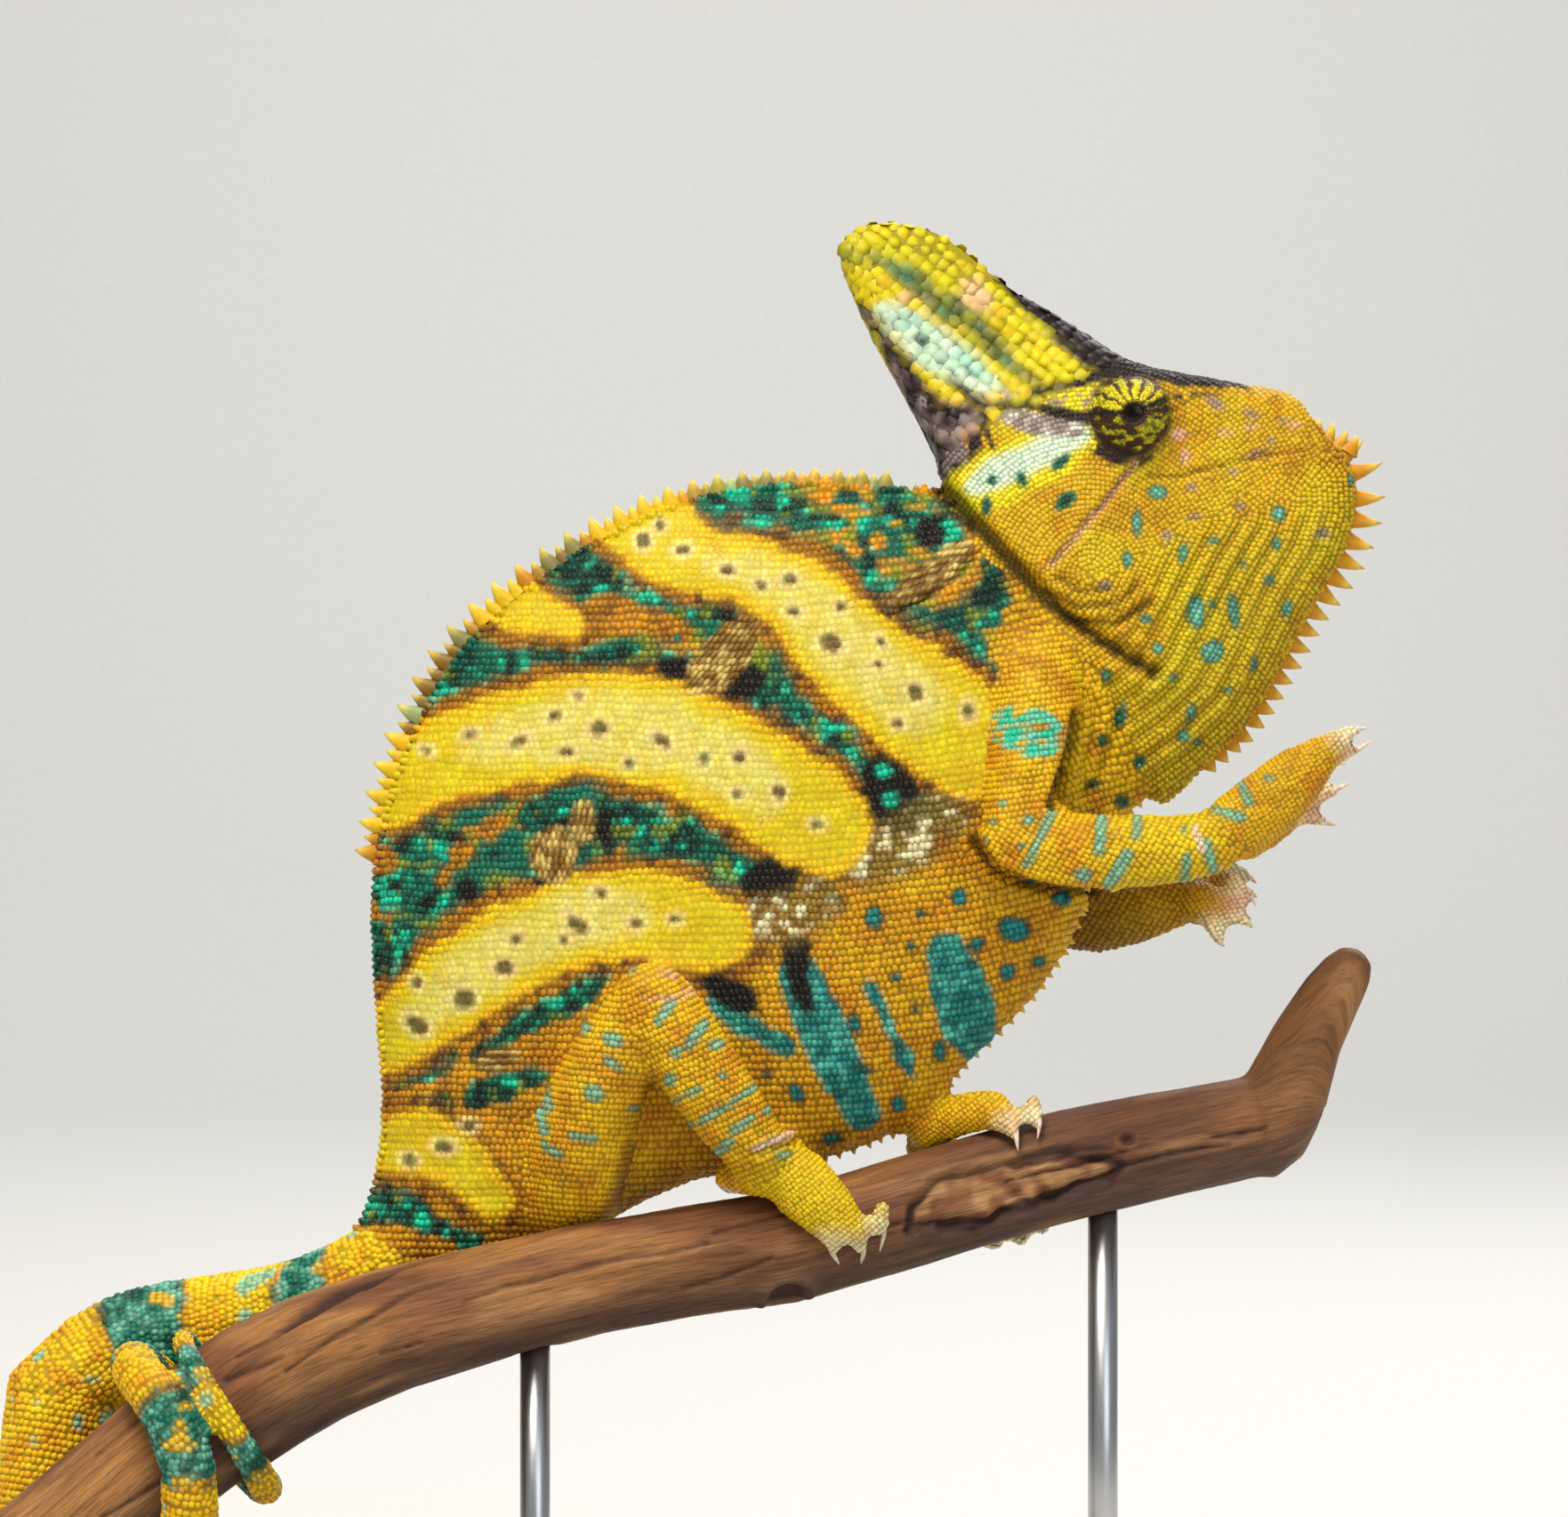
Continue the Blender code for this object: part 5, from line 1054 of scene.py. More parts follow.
def paint(points, part, pale):
    """Colour at each point, from the part of the body that it belongs to."""
    colour = np.zeros((len(points), 3))
    for names, painter in (
            (("flank",), paint_flank), (("face", "casque", "throat", "turret"), paint_head),
            (("tail",), paint_tail)):
        here = in_part(part, *names)
        colour[here] = painter(points[here])
    here = in_part(part, *LIMB_PARTS)
    colour[here] = paint_limb(points[here], pale[here])
    return np.clip(colour, 0.002, 0.95)


# %% Colour the skin
claw_tree = tree_of([cad_shape(n)[0].mean(axis=0) for n in CLAWS])
PALE_FROM, PALE_OVER, PALEST = 2.8, 5.0, 0.85       # mm from a claw, mm, share there
SKIN_SHADE, BAND_SHADE = 0.55, 0.33    # painted shade of the skin between scales: share of the markings kept, more on bands
FOLD_PAINTED_SHADE = 0.6                        # painted shade: share of colour taken away in the deepest folds


def pale_share(points, part):
    """Share of pale skin: full beside the claws and none past the toes."""
    share = np.zeros(len(points))
    for k in np.nonzero(in_part(part, "hand", "foot"))[0]:
        share[k] = claw_tree.find(points[k])[2]
        share[k] = 1 - min(max((share[k] - PALE_FROM) / PALE_OVER, 0), 1)
    return share * PALEST


skin_pale = pale_share(skin_points, skin_part)
skin_colour = paint(skin_points, skin_part, skin_pale)
skin_colour = relax(skin_colour, skin_edges, 1, 0.5)
# painted shade: colour darkened in step with each fold's depth
skin_colour *= 1 - FOLD_PAINTED_SHADE * ramp(valley, 0.1, 1.2)[:, None]
print("skin coloured", skin_colour.mean(axis=0).round(3))

# %% [markdown]
# ## How scales are laid out
# Scales of a chameleon are small raised grains that touch but don't overlap, and they lie
# in rows: level along the flank, in rings round limbs and tail, in arcs round the jaw
# muscle and along the pleats of the throat. Each part of the body gets a number field
# whose level lines are those rows. The lines are found on the skin's triangles, and grains
# are set along them at equal steps; leftover gaps are filled one grain at a time.


# %% Row fields (mm): one level line per row
def slanted(points, degrees):
    """Distance across rows that climb by some degrees towards the head."""
    turn = math.radians(degrees)
    return points[:, 2] * math.cos(turn) - points[:, 0] * math.sin(turn)


def flank_rows(points):
    """Level rows that climb gently towards the shoulder."""
    ahead = np.clip(points[:, 0], 0, 90)
    back = ramp(points[:, 2] - 0.35 * points[:, 0], 176, 192)
    return (points[:, 2] - 0.27 * ahead ** 2 / 120 + 0.6 * noise(points, 13, 61)
            + 0.55 * back * noise(points, 4.5, 62))


def throat_rows(points):
    """Rows that follow the hem of the throat pouch."""
    return from_line(points[:, [0, 2]], BEARD)


def face_rows(points):
    """Arcs round the jaw muscle."""
    return np.linalg.norm(points[:, [0, 2]] - JAW, axis=1)


def turret_rows(points):
    """Rings round the opening of the lids."""
    off = points * (1, 0, 1) + np.abs(points) * (0, 1, 0) - EYE["left"]
    turn = np.arctan2(np.hypot(off[:, 0], off[:, 2]), off[:, 1])
    return turn * TURRET


ROWS = {  # field, distance between rows, height of a grain, step along a row
    "flank": (flank_rows, 1.5, 0.38, 1.27), "throat": (throat_rows, 1.1, 0.28, 1.02),
    "face": (face_rows, 1.0, 0.2, 0.98), "casque": (lambda p: slanted(p, -39), 2.5, 0.2, 2.6),
    "turret": (turret_rows, 0.72, 0.12, 0.76),
    "arm": (lambda p: slanted(p, 8), 1.24, 0.3, 1.14),
    "forearm": (lambda p: slanted(p, 58), 1.2, 0.3, 1.08),
    "thigh": (lambda p: slanted(p, -4), 1.26, 0.32, 1.16),
    "shin": (lambda p: slanted(p, 24), 1.22, 0.32, 1.1),
    "hand": (lambda p: slanted(p, 120), 0.98, 0.2, 0.94),
    "foot": (lambda p: slanted(p, 40), 0.98, 0.2, 0.94),
    "tail": (along_tail, 1.44, 0.38, 1.36)}
print("grains from", min(row[3] for row in ROWS.values()), "mm long to",
      max(row[3] for row in ROWS.values()), "mm")


# %% Find the rows on the skin
def row_lines(field, triangles):
    """Level lines of a field at whole numbers, as lists of (corner, corner, share)."""
    at = field[triangles]
    low = np.ceil(at.min(axis=1)).astype(int)
    high = np.floor(at.max(axis=1) - 1e-9).astype(int)
    firsts, seconds = [], []
    for extra in range(int((high - low).max(initial=0)) + 1):
        level = low + extra
        chosen = np.nonzero(level <= high)[0]
        three, lev = triangles[chosen], level[chosen]
        crossed = np.stack([(field[three[:, k]] < lev) != (field[three[:, (k + 1) % 3]] < lev)
                            for k in range(3)], axis=1)
        good = crossed.sum(axis=1) == 2
        order = np.argsort(~crossed[good], axis=1, kind="stable")[:, :2]
        three, lev = three[good], lev[good]
        for k, store in ((0, firsts), (1, seconds)):
            i = np.take_along_axis(three, order[:, k:k + 1], 1)[:, 0]
            j = np.take_along_axis(three, (order[:, k:k + 1] + 1) % 3, 1)[:, 0]
            store.append(np.stack([np.minimum(i, j), np.maximum(i, j), lev], axis=1))
    ends = np.concatenate(firsts + seconds)
    half = len(ends) // 2
    keys, index = np.unique(ends, axis=0, return_inverse=True)
    index = index.ravel()
    links = [[] for _ in keys]
    for a, b in zip(index[:half], index[half:]):
        links[a].append(b)
        links[b].append(a)
    used = np.zeros(len(keys), bool)
    lines = []
    for start in sorted(range(len(keys)), key=lambda k: len(links[k])):
        if used[start]:
            continue
        used[start] = True
        line = [start]
        while ahead := [k for k in links[line[-1]] if not used[k]]:
            used[ahead[0]] = True
            line.append(ahead[0])
        if len(line) > 2 and line[0] in links[line[-1]]:
            line.append(line[0])
        lines.append(line)
    share = (keys[:, 2] - field[keys[:, 0]]) / (field[keys[:, 1]] - field[keys[:, 0]])
    return keys, np.clip(share, 0, 1), lines


# %% Set grains along the rows
def grains_on_rows(part):
    """Place, normal and row direction of each grain of one part of the body."""
    rows, pitch, _, step = ROWS[part]
    triangles = skin_triangles[in_part(skin_part[skin_triangles[:, 0]], part)]
    used, index = np.unique(triangles, return_inverse=True)
    field = rows(skin_points[used]) / pitch + 0.5
    keys, share, lines = row_lines(field, index.reshape(-1, 3))
    a, b = used[keys[:, 0]], used[keys[:, 1]]
    spots_on = skin_points[a] + (skin_points[b] - skin_points[a]) * share[:, None]
    turned = normals[a] + (normals[b] - normals[a]) * share[:, None]
    both = np.hstack([spots_on, turned])
    found = []
    for line in lines:
        track = both[line]
        gone = gone_along(track[:, :3])
        if gone[-1] < 0.4 * step:
            continue
        many = max(int(round(gone[-1] / step)), 1)
        shift = 0.5 if int(keys[line[0], 2]) % 2 else 0.0       # every other row is set off
        at = (np.arange(many) + 0.25 + shift) * gone[-1] / many
        here = np.stack([np.interp(at, gone, column) for column in track.T], axis=1)
        ahead = np.stack([np.interp(at + 0.4, gone, column) - np.interp(at - 0.4, gone, column)
                          for column in track.T[:3]], axis=1)
        found.append(np.hstack([here, ahead]))
    found = np.concatenate(found)
    return found[:, :3], found[:, 3:6], found[:, 6:]


# %% Lay out all grains
skin_triangles = np.concatenate([skin_quads[:, [0, 1, 2]], skin_quads[:, [0, 2, 3]]])
rng = np.random.default_rng(7)
laid = []
for number, part in enumerate(PART_NAMES):
    place, normal, run = grains_on_rows(part)
    laid.append((place, normal, run, np.full(len(place), number)))
place, normal, run, part_of = (np.concatenate(column) for column in zip(*laid))
print("grains on rows", len(place))


# %% Thin out crowded grains and fill the gaps
CLOSEST, WIDEST = 0.68, 0.82            # shares of a grain's size


def thin_out(place, size):
    """Which grains to keep so that none sits on another's shoulder."""
    tree = tree_of(place)
    kept = np.ones(len(place), bool)
    for k, p in enumerate(place):
        if kept[k]:
            for _, other, away in tree.find_range(p, CLOSEST * size[k]):
                if other > k and away < CLOSEST * 0.5 * (size[k] + size[other]):
                    kept[other] = False
    return kept


def gaps(place):
    """Skin points that are farther from every grain than the size there allows."""
    tree = tree_of(place)
    return np.array([k for k, p in enumerate(skin_points)
                     if tree.find(p)[2] > WIDEST * size_of_part[skin_part[k]]])


size_of_part = np.array([0.5 * (ROWS[n][1] + ROWS[n][3]) for n in PART_NAMES])
kept = thin_out(place, size_of_part[part_of])
place, normal, run, part_of = place[kept], normal[kept], run[kept], part_of[kept]
for _ in range(2):
    open_points = gaps(place)
    if not len(open_points):
        break
    kept = thin_out(skin_points[open_points], 1.3 * size_of_part[skin_part[open_points]])
    chosen = open_points[kept]
    place = np.concatenate([place, skin_points[chosen]])
    normal = np.concatenate([normal, normals[chosen]])
    run = np.concatenate([run, np.cross(normals[chosen], (0.3, 0.9, 0.1))])
    part_of = np.concatenate([part_of, skin_part[chosen]])
print("grains in all", len(place))

# %% [markdown]
# ## The grain
# Each scale is a small dome of solid mesh: a sunk rim, a shoulder and a top. Its colour is
# darkened at the rim as painted shade and lightened on the top as a painted highlight, which
# draws the rows even in soft light.

# %% Size and lie of each grain
HALF_LONG, HALF_WIDE = 0.62, 0.60       # of the step and of the distance between rows
RIDGE = 2.6                             # mm from the middle plane to a ridge's edge
normal = unit(normal)
run -= normal * (run * normal).sum(1)[:, None]
run = unit(run)
across = np.cross(normal, run)
wide, high, long = np.array([ROWS[n][1:] for n in PART_NAMES])[part_of].T
long, wide = long * HALF_LONG, wide * HALF_WIDE
grain_xz = place[:, [0, 2]]
uneven = rng.uniform(-1, 1, (len(place), 3))
place = place + (0.3 * uneven[:, :1] * long[:, None] * run
                 + 0.16 * uneven[:, 1:2] * wide[:, None] * across)
long, wide = long * (1 + 0.2 * uneven[:, 2]), wide * (1 + 0.12 * uneven[:, 0])
high = high * (1 + 0.3 * uneven[:, 1])
flank, throat, casque = (in_part(part_of, n) for n in ("flank", "throat", "casque"))
banded = flank * inside(strokes(grain_xz, BANDS), 2.0)
high = high * (1 - 0.78 * banded)                 # grains of the bands are nearly flat
middle = np.abs(place[:, 1]) < RIDGE
spread = np.where(casque, np.where(middle, 0.92, 1.22), 1.0)   # its plates meet in thin seams
long, wide = long * spread, wide * spread
high = np.where(flank & middle & (normal[:, 2] - normal[:, 0] > 0.6), 1.1, high)
high = np.where(throat & (from_line(grain_xz, BEARD) < 5.0), 0.55, high)
shrink = 1 - 0.42 * in_part(part_of, "tail") * ramp(along_tail(place), 150, 330)
long, high = long * shrink, high * shrink
for spot in BRAIDS:                       # the scales of a braid lie along it
    braided = flank & (inside(spots(grain_xz, [spot]), 0.3) > 0.5)
    lie = math.radians(spot[4] if spot[2] > spot[3] else 90 + spot[4])
    aim = np.array([math.cos(lie), 0.0, math.sin(lie)])
    aim = unit(aim - normal * (normal @ aim)[:, None])
    run = np.where(braided[:, None], aim, run)
    long, wide, high = (np.where(braided, v * f, v) for v, f in
                        ((long, 1.5), (wide, 0.66), (high, 1.15)))
across = np.cross(normal, run)
print("grain half lengths", long.min().round(2), "to", long.max().round(2), "mm")

# %% Shape and shade of a grain
GRAIN = [(1.0, -0.5), (0.8, 0.55), (0.0, 1.0)]   # radius and height of rim, shoulder, top
SIDES = 6
# painted light on a grain: a little shade on the shoulder, a painted highlight on the top
SHOULDER_SHADE, TOP_PAINTED_HIGHLIGHT = 0.97, 1.1
OWN_TONE = 0.35        # share of one colour per grain; the rest follows the marking's edge
turns = 2 * math.pi * np.arange(SIDES) / SIDES
grain_points = np.array([(r * math.cos(t), r * math.sin(t), h) for r, h in GRAIN[:2]
                         for t in turns] + [(0, 0, GRAIN[2][1])])
grain_faces = []
for j in range(SIDES):
    k = (j + 1) % SIDES
    grain_faces += [(j, k, SIDES + k), (j, SIDES + k, SIDES + j),
                    (SIDES + j, SIDES + k, 2 * SIDES)]
touching = 0.7 * np.cos(turns) ** 2    # grains of one row touch, so their ends get less painted shade


def grain_arrays(chosen):
    """Points, triangles and colours of some grains."""
    many, each = len(chosen), len(grain_points)
    plates = casque[chosen]
    ragged = 1 + np.where(plates, 0.15, 0.09)[:, None] * rng.uniform(-1, 1, (many, each))
    ragged[:, SIDES:] *= np.where(plates, 1.12, 1.0)[:, None]
    points = place[chosen][:, None]
    for aim, size, k in ((run, long, 0), (across, wide, 1)):
        step = ragged * grain_points[:, k] * size[chosen][:, None]
        points = points + aim[chosen][:, None] * step[..., None]
    step = grain_points[:, 2] * high[chosen][:, None]
    points = (points + normal[chosen][:, None] * step[..., None]).reshape(-1, 3)
    faces = np.array(grain_faces)[None] + (np.arange(many) * each)[:, None, None]
    near = paint(points, np.repeat(part_of[chosen], each), np.repeat(grain_pale[chosen], each))
    near = (OWN_TONE * grain_colour[chosen][:, None]
            + (1 - OWN_TONE) * near.reshape(many, each, 3))
    shade = np.full((many, each), SHOULDER_SHADE)
    shade[:, 2 * SIDES:] = TOP_PAINTED_HIGHLIGHT
    shade[:, :SIDES] = np.clip(0.12 + 1.05 * near[:, :1, 0], 0.2, 0.84)    # painted shade at the sunk rim, deeper on teal and dark markings
    # grains on the bands get less painted shade at the rim
    shade[:, :SIDES] += 0.14 * banded[chosen][:, None]
    shade[:, :SIDES] += (SHOULDER_SHADE - shade[:, :SIDES]) * touching
    tint = near * shade[..., None] * tone[chosen][:, None]
    return points, faces.reshape(-1, 3), np.clip(tint, 0, 1).reshape(-1, 3)


def put_colour(mesh, colour):
    """Stores a linear colour at each point of a mesh."""
    layer = mesh.color_attributes.new("marking", "FLOAT_COLOR", "POINT")
    full = np.column_stack([colour, np.ones(len(colour))]).astype(np.float32)
    layer.data.foreach_set("color", full.ravel())


# %% Colour of each grain
grain_pale = pale_share(place, part_of)
grain_colour = paint(place, part_of, grain_pale)
tone = (1 + 0.10 * rng.uniform(-1, 1, (len(place), 1))) * (
    1 + 0.05 * rng.uniform(-1, 1, (len(place), 3)))
skin_tree = tree_of(skin_points)
grain_valley = valley[[skin_tree.find(q)[1] for q in place]]
# painted shade in the folds, carried in each grain's tone
tone *= 1 - FOLD_PAINTED_SHADE * ramp(grain_valley, 0.1, 1.2)[:, None]
print("grains coloured", grain_colour.mean(axis=0).round(3))

# %% [markdown]
# ## A bake map for the scales
# When the colours are baked into a map, each grain should read one small place of it.
# So a coarse copy of the skin is cut into charts and unwrapped from its own shape, and
# every grain gets a patch 0.003 wide round the spot where its root sits on that unwrap.

# %% Unwrap a coarse skin
COARSE = 2.6          # mm
PATCH = 0.003         # share of the map
coarse_points, coarse_quads = voxel_shell(skin_points, skin_triangles, COARSE)
coarse = new_object("coarse_skin", coarse_points, coarse_quads)
coarse_part = part_of_node[nearest_node(coarse_points)]
CHARTS = [0, 1, 1, 1, 1, 2, 3, 4, 5, 6, 7, 8]       # chart group of each part
group = np.array(CHARTS)[coarse_part] * 2 + (coarse_points[:, 1] > 0)
tail_part = in_part(coarse_part, "tail")
group[tail_part] = 30 + (along_tail(coarse_points[tail_part]) // 45).astype(int)
face_group = np.sort(group[coarse_quads], axis=1)[:, 1]
bm = bmesh.new()
bm.from_mesh(coarse.data)
bm.faces.ensure_lookup_table()
for edge in bm.edges:
    beside = edge.link_faces
    edge.seam = (len(beside) != 2
                 or bool(face_group[beside[0].index] != face_group[beside[1].index]))
bm.to_mesh(coarse.data)
bm.free()
bpy.ops.object.select_all(action="DESELECT")
bpy.context.view_layer.objects.active = coarse
coarse.select_set(True)
bpy.ops.object.mode_set(mode="EDIT")
bpy.ops.mesh.select_all(action="SELECT")
bpy.ops.uv.unwrap(method="CONFORMAL", margin=0.004)
bpy.ops.object.mode_set(mode="OBJECT")
coarse_uv = np.empty(len(coarse_quads) * 8, np.float32)
coarse.data.uv_layers.active.data.foreach_get("uv", coarse_uv)
coarse_uv = coarse_uv.reshape(-1, 4, 2)
coarse_tree = BVHTree.FromPolygons(coarse_points.tolist(), coarse_quads.tolist())
bpy.data.objects.remove(coarse)
print("charts", len(np.unique(face_group)), "map from", coarse_uv.min(axis=(0, 1)).round(2),
      "to", coarse_uv.max(axis=(0, 1)).round(2))


# %% Find and store a place on the map
def place_on_map(points):
    """Map coordinates of the coarse skin nearest to each point."""
    found = np.empty((len(points), 2))
    for k, point in enumerate(points):
        near, _, face, _ = coarse_tree.find_nearest(Vector(point))
        corners = coarse_points[coarse_quads[face]]
        weight = 1.0 / (np.linalg.norm(corners - np.array(near), axis=1) + 1e-3) ** 2
        found[k] = weight @ coarse_uv[face] / weight.sum()
    return found


def put_bake_map(mesh, roots, offsets, faces):
    """Gives every corner its root's map place and a small step inside the patch."""
    each = len(offsets)
    corner = roots[faces.ravel() // each] + offsets[faces.ravel() % each] * (PATCH / 2)
    layer = mesh.uv_layers.new(name="OFBake")
    layer.data.foreach_set("uv", np.clip(corner, 0, 1).astype(np.float32).ravel())


# %% [markdown]
# ## Node helper
# Every material below is drawn with nodes. One function adds a node, sets its values and
# links its inputs.


# %% Add a node
def set_up(tree, node, values):
    """Sets inputs of a node, by name or number, to constants, or links sockets to them."""
    for key, value in values.items():
        if isinstance(value, bpy.types.NodeSocket):
            tree.links.new(value, node.inputs[key])
        else:
            node.inputs[key].default_value = value


def add(tree, kind, values=None, **settings):
    """Adds a node with its settings and inputs."""
    node = tree.nodes.new(kind)
    for name, value in settings.items():
        setattr(node, name, value)
    set_up(tree, node, values or {})
    return node


def new_material(name):
    """An empty material and its tree, with a Principled shader joined to the output."""
    made = bpy.data.materials.new(name)
    made.use_nodes = True
    tree = made.node_tree
    tree.nodes.clear()
    shader = add(tree, "ShaderNodeBsdfPrincipled")
    add(tree, "ShaderNodeOutputMaterial", {"Surface": shader.outputs["BSDF"]})
    return made, tree, shader


def colour4(code):
    """Linear colour with alpha of a #rrggbb code."""
    return (*hexed(code), 1.0)


# %% [markdown]
# ## Scaled skin
# Keratin over pigment cells: a dry, satin surface (refractive index about 1.54). The
# markings are stored at the points, with painted shade at the grains' rims, between the
# grains and in the folds, and a painted highlight on their tops. A fine noise varies each
# grain's tone, and a finer one roughens it, which breaks the highlight up as dry skin does.
# The specular level is low, since a crowd of small domes would grey the colours with
# reflected studio light.

# %% Materials of skin and scales
def skin_material(name, tone, roughness, grain, depth):
    """Satin skin; tone is the share it varies by, grain and depth are in mm."""
    made, tree, shader = new_material(name)
    mark = add(tree, "ShaderNodeAttribute", attribute_name="marking")
    place_in = add(tree, "ShaderNodeTexCoord").outputs["Object"]
    wide_noise = add(tree, "ShaderNodeTexNoise",
                     {"Vector": place_in, "Scale": 1 / (grain * MM), "Detail": 4.0})
    fine_noise = add(tree, "ShaderNodeTexNoise",
                     {"Vector": place_in, "Scale": 3.5 / (grain * MM), "Detail": 2.0})
    tone_range = add(tree, "ShaderNodeMapRange",
                     {"Value": wide_noise.outputs["Fac"], "From Min": 0.3, "From Max": 0.7,
                      "To Min": 1 - tone, "To Max": 1 + tone})
    scaled = add(tree, "ShaderNodeVectorMath",
                 {0: mark.outputs["Color"], "Scale": tone_range.outputs["Result"]},
                 operation="SCALE")
    rough = add(tree, "ShaderNodeMapRange",
                {"Value": fine_noise.outputs["Fac"], "To Min": roughness - 0.08,
                 "To Max": roughness + 0.12})
    bump = add(tree, "ShaderNodeBump", {"Height": fine_noise.outputs["Fac"],
                                        "Strength": 0.5, "Distance": depth * MM})
    set_up(tree, shader, {"Base Color": scaled.outputs["Vector"], "IOR": 1.54,
                          "Specular IOR Level": 0.22, "Roughness": rough.outputs["Result"],
                          "Normal": bump.outputs["Normal"]})
    return made


scale_keratin = skin_material("satin_keratin_scales", 0.10, 0.46, 1.2, 0.06)
bare_skin = skin_material("dry_skin_between_scales", 0.16, 0.55, 0.8, 0.08)
print("made", scale_keratin.name, "and", bare_skin.name)

# %% Build the skin and the scales
skin = new_object("skin", skin_points, skin_quads)
on_band = inside(strokes(skin_points[:, [0, 2]], BANDS), 2.0)
# the skin between the grains is darkened as painted shade
skin_tint = skin_colour * (SKIN_SHADE + BAND_SHADE * on_band)[:, None]
put_colour(skin.data, np.clip(skin_tint, 0, 1))
add_piece(skin, bare_skin)
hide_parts(*FLESH)

GROUPS = [(f"scales_{name}_{side}", parts, out, slot) for name, parts, slot in (
    ("flank", ("flank",), "skin_lemon"),
    ("head", ("face", "casque", "throat", "turret"), "skin_gold"),
    ("limbs", LIMB_PARTS, "skin_gold")) for side, out in (("right", -1), ("left", 1))]
GROUPS.append(("scales_tail", ("tail",), 0, "skin_teal"))
roots = place_on_map(place)
scale_triangles = 0
for name, parts, out, slot in GROUPS:
    here = in_part(part_of, *parts)
    if out:
        here &= (place[:, 1] * out > 0) | ((place[:, 1] == 0) & (out > 0))
    chosen = np.nonzero(here)[0]
    points, faces, tint = grain_arrays(chosen)
    piece = new_object(name, points, faces)
    put_colour(piece.data, tint)
    put_bake_map(piece.data, roots[chosen], grain_points[:, :2], faces)
    add_piece(piece, scale_keratin)
    scale_triangles += len(faces)
    print(name, len(chosen), "grains", len(faces), "triangles")
print("scale triangles", scale_triangles)

# %% [markdown]
# ## Spines of crest and beard
# Along the back and under the chin stand cone-shaped scales of horn. Their feet and tips
# are read from the solids, and each is rebuilt as a smooth cone that leans back a little.


# %% Cones
CONE_SIDES, CONE_RINGS = 8, 4


def cones(rows):
    """Curved cones: rows of base, tip, half length, half width, bend; points and faces."""
    points, faces = [], []
    around = [(j, (j + 1) % CONE_SIDES) for j in range(CONE_SIDES)]
    for base, tip, half_long, half_wide, bend in rows:
        size = np.linalg.norm(tip - base)
        axis = (tip - base) / size
        front = unit(np.cross((0.0, 1.0, 0.0), axis))
        side = np.cross(axis, front)
        start = len(points)
        for t in np.arange(CONE_RINGS) / CONE_RINGS:
            thin = (1 - t) ** 0.8
            middle = base + axis * size * t + front * bend * size * t * (1 - t)
            for a in 2 * math.pi * np.arange(CONE_SIDES) / CONE_SIDES:
                points.append(middle + front * math.cos(a) * half_long * thin
                              + side * math.sin(a) * half_wide * thin)
        points.append(tip)
        rim = len(points) - 1 - CONE_SIDES
        for low in range(start, rim, CONE_SIDES):
            for j, k in around:
                a, b = low + j, low + k
                faces += [(a, b, b + CONE_SIDES), (a, b + CONE_SIDES, a + CONE_SIDES)]
        faces += [(rim + j, rim + k, len(points) - 1) for j, k in around]
    return np.array(points), np.array(faces)


# %% Feet and tips of crest and beard
CHIN = np.array([
    [(113.4, 0, 281.4), (113.8, 0, 284.6)], [(115.4, 0.2, 280), (116.9, 0.2, 283.7)],
    [(117.3, -0.2, 278.5), (120, -0.2, 282.2)], [(118.9, 0, 276.8), (123, 0, 280)]])
SINK = 2.2              # mm that the foot of a spine reaches into the skin
CLOSE = 12              # mm between two spines that have a smaller one between them
MIDDLE_BACK = (-10.0, 200.0)
CREST_CONE, SMALL_CONE = (2.5, 1.7, -0.12), (2.0, 1.5, -0.12)   # half sizes in mm, bend
BEARD_CONE, BELLY_CONE = (2.3, 1.5, 0.16), (1.15, 1.0, 0.0)


def sunk(reach):
    """The part of a spine's axis that lies in the skin."""
    return reach * (SINK / np.linalg.norm(reach))


back = [row for row in spines if row[2] in ("trunk", "neck")]
back.sort(key=lambda row: -math.atan2(row[0][2] - MIDDLE_BACK[1], row[0][0] - MIDDLE_BACK[0])
          % (2 * math.pi))
crest_rows = []
for number, (base, tip, _) in enumerate(back):
    reach = tip - base
    crest_rows.append((base - sunk(reach), base + 0.9 * reach, *CREST_CONE))
    if number + 1 < len(back):
        next_base, next_tip, _ = back[number + 1]
        if np.linalg.norm(next_base - base) < CLOSE:
            foot = (base + next_base) / 2
            crest_rows.append((foot - sunk(reach), foot + (reach + next_tip - next_base) / 4,
                               *SMALL_CONE))
beard = [row[:2] for row in spines if row[2] not in ("trunk", "neck")] + list(CHIN)
beard_rows = [(base - sunk(tip - base), tip, *BEARD_CONE) for base, tip in beard]

# %% Row of small spines under the belly
under = np.nonzero((np.abs(skin_points[:, 1]) < 0.7) & (normals[:, 2] < -0.25)
                   & in_part(skin_part, "flank") & (skin_points[:, 0] > -5))[0]
last = None
for k in under[np.argsort(skin_points[under, 0])]:
    if last is None or np.linalg.norm(skin_points[k] - last) > 2.5:
        last = skin_points[k] * (1, 0, 1)
        crest_rows.append((last - normals[k], last + normals[k] * 1.5, *BELLY_CONE))
print("spines of the crest and belly", len(crest_rows), "of the beard", len(beard_rows))

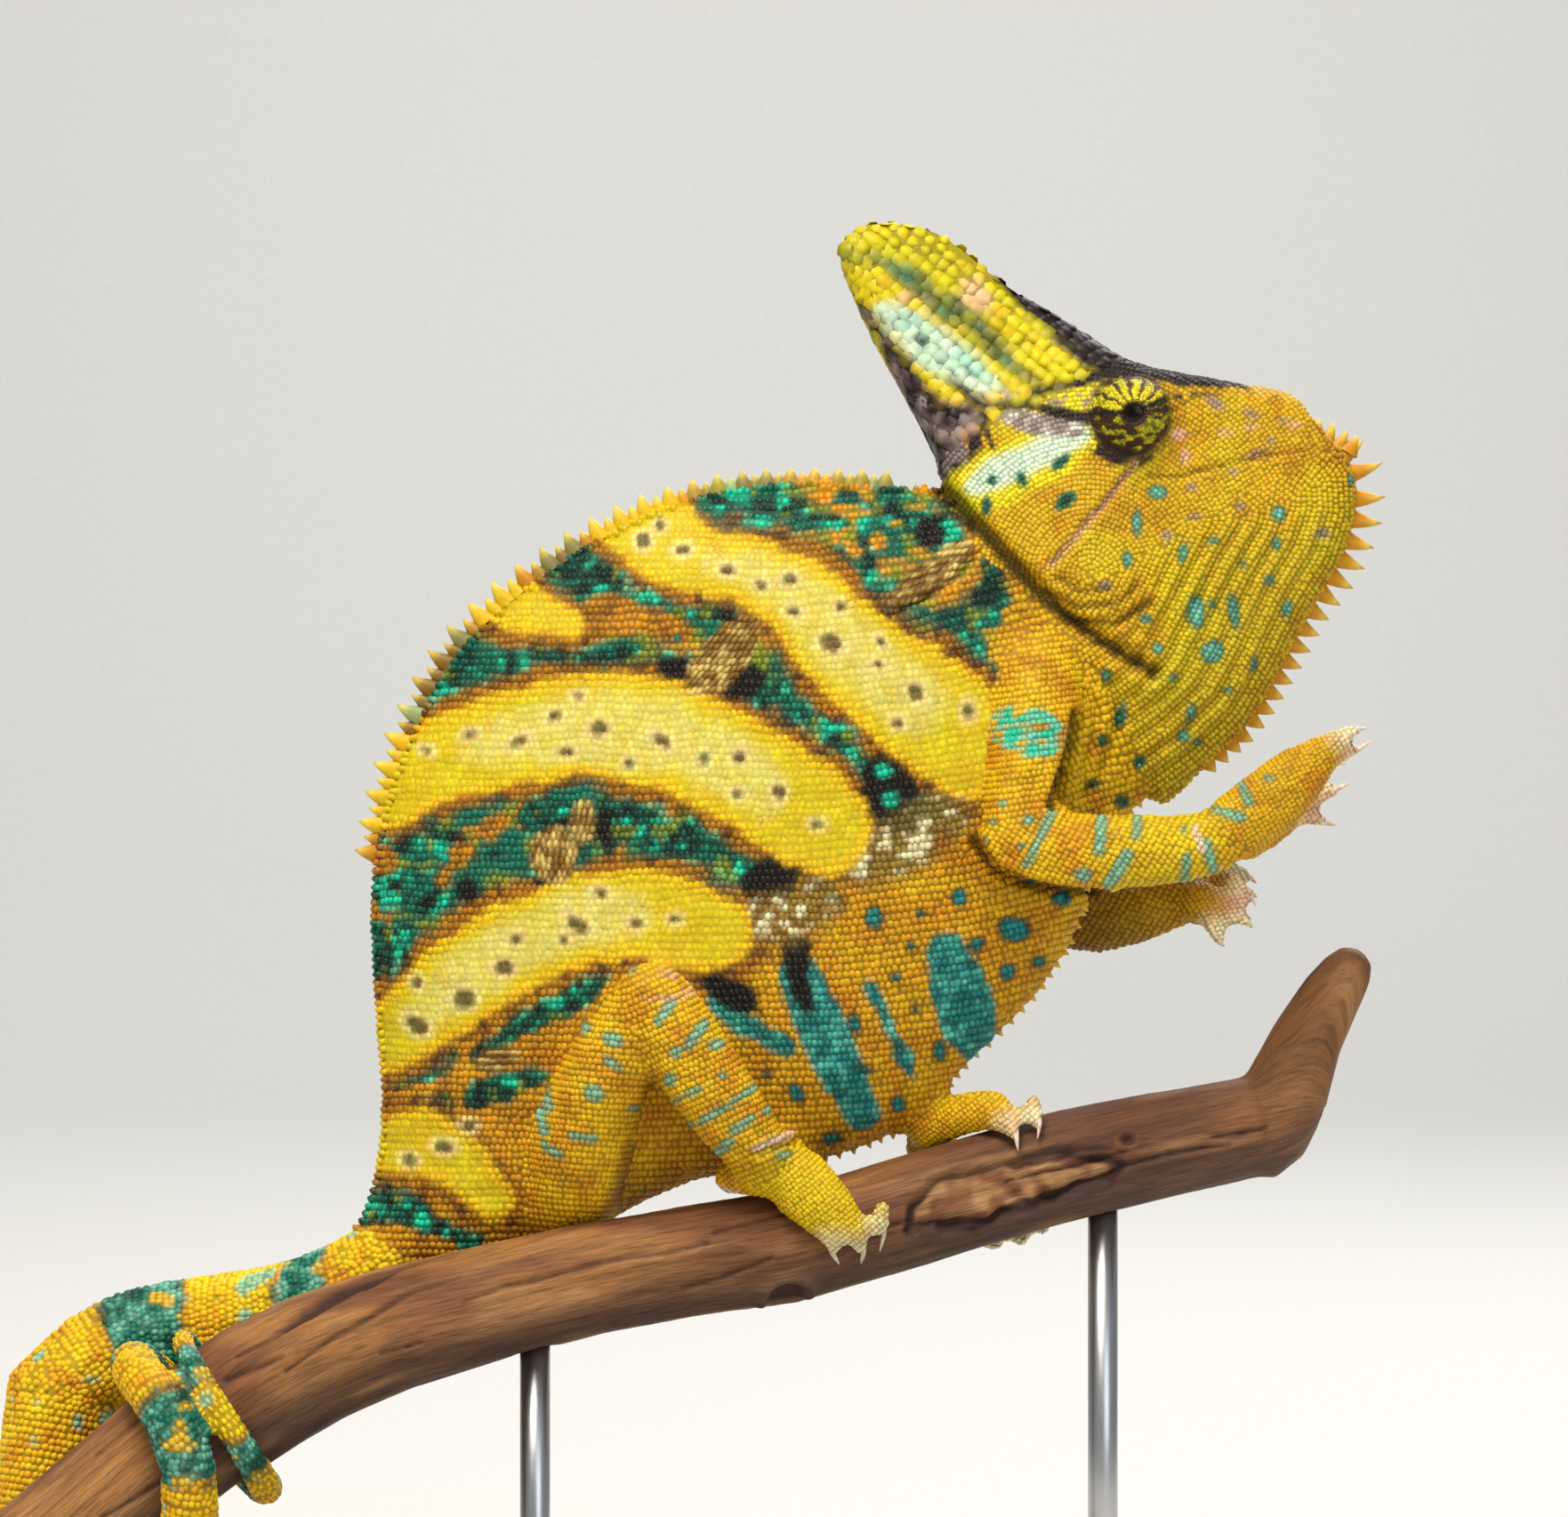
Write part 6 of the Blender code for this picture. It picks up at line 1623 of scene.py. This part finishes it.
# %% Build the spines
crest_places = np.array([row[0] * 0.4 + row[1] * 0.6 for row in crest_rows])
crest_tint = lay(paint_flank(crest_places), np.full(len(crest_rows), 0.3), GOLD)
beard_tint = np.tile(mix(AMBER, GOLD, [0.7]), (len(beard_rows), 1))
for name, rows, hues in (("crest_spines", crest_rows, crest_tint),
                         ("beard_spines", beard_rows, beard_tint)):
    points, faces = cones(rows)
    each = len(points) // len(rows)
    up = np.append(np.repeat(np.arange(CONE_RINGS) / CONE_RINGS, CONE_SIDES), 1.0)
    tint = lay(np.repeat(hues, each, axis=0), 0.8 * ramp(np.tile(up, len(rows)), 0.35, 1.0),
               mix(GOLDEN, PALE, [0.6]))
    piece = new_object(name, points, faces)
    put_colour(piece.data, np.clip(tint, 0, 1))
    offsets = np.tile([[0.7, 0], [0, 0.7], [-0.7, 0], [0, -0.7]], (9, 1))[:each]
    put_bake_map(piece.data, place_on_map([row[0] for row in rows]), offsets, faces)
    add_piece(piece, scale_keratin)
    print(name, len(rows))

# %% [markdown]
# ## Eyes
# Only a dark pupil and a thin golden ring show. The cornea is wet and clear, so the eye is
# one smooth ball with its colours inside and a glossy coat over them.

# %% Eyeballs
eye_made, tree, shader = new_material("wet_cornea_over_golden_iris")
mark = add(tree, "ShaderNodeAttribute", attribute_name="marking")
iris = add(tree, "ShaderNodeTexNoise",
           {"Vector": add(tree, "ShaderNodeTexCoord").outputs["Object"],
            "Scale": 1 / (0.25 * MM)})
fleck = add(tree, "ShaderNodeMapRange", {"Value": iris.outputs["Fac"], "To Min": 0.6,
                                         "To Max": 1.4})
fibres = add(tree, "ShaderNodeVectorMath", {0: mark.outputs["Color"],
                                            "Scale": fleck.outputs["Result"]},
             operation="SCALE")
set_up(tree, shader, {"Base Color": fibres.outputs["Vector"], "Roughness": 0.25,
                      "Specular IOR Level": 0.25, "IOR": 1.376, "Coat Weight": 0.15,
                      "Coat Roughness": 0.05, "Coat IOR": 1.376})
PUPIL_EDGE, RING_EDGE = (13.6, 14.6), (15.6, 17)        # degrees from the ball's axis
for side in ("right", "left"):
    low, high_corner = (np.array(v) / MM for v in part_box(f"eyeball_{side}"))
    radius = (high_corner[2] - low[2]) / 2
    centre = (low + high_corner) / 2
    points, faces = ball((0, 0, 0), 1.0, rings=32, sides=64)
    points = points[:, [0, 2, 1]] * (1, 1, -1)
    out = -1 if side == "right" else 1
    from_axis = np.degrees(np.arccos(np.clip(points[:, 1] * out, -1, 1)))
    iris_tint = mix(hexed("#050303"), hexed("#5d3c10"), ramp(from_axis, *PUPIL_EDGE))
    iris_tint = lay(iris_tint, ramp(from_axis, *RING_EDGE), hexed("#241407"))
    piece = new_object(f"eye_{side}", points * radius + centre, faces)
    put_colour(piece.data, iris_tint)
    add_piece(piece, eye_made)
    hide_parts(f"eyeball_{side}")
    print("eye", side, "radius", round(radius, 2), "centre", centre.round(1))

# %% [markdown]
# ## Claws
# Hooked horn, pale pinkish tan with a mottled tone and a little translucent. Each is
# the solid's own shape, subdivided until it is round, with its point kept sharp.

# %% Claws
claw_made, tree, shader = new_material("translucent_claw_horn")
place_in = add(tree, "ShaderNodeTexCoord").outputs["Object"]
grain_in = add(tree, "ShaderNodeTexNoise", {"Vector": place_in, "Scale": 0.9 / MM, "Detail": 5.0})
horn = add(tree, "ShaderNodeValToRGB", {"Fac": grain_in.outputs["Fac"]})
horn.color_ramp.elements[0].color = colour4("#b39b80")
horn.color_ramp.elements[0].position = 0.3
horn.color_ramp.elements[1].color = colour4("#e6dac4")
horn.color_ramp.elements[1].position = 0.7
bump = add(tree, "ShaderNodeBump", {"Height": grain_in.outputs["Fac"], "Strength": 0.3,
                                    "Distance": 0.1 * MM})
set_up(tree, shader, {"Base Color": horn.outputs["Color"], "Roughness": 0.32, "IOR": 1.54,
                      "Subsurface Weight": 0.15, "Subsurface Scale": 0.5 * MM,
                      "Normal": bump.outputs["Normal"]})
for name in CLAWS:
    points, faces = cad_shape(name)
    claw = new_object(name.replace("claw", "horn"), points, faces)
    pin = claw.data.attributes.new("crease_vert", "FLOAT", "POINT")   # keeps the tip sharp
    for tip, _ in pointed_corners(points, faces, most=150.0):
        pin.data[int(tip)].value = 1.0
    smooth = claw.modifiers.new("round", "SUBSURF")
    smooth.levels = smooth.render_levels = 2
    claw = new_object(name.replace("claw", "horn"), *evaluated(claw))
    add_piece(claw, claw_made)
    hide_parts(name)
print("claws", len(CLAWS))

# %% [markdown]
# ## The branch
# Barkless driftwood, worn smooth: warm brown grain along the branch, long drying cracks, a
# knot hollow and sawn ends. Its long cracks are real valleys in the mesh.

# %% Carve the branch
WOOD_VOXEL = 0.68
points, faces = cad_shape("perch")
wood_points, wood_quads = voxel_shell(points, faces, WOOD_VOXEL)
wood_edges = edges_of(wood_quads)
wood_points = relax(wood_points, wood_edges, 12, 0.4)
wood_normals = point_normals(wood_points, wood_quads)


def on_branch(points):
    """Distance along the branch and turn round it in degrees (90 faces the viewer)."""
    tree = tree_of(branch[:, :3])
    at = np.array([tree.find(p)[1] for p in points])
    gone = gone_along(branch[:, :3])[at]
    off = points - branch[at, :3]
    gone = gone + (off * branch_run[at]).sum(1)
    turn = np.degrees(np.arctan2((off * branch_near[at]).sum(1), (off * branch_up[at]).sum(1)))
    return gone, turn


wood_gone, wood_turn = on_branch(wood_points)
print("branch", round(wood_gone.max() - wood_gone.min()), "mm", len(wood_quads), "squares")

# %% Cracks, hollow and knots in side view (x, z, half width; depths in mm)
CRACKS = [
    [(-102.3, 98, 0.2), (-95.9, 101, 0.35), (-90.8, 104.9, 0.8), (-85.6, 108, 1.1),
     (-80.6, 111.3, 1.5), (-75.3, 113.2, 1.3), (-70.8, 115.1, 0.6), (-62.5, 117.4, 0.3),
     (-52.9, 120.4, 0.25), (-43.3, 123, 0.1)],
    [(-92.1, 95.1, 0.1), (-83.2, 101.5, 0.2), (-74.2, 106.4, 0.25), (-68.9, 109.7, 0.3),
     (-62.5, 111.9, 0.2), (-57.9, 113.2, 0.1)],
    [(-104.4, 93.2, 0.2), (-98, 95.8, 0.25), (-92.7, 98, 0.1)],
    [(-57.4, 108.3, 0.1), (-49.8, 111.3, 0.2), (-41.4, 112.9, 0.15), (-33.8, 115, 0.3),
     (-26.1, 116.6, 0.25), (-17.2, 117.4, 0.15), (-9.4, 119.4, 0.2)],
    [(-8.2, 121.3, 0.1), (-0.5, 123.7, 0.2), (6.8, 125.2, 0.1)],
    [(-14.3, 110.1, 0.1), (-5.7, 112.5, 0.2), (3.2, 116.1, 0.1)],
    [(-73.3, 98.4, 0.1), (-65.8, 100.3, 0.15)],
    [(-128, 66.6, 0.2), (-115.9, 73.8, 0.2)], [(-130, 78.6, 0.1), (-118, 88.8, 0.2)],
    [(37.2, 121.2, 0.5), (43.7, 120.8, 0.8), (50.2, 123.9, 0.8), (56.8, 125.7, 0.6),
     (63.3, 128.4, 0.7), (68.5, 131, 0.4), (72.5, 133, 0.2)],
    [(50.2, 131.6, 0.3), (56.8, 133, 0.5), (63.3, 134.3, 0.4), (69.8, 136, 0.5),
     (73.7, 136.9, 0.3)],
    [(73, 133.9, 0.3), (81.9, 136.2, 0.5), (89.7, 137.6, 0.4), (94.8, 138, 0.1)],
    [(91.7, 139.6, 0.2), (97.5, 140.4, 0.45), (102.8, 141.5, 0.1)],
    [(23.2, 121.3, 0.1), (30.8, 123.5, 0.3)],
    [(53.4, 136.2, 0.5), (58.7, 137.2, 0.8), (66.5, 137.6, 0.6), (71.1, 137.6, 0.3)]]
HOLLOW = [(30.8, 121.5, 0.5), (33.8, 124.6, 3.4), (38.6, 126.9, 5.8), (44.4, 128.3, 6.6),
          (53.3, 130.5, 5.2), (62.1, 132.4, 4.5), (69.2, 133.1, 2.8), (73.3, 134.3, 1.1)]
KNOTS = [(6.1, 107.9, 3.9, 2.6, 20), (74.4, 139.2, 1.1, 0.9, 0), (101, 164, 1.3, 1.1, 60),
         (-147, 55, 3, 2, 30)]
FAR_CRACKS = [[(x + 9, z + 1, w) for x, z, w in path] for path in CRACKS[:2]]
FAR_CRACKS += [[(x - 20, z - 2.2, w) for x, z, w in CRACKS[3]],
               [(30, 125, 0.2), (44, 130, 0.5), (60, 134, 0.4), (74, 138, 0.1)]]
print("cracks", len(CRACKS), "near and", len(FAR_CRACKS), "far, knots", len(KNOTS))

# %% Press the cracks and knots in
SIDE_EDGES = ((5, 22), (-172, -155))    # degrees round the branch, soft edges of a side
near_side, far_side = (ramp(t, *SIDE_EDGES[0]) * ramp(-t, *SIDE_EDGES[1])
                       for t in (wood_turn, -wood_turn))
wood_xz = wood_points[:, [0, 2]]
jitter = 0.35 * noise(wood_points, 5, 71)
near_crack = strokes(wood_xz, CRACKS) + 0.15 * noise(wood_points, 1.5, 72) + 0.3 * jitter
far_crack = strokes(wood_xz, FAR_CRACKS) + 0.3 * jitter
crack = np.maximum(near_side * inside(near_crack, 0.55), far_side * inside(far_crack, 0.55))
hollow_away = stroke(wood_xz, HOLLOW) + 0.8 * noise(wood_points, 5, 73)
hollow = near_side * inside(hollow_away, 0.5)
knot_away = spots(wood_xz, KNOTS)
knot = near_side * inside(knot_away, 0.5)
wood_round = np.column_stack([np.cos(np.radians(wood_turn)), np.sin(np.radians(wood_turn))])
grain_wave = noise(np.column_stack([wood_gone / 14, wood_round * 4.2]), 1.0, 74)
push = (-1.1 * crack - 2.6 * hollow * (0.75 + 0.5 * noise(wood_points, 3, 75))
        - 0.9 * knot + near_side * 0.8 * np.exp(-((knot_away - 0.9) / 0.9) ** 2)
        + 0.22 * grain_wave - 0.25)
wood_points = wood_points + push[:, None] * wood_normals
print("deepest crack", -push.min().round(2), "mm")

# %% Colours of the wood
# painted shade: the branch is darker purple-brown towards its underside
wood_underside_shade = ramp(-wood_round[:, 0], -0.25, 0.75)
TAN, WARM, PURPLE, RUSSET, STRAW, PITCH = (hexed(code) for code in (
    "#966635", "#77492a", "#4f3a30", "#66402a", "#a97e50", "#2e120c"))
# the hollow's rim gets painted shade, widest on its lower side
edge = np.abs(hollow_away + 0.5) - 0.9 * ramp(-wood_turn, -60, -95) - 0.3
wood_colour = mix(TAN, WARM, ramp(noise(wood_points * (0.35, 1, 1), 7, 76), -0.5, 0.6))
for share, tint in (
        (ramp(wood_points[:, 0], 15, 50), RUSSET),
        (0.5 * ramp(wood_points[:, 0], 84, 100), TAN),
        (0.85 * wood_underside_shade, PURPLE),
        (0.4 * ramp(grain_wave, 0, 0.8), STRAW),
        (0.8 * hollow, mix(STRAW, WARM, ramp(noise(wood_points, 3, 77), -0.3, 0.5))),
        # painted shade: the hollow's rim and the cracks are painted near-black
        (0.88 * near_side * inside(edge, 0.35), PITCH), (0.92 * crack, PITCH),
        (0.75 * knot, PITCH * 1.6)):
    wood_colour = lay(wood_colour, share, tint)
print("mean colour of the wood", wood_colour.mean(axis=0).round(3))

# %% [markdown]
# ## Old dry wood
# Worn by weather and hands, without bark or varnish: pale and dark fibres run along the
# branch, a few mm long and tenths of a mm wide, in a dull, faintly satin surface. The
# fibres follow the branch because their noise is stretched along its own length.

# %% Material of the branch
wood_made, tree, shader = new_material("weathered_barkless_wood")
mark = add(tree, "ShaderNodeAttribute", attribute_name="marking")
fibre = add(tree, "ShaderNodeAttribute", attribute_name="fibre").outputs["Vector"]
broad = add(tree, "ShaderNodeTexNoise", {"Vector": fibre, "Scale": 0.55, "Detail": 5.0})
streaks = add(tree, "ShaderNodeTexNoise", {"Vector": fibre, "Scale": 2.4, "Detail": 6.0,
                                           "Roughness": 0.7})
tone = add(tree, "ShaderNodeMapRange", {"Value": broad.outputs["Fac"], "From Min": 0.3,
                                        "From Max": 0.7, "To Min": 0.72, "To Max": 1.28})
vein = add(tree, "ShaderNodeMapRange", {"Value": streaks.outputs["Fac"], "From Min": 0.38,
                                        "From Max": 0.56, "To Min": 0.55, "To Max": 1.08})
both = add(tree, "ShaderNodeMath", {0: tone.outputs["Result"], 1: vein.outputs["Result"]},
           operation="MULTIPLY")
coloured = add(tree, "ShaderNodeVectorMath", {0: mark.outputs["Color"],
                                              "Scale": both.outputs["Value"]},
               operation="SCALE")
rough = add(tree, "ShaderNodeMapRange", {"Value": streaks.outputs["Fac"], "To Min": 0.5,
                                         "To Max": 0.78})
bump = add(tree, "ShaderNodeBump", {"Height": streaks.outputs["Fac"], "Strength": 0.6,
                                    "Distance": 0.35 * MM})
set_up(tree, shader, {"Base Color": coloured.outputs["Vector"], "IOR": 1.5,
                      "Specular IOR Level": 0.3, "Roughness": rough.outputs["Result"],
                      "Normal": bump.outputs["Normal"]})

# %% Build the branch
FIBRE_LONG, FIBRE_WIDE, RADIUS = 16, 1.2, 12        # mm; fibres run along the branch
branch_piece = new_object("branch", wood_points, wood_quads)
put_colour(branch_piece.data, np.clip(wood_colour, 0, 1))
layer = branch_piece.data.attributes.new("fibre", "FLOAT_VECTOR", "POINT")
fibre_at = np.column_stack([wood_gone / FIBRE_LONG, RADIUS * wood_round / FIBRE_WIDE])
layer.data.foreach_set("vector", fibre_at.astype(np.float32).ravel())
add_piece(branch_piece, wood_made)
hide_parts("perch")
print("branch", len(wood_points), "points, fibres", FIBRE_LONG, "x", FIBRE_WIDE, "mm")

# %% [markdown]
# ## The stand
# A plain display stand: a board painted satin black, with rounded edges, and two brushed
# steel rods that hold the branch. It isn't part of the animal's place in nature.

# %% Paint and steel
paint_made, tree, shader = new_material("satin_black_paint_on_board")
place_in = add(tree, "ShaderNodeTexCoord").outputs["Object"]
peel = add(tree, "ShaderNodeTexNoise", {"Vector": place_in, "Scale": 0.7 / MM, "Detail": 3.0})
dust = add(tree, "ShaderNodeTexNoise", {"Vector": place_in, "Scale": 1 / (25 * MM), "Detail": 6.0})
tone = add(tree, "ShaderNodeValToRGB", {"Fac": dust.outputs["Fac"]})
tone.color_ramp.elements[0].color = colour4("#15151a")
tone.color_ramp.elements[1].color = colour4("#222226")
rough = add(tree, "ShaderNodeMapRange", {"Value": dust.outputs["Fac"], "To Min": 0.3,
                                         "To Max": 0.5})
bump = add(tree, "ShaderNodeBump", {"Height": peel.outputs["Fac"], "Strength": 0.15,
                                    "Distance": 0.1 * MM})
set_up(tree, shader, {"Base Color": tone.outputs["Color"], "Roughness": rough.outputs["Result"],
                      "IOR": 1.5, "Normal": bump.outputs["Normal"]})

steel_made, tree, shader = new_material("brushed_steel_rod")
place_in = add(tree, "ShaderNodeTexCoord").outputs["Object"]
stretch = add(tree, "ShaderNodeMapping", {"Vector": place_in, "Scale": (1.0, 1.0, 0.03)})
lines = add(tree, "ShaderNodeTexNoise", {"Vector": stretch.outputs["Vector"],
                                         "Scale": 9 / MM, "Detail": 3.0})
rough = add(tree, "ShaderNodeMapRange", {"Value": lines.outputs["Fac"], "To Min": 0.22,
                                         "To Max": 0.42})
bump = add(tree, "ShaderNodeBump", {"Height": lines.outputs["Fac"], "Strength": 0.2,
                                    "Distance": 0.03 * MM})
set_up(tree, shader, {"Base Color": colour4("#b9bbbd"), "Metallic": 1.0,
                      "Roughness": rough.outputs["Result"], "Normal": bump.outputs["Normal"]})
print("made", paint_made.name, "and", steel_made.name)

# %% Board and rods
low, top = (np.array(v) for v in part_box("stand_base"))
print("stand base mm", ((top - low) / MM).round(1))
EDGE = 2.0 * MM         # rounding of the board's edges
for name in ("stand_base", "stand_rod_rear", "stand_rod_front"):
    points, faces = cad_shape(name)
    made = new_object(name.replace("stand", "display"), points, faces)
    bm = bmesh.new()
    bm.from_mesh(made.data)
    bmesh.ops.dissolve_limit(bm, angle_limit=0.01, verts=bm.verts, edges=bm.edges)
    bm.to_mesh(made.data)
    bm.free()
    if name == "stand_base":
        rounded = made.modifiers.new("rounded", "BEVEL")
        rounded.width, rounded.segments, rounded.limit_method = EDGE, 4, "ANGLE"
        rounded.angle_limit = math.radians(40)
        add_piece(made, paint_made)
    else:
        add_piece(made, steel_made)
    for polygon in made.data.polygons:
        polygon.use_smooth = True
    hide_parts(name)

# %% [markdown]
# ## Floor, light and camera
# A plain pale sweep, a large soft light above and in front, a weaker one from behind and
# a camera level with the animal's flank, square to its right side.

# %% Floor (mm)
floor_made, tree, shader = new_material("matt_paper_sweep")
place_in = add(tree, "ShaderNodeTexCoord").outputs["Object"]
fleck = add(tree, "ShaderNodeTexNoise", {"Vector": place_in, "Scale": 0.3 / MM, "Detail": 4.0})
tone = add(tree, "ShaderNodeValToRGB", {"Fac": fleck.outputs["Fac"]})
tone.color_ramp.elements[0].color = colour4("#d2d1cd")
tone.color_ramp.elements[1].color = colour4("#dbdad6")
set_up(tree, shader, {"Base Color": tone.outputs["Color"], "Roughness": 0.9})

FRONT, BEND_FROM, BEND, TOP, HALF_WIDTH = -4000, 2400, 1000, 5000, 4000
sweep = [(FRONT, 0), *[(BEND_FROM + BEND * math.sin(a), BEND - BEND * math.cos(a))
                       for a in np.linspace(0, math.pi / 2, 13)], (BEND_FROM + BEND, TOP)]
floor = new_object("floor", [(x, y, z) for y, z in sweep for x in (-HALF_WIDTH, HALF_WIDTH)],
                   [(k, k + 1, k + 3, k + 2) for k in range(0, 2 * len(sweep) - 2, 2)])
floor.data.materials.append(floor_made)
floor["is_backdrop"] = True

print("sweep", len(sweep) - 1, "strips")

# %% Light (places in m, power in W)
LIGHTS = {              # place, target, side of the square, power, colour
    "key": ((-0.35, -0.85, 1.8), (0, 0, 0.2), 0.9, 44, "#fff6e8"),
    "fill": ((1.0, -1.7, 0.95), (0, 0, 0.2), 1.2, 10, "#eef4ff"),
    "rim": ((0.6, 1.2, 1.4), (0, 0, 0.22), 0.9, 14, "#ffffff"),
    "backdrop_wash": ((0, 2.1, 2.4), (0, 3.4, 0.7), 1.6, 32, "#ffffff")}
world = bpy.data.worlds.new("studio")
bpy.context.scene.world = world
world.use_nodes = True
set_up(world.node_tree, world.node_tree.nodes["Background"],
       {"Color": colour4("#e9edf2"), "Strength": 0.36})
for name, (here, target, size, power, tint) in LIGHTS.items():
    lamp = bpy.data.lights.new(name, "AREA")
    lamp.size, lamp.energy, lamp.color = size, power, hexed(tint)
    made = add_object(name, lamp)
    made.location = here
    made.rotation_euler = (Vector(target) - Vector(here)).to_track_quat("-Z", "Y").to_euler()
print("lights", len(LIGHTS))

# %% Camera, square to the right side (m; lens and sensor in mm)
FOCAL, SENSOR, CAMERA_AT = 136.1, 36.0, (0.00567, -1.2, 0.2155)
camera = bpy.data.cameras.new("camera")
camera.lens, camera.sensor_width = FOCAL, SENSOR
camera_object = add_object("camera", camera)
camera_object.location = CAMERA_AT
camera_object.rotation_euler = (math.radians(90), 0, 0)
bpy.context.scene.camera = camera_object
bpy.context.scene.view_settings.view_transform = "Standard"
print("width in view at the middle plane", round(-CAMERA_AT[1] * SENSOR / FOCAL / MM), "mm")

# %% Print the sizes of the solids and of the model
new_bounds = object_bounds()
for label, (low, top) in (("solids", cad_bounds), ("model", new_bounds)):
    print(label, [round(v / MM, 1) for v in low], [round(v / MM, 1) for v in top])
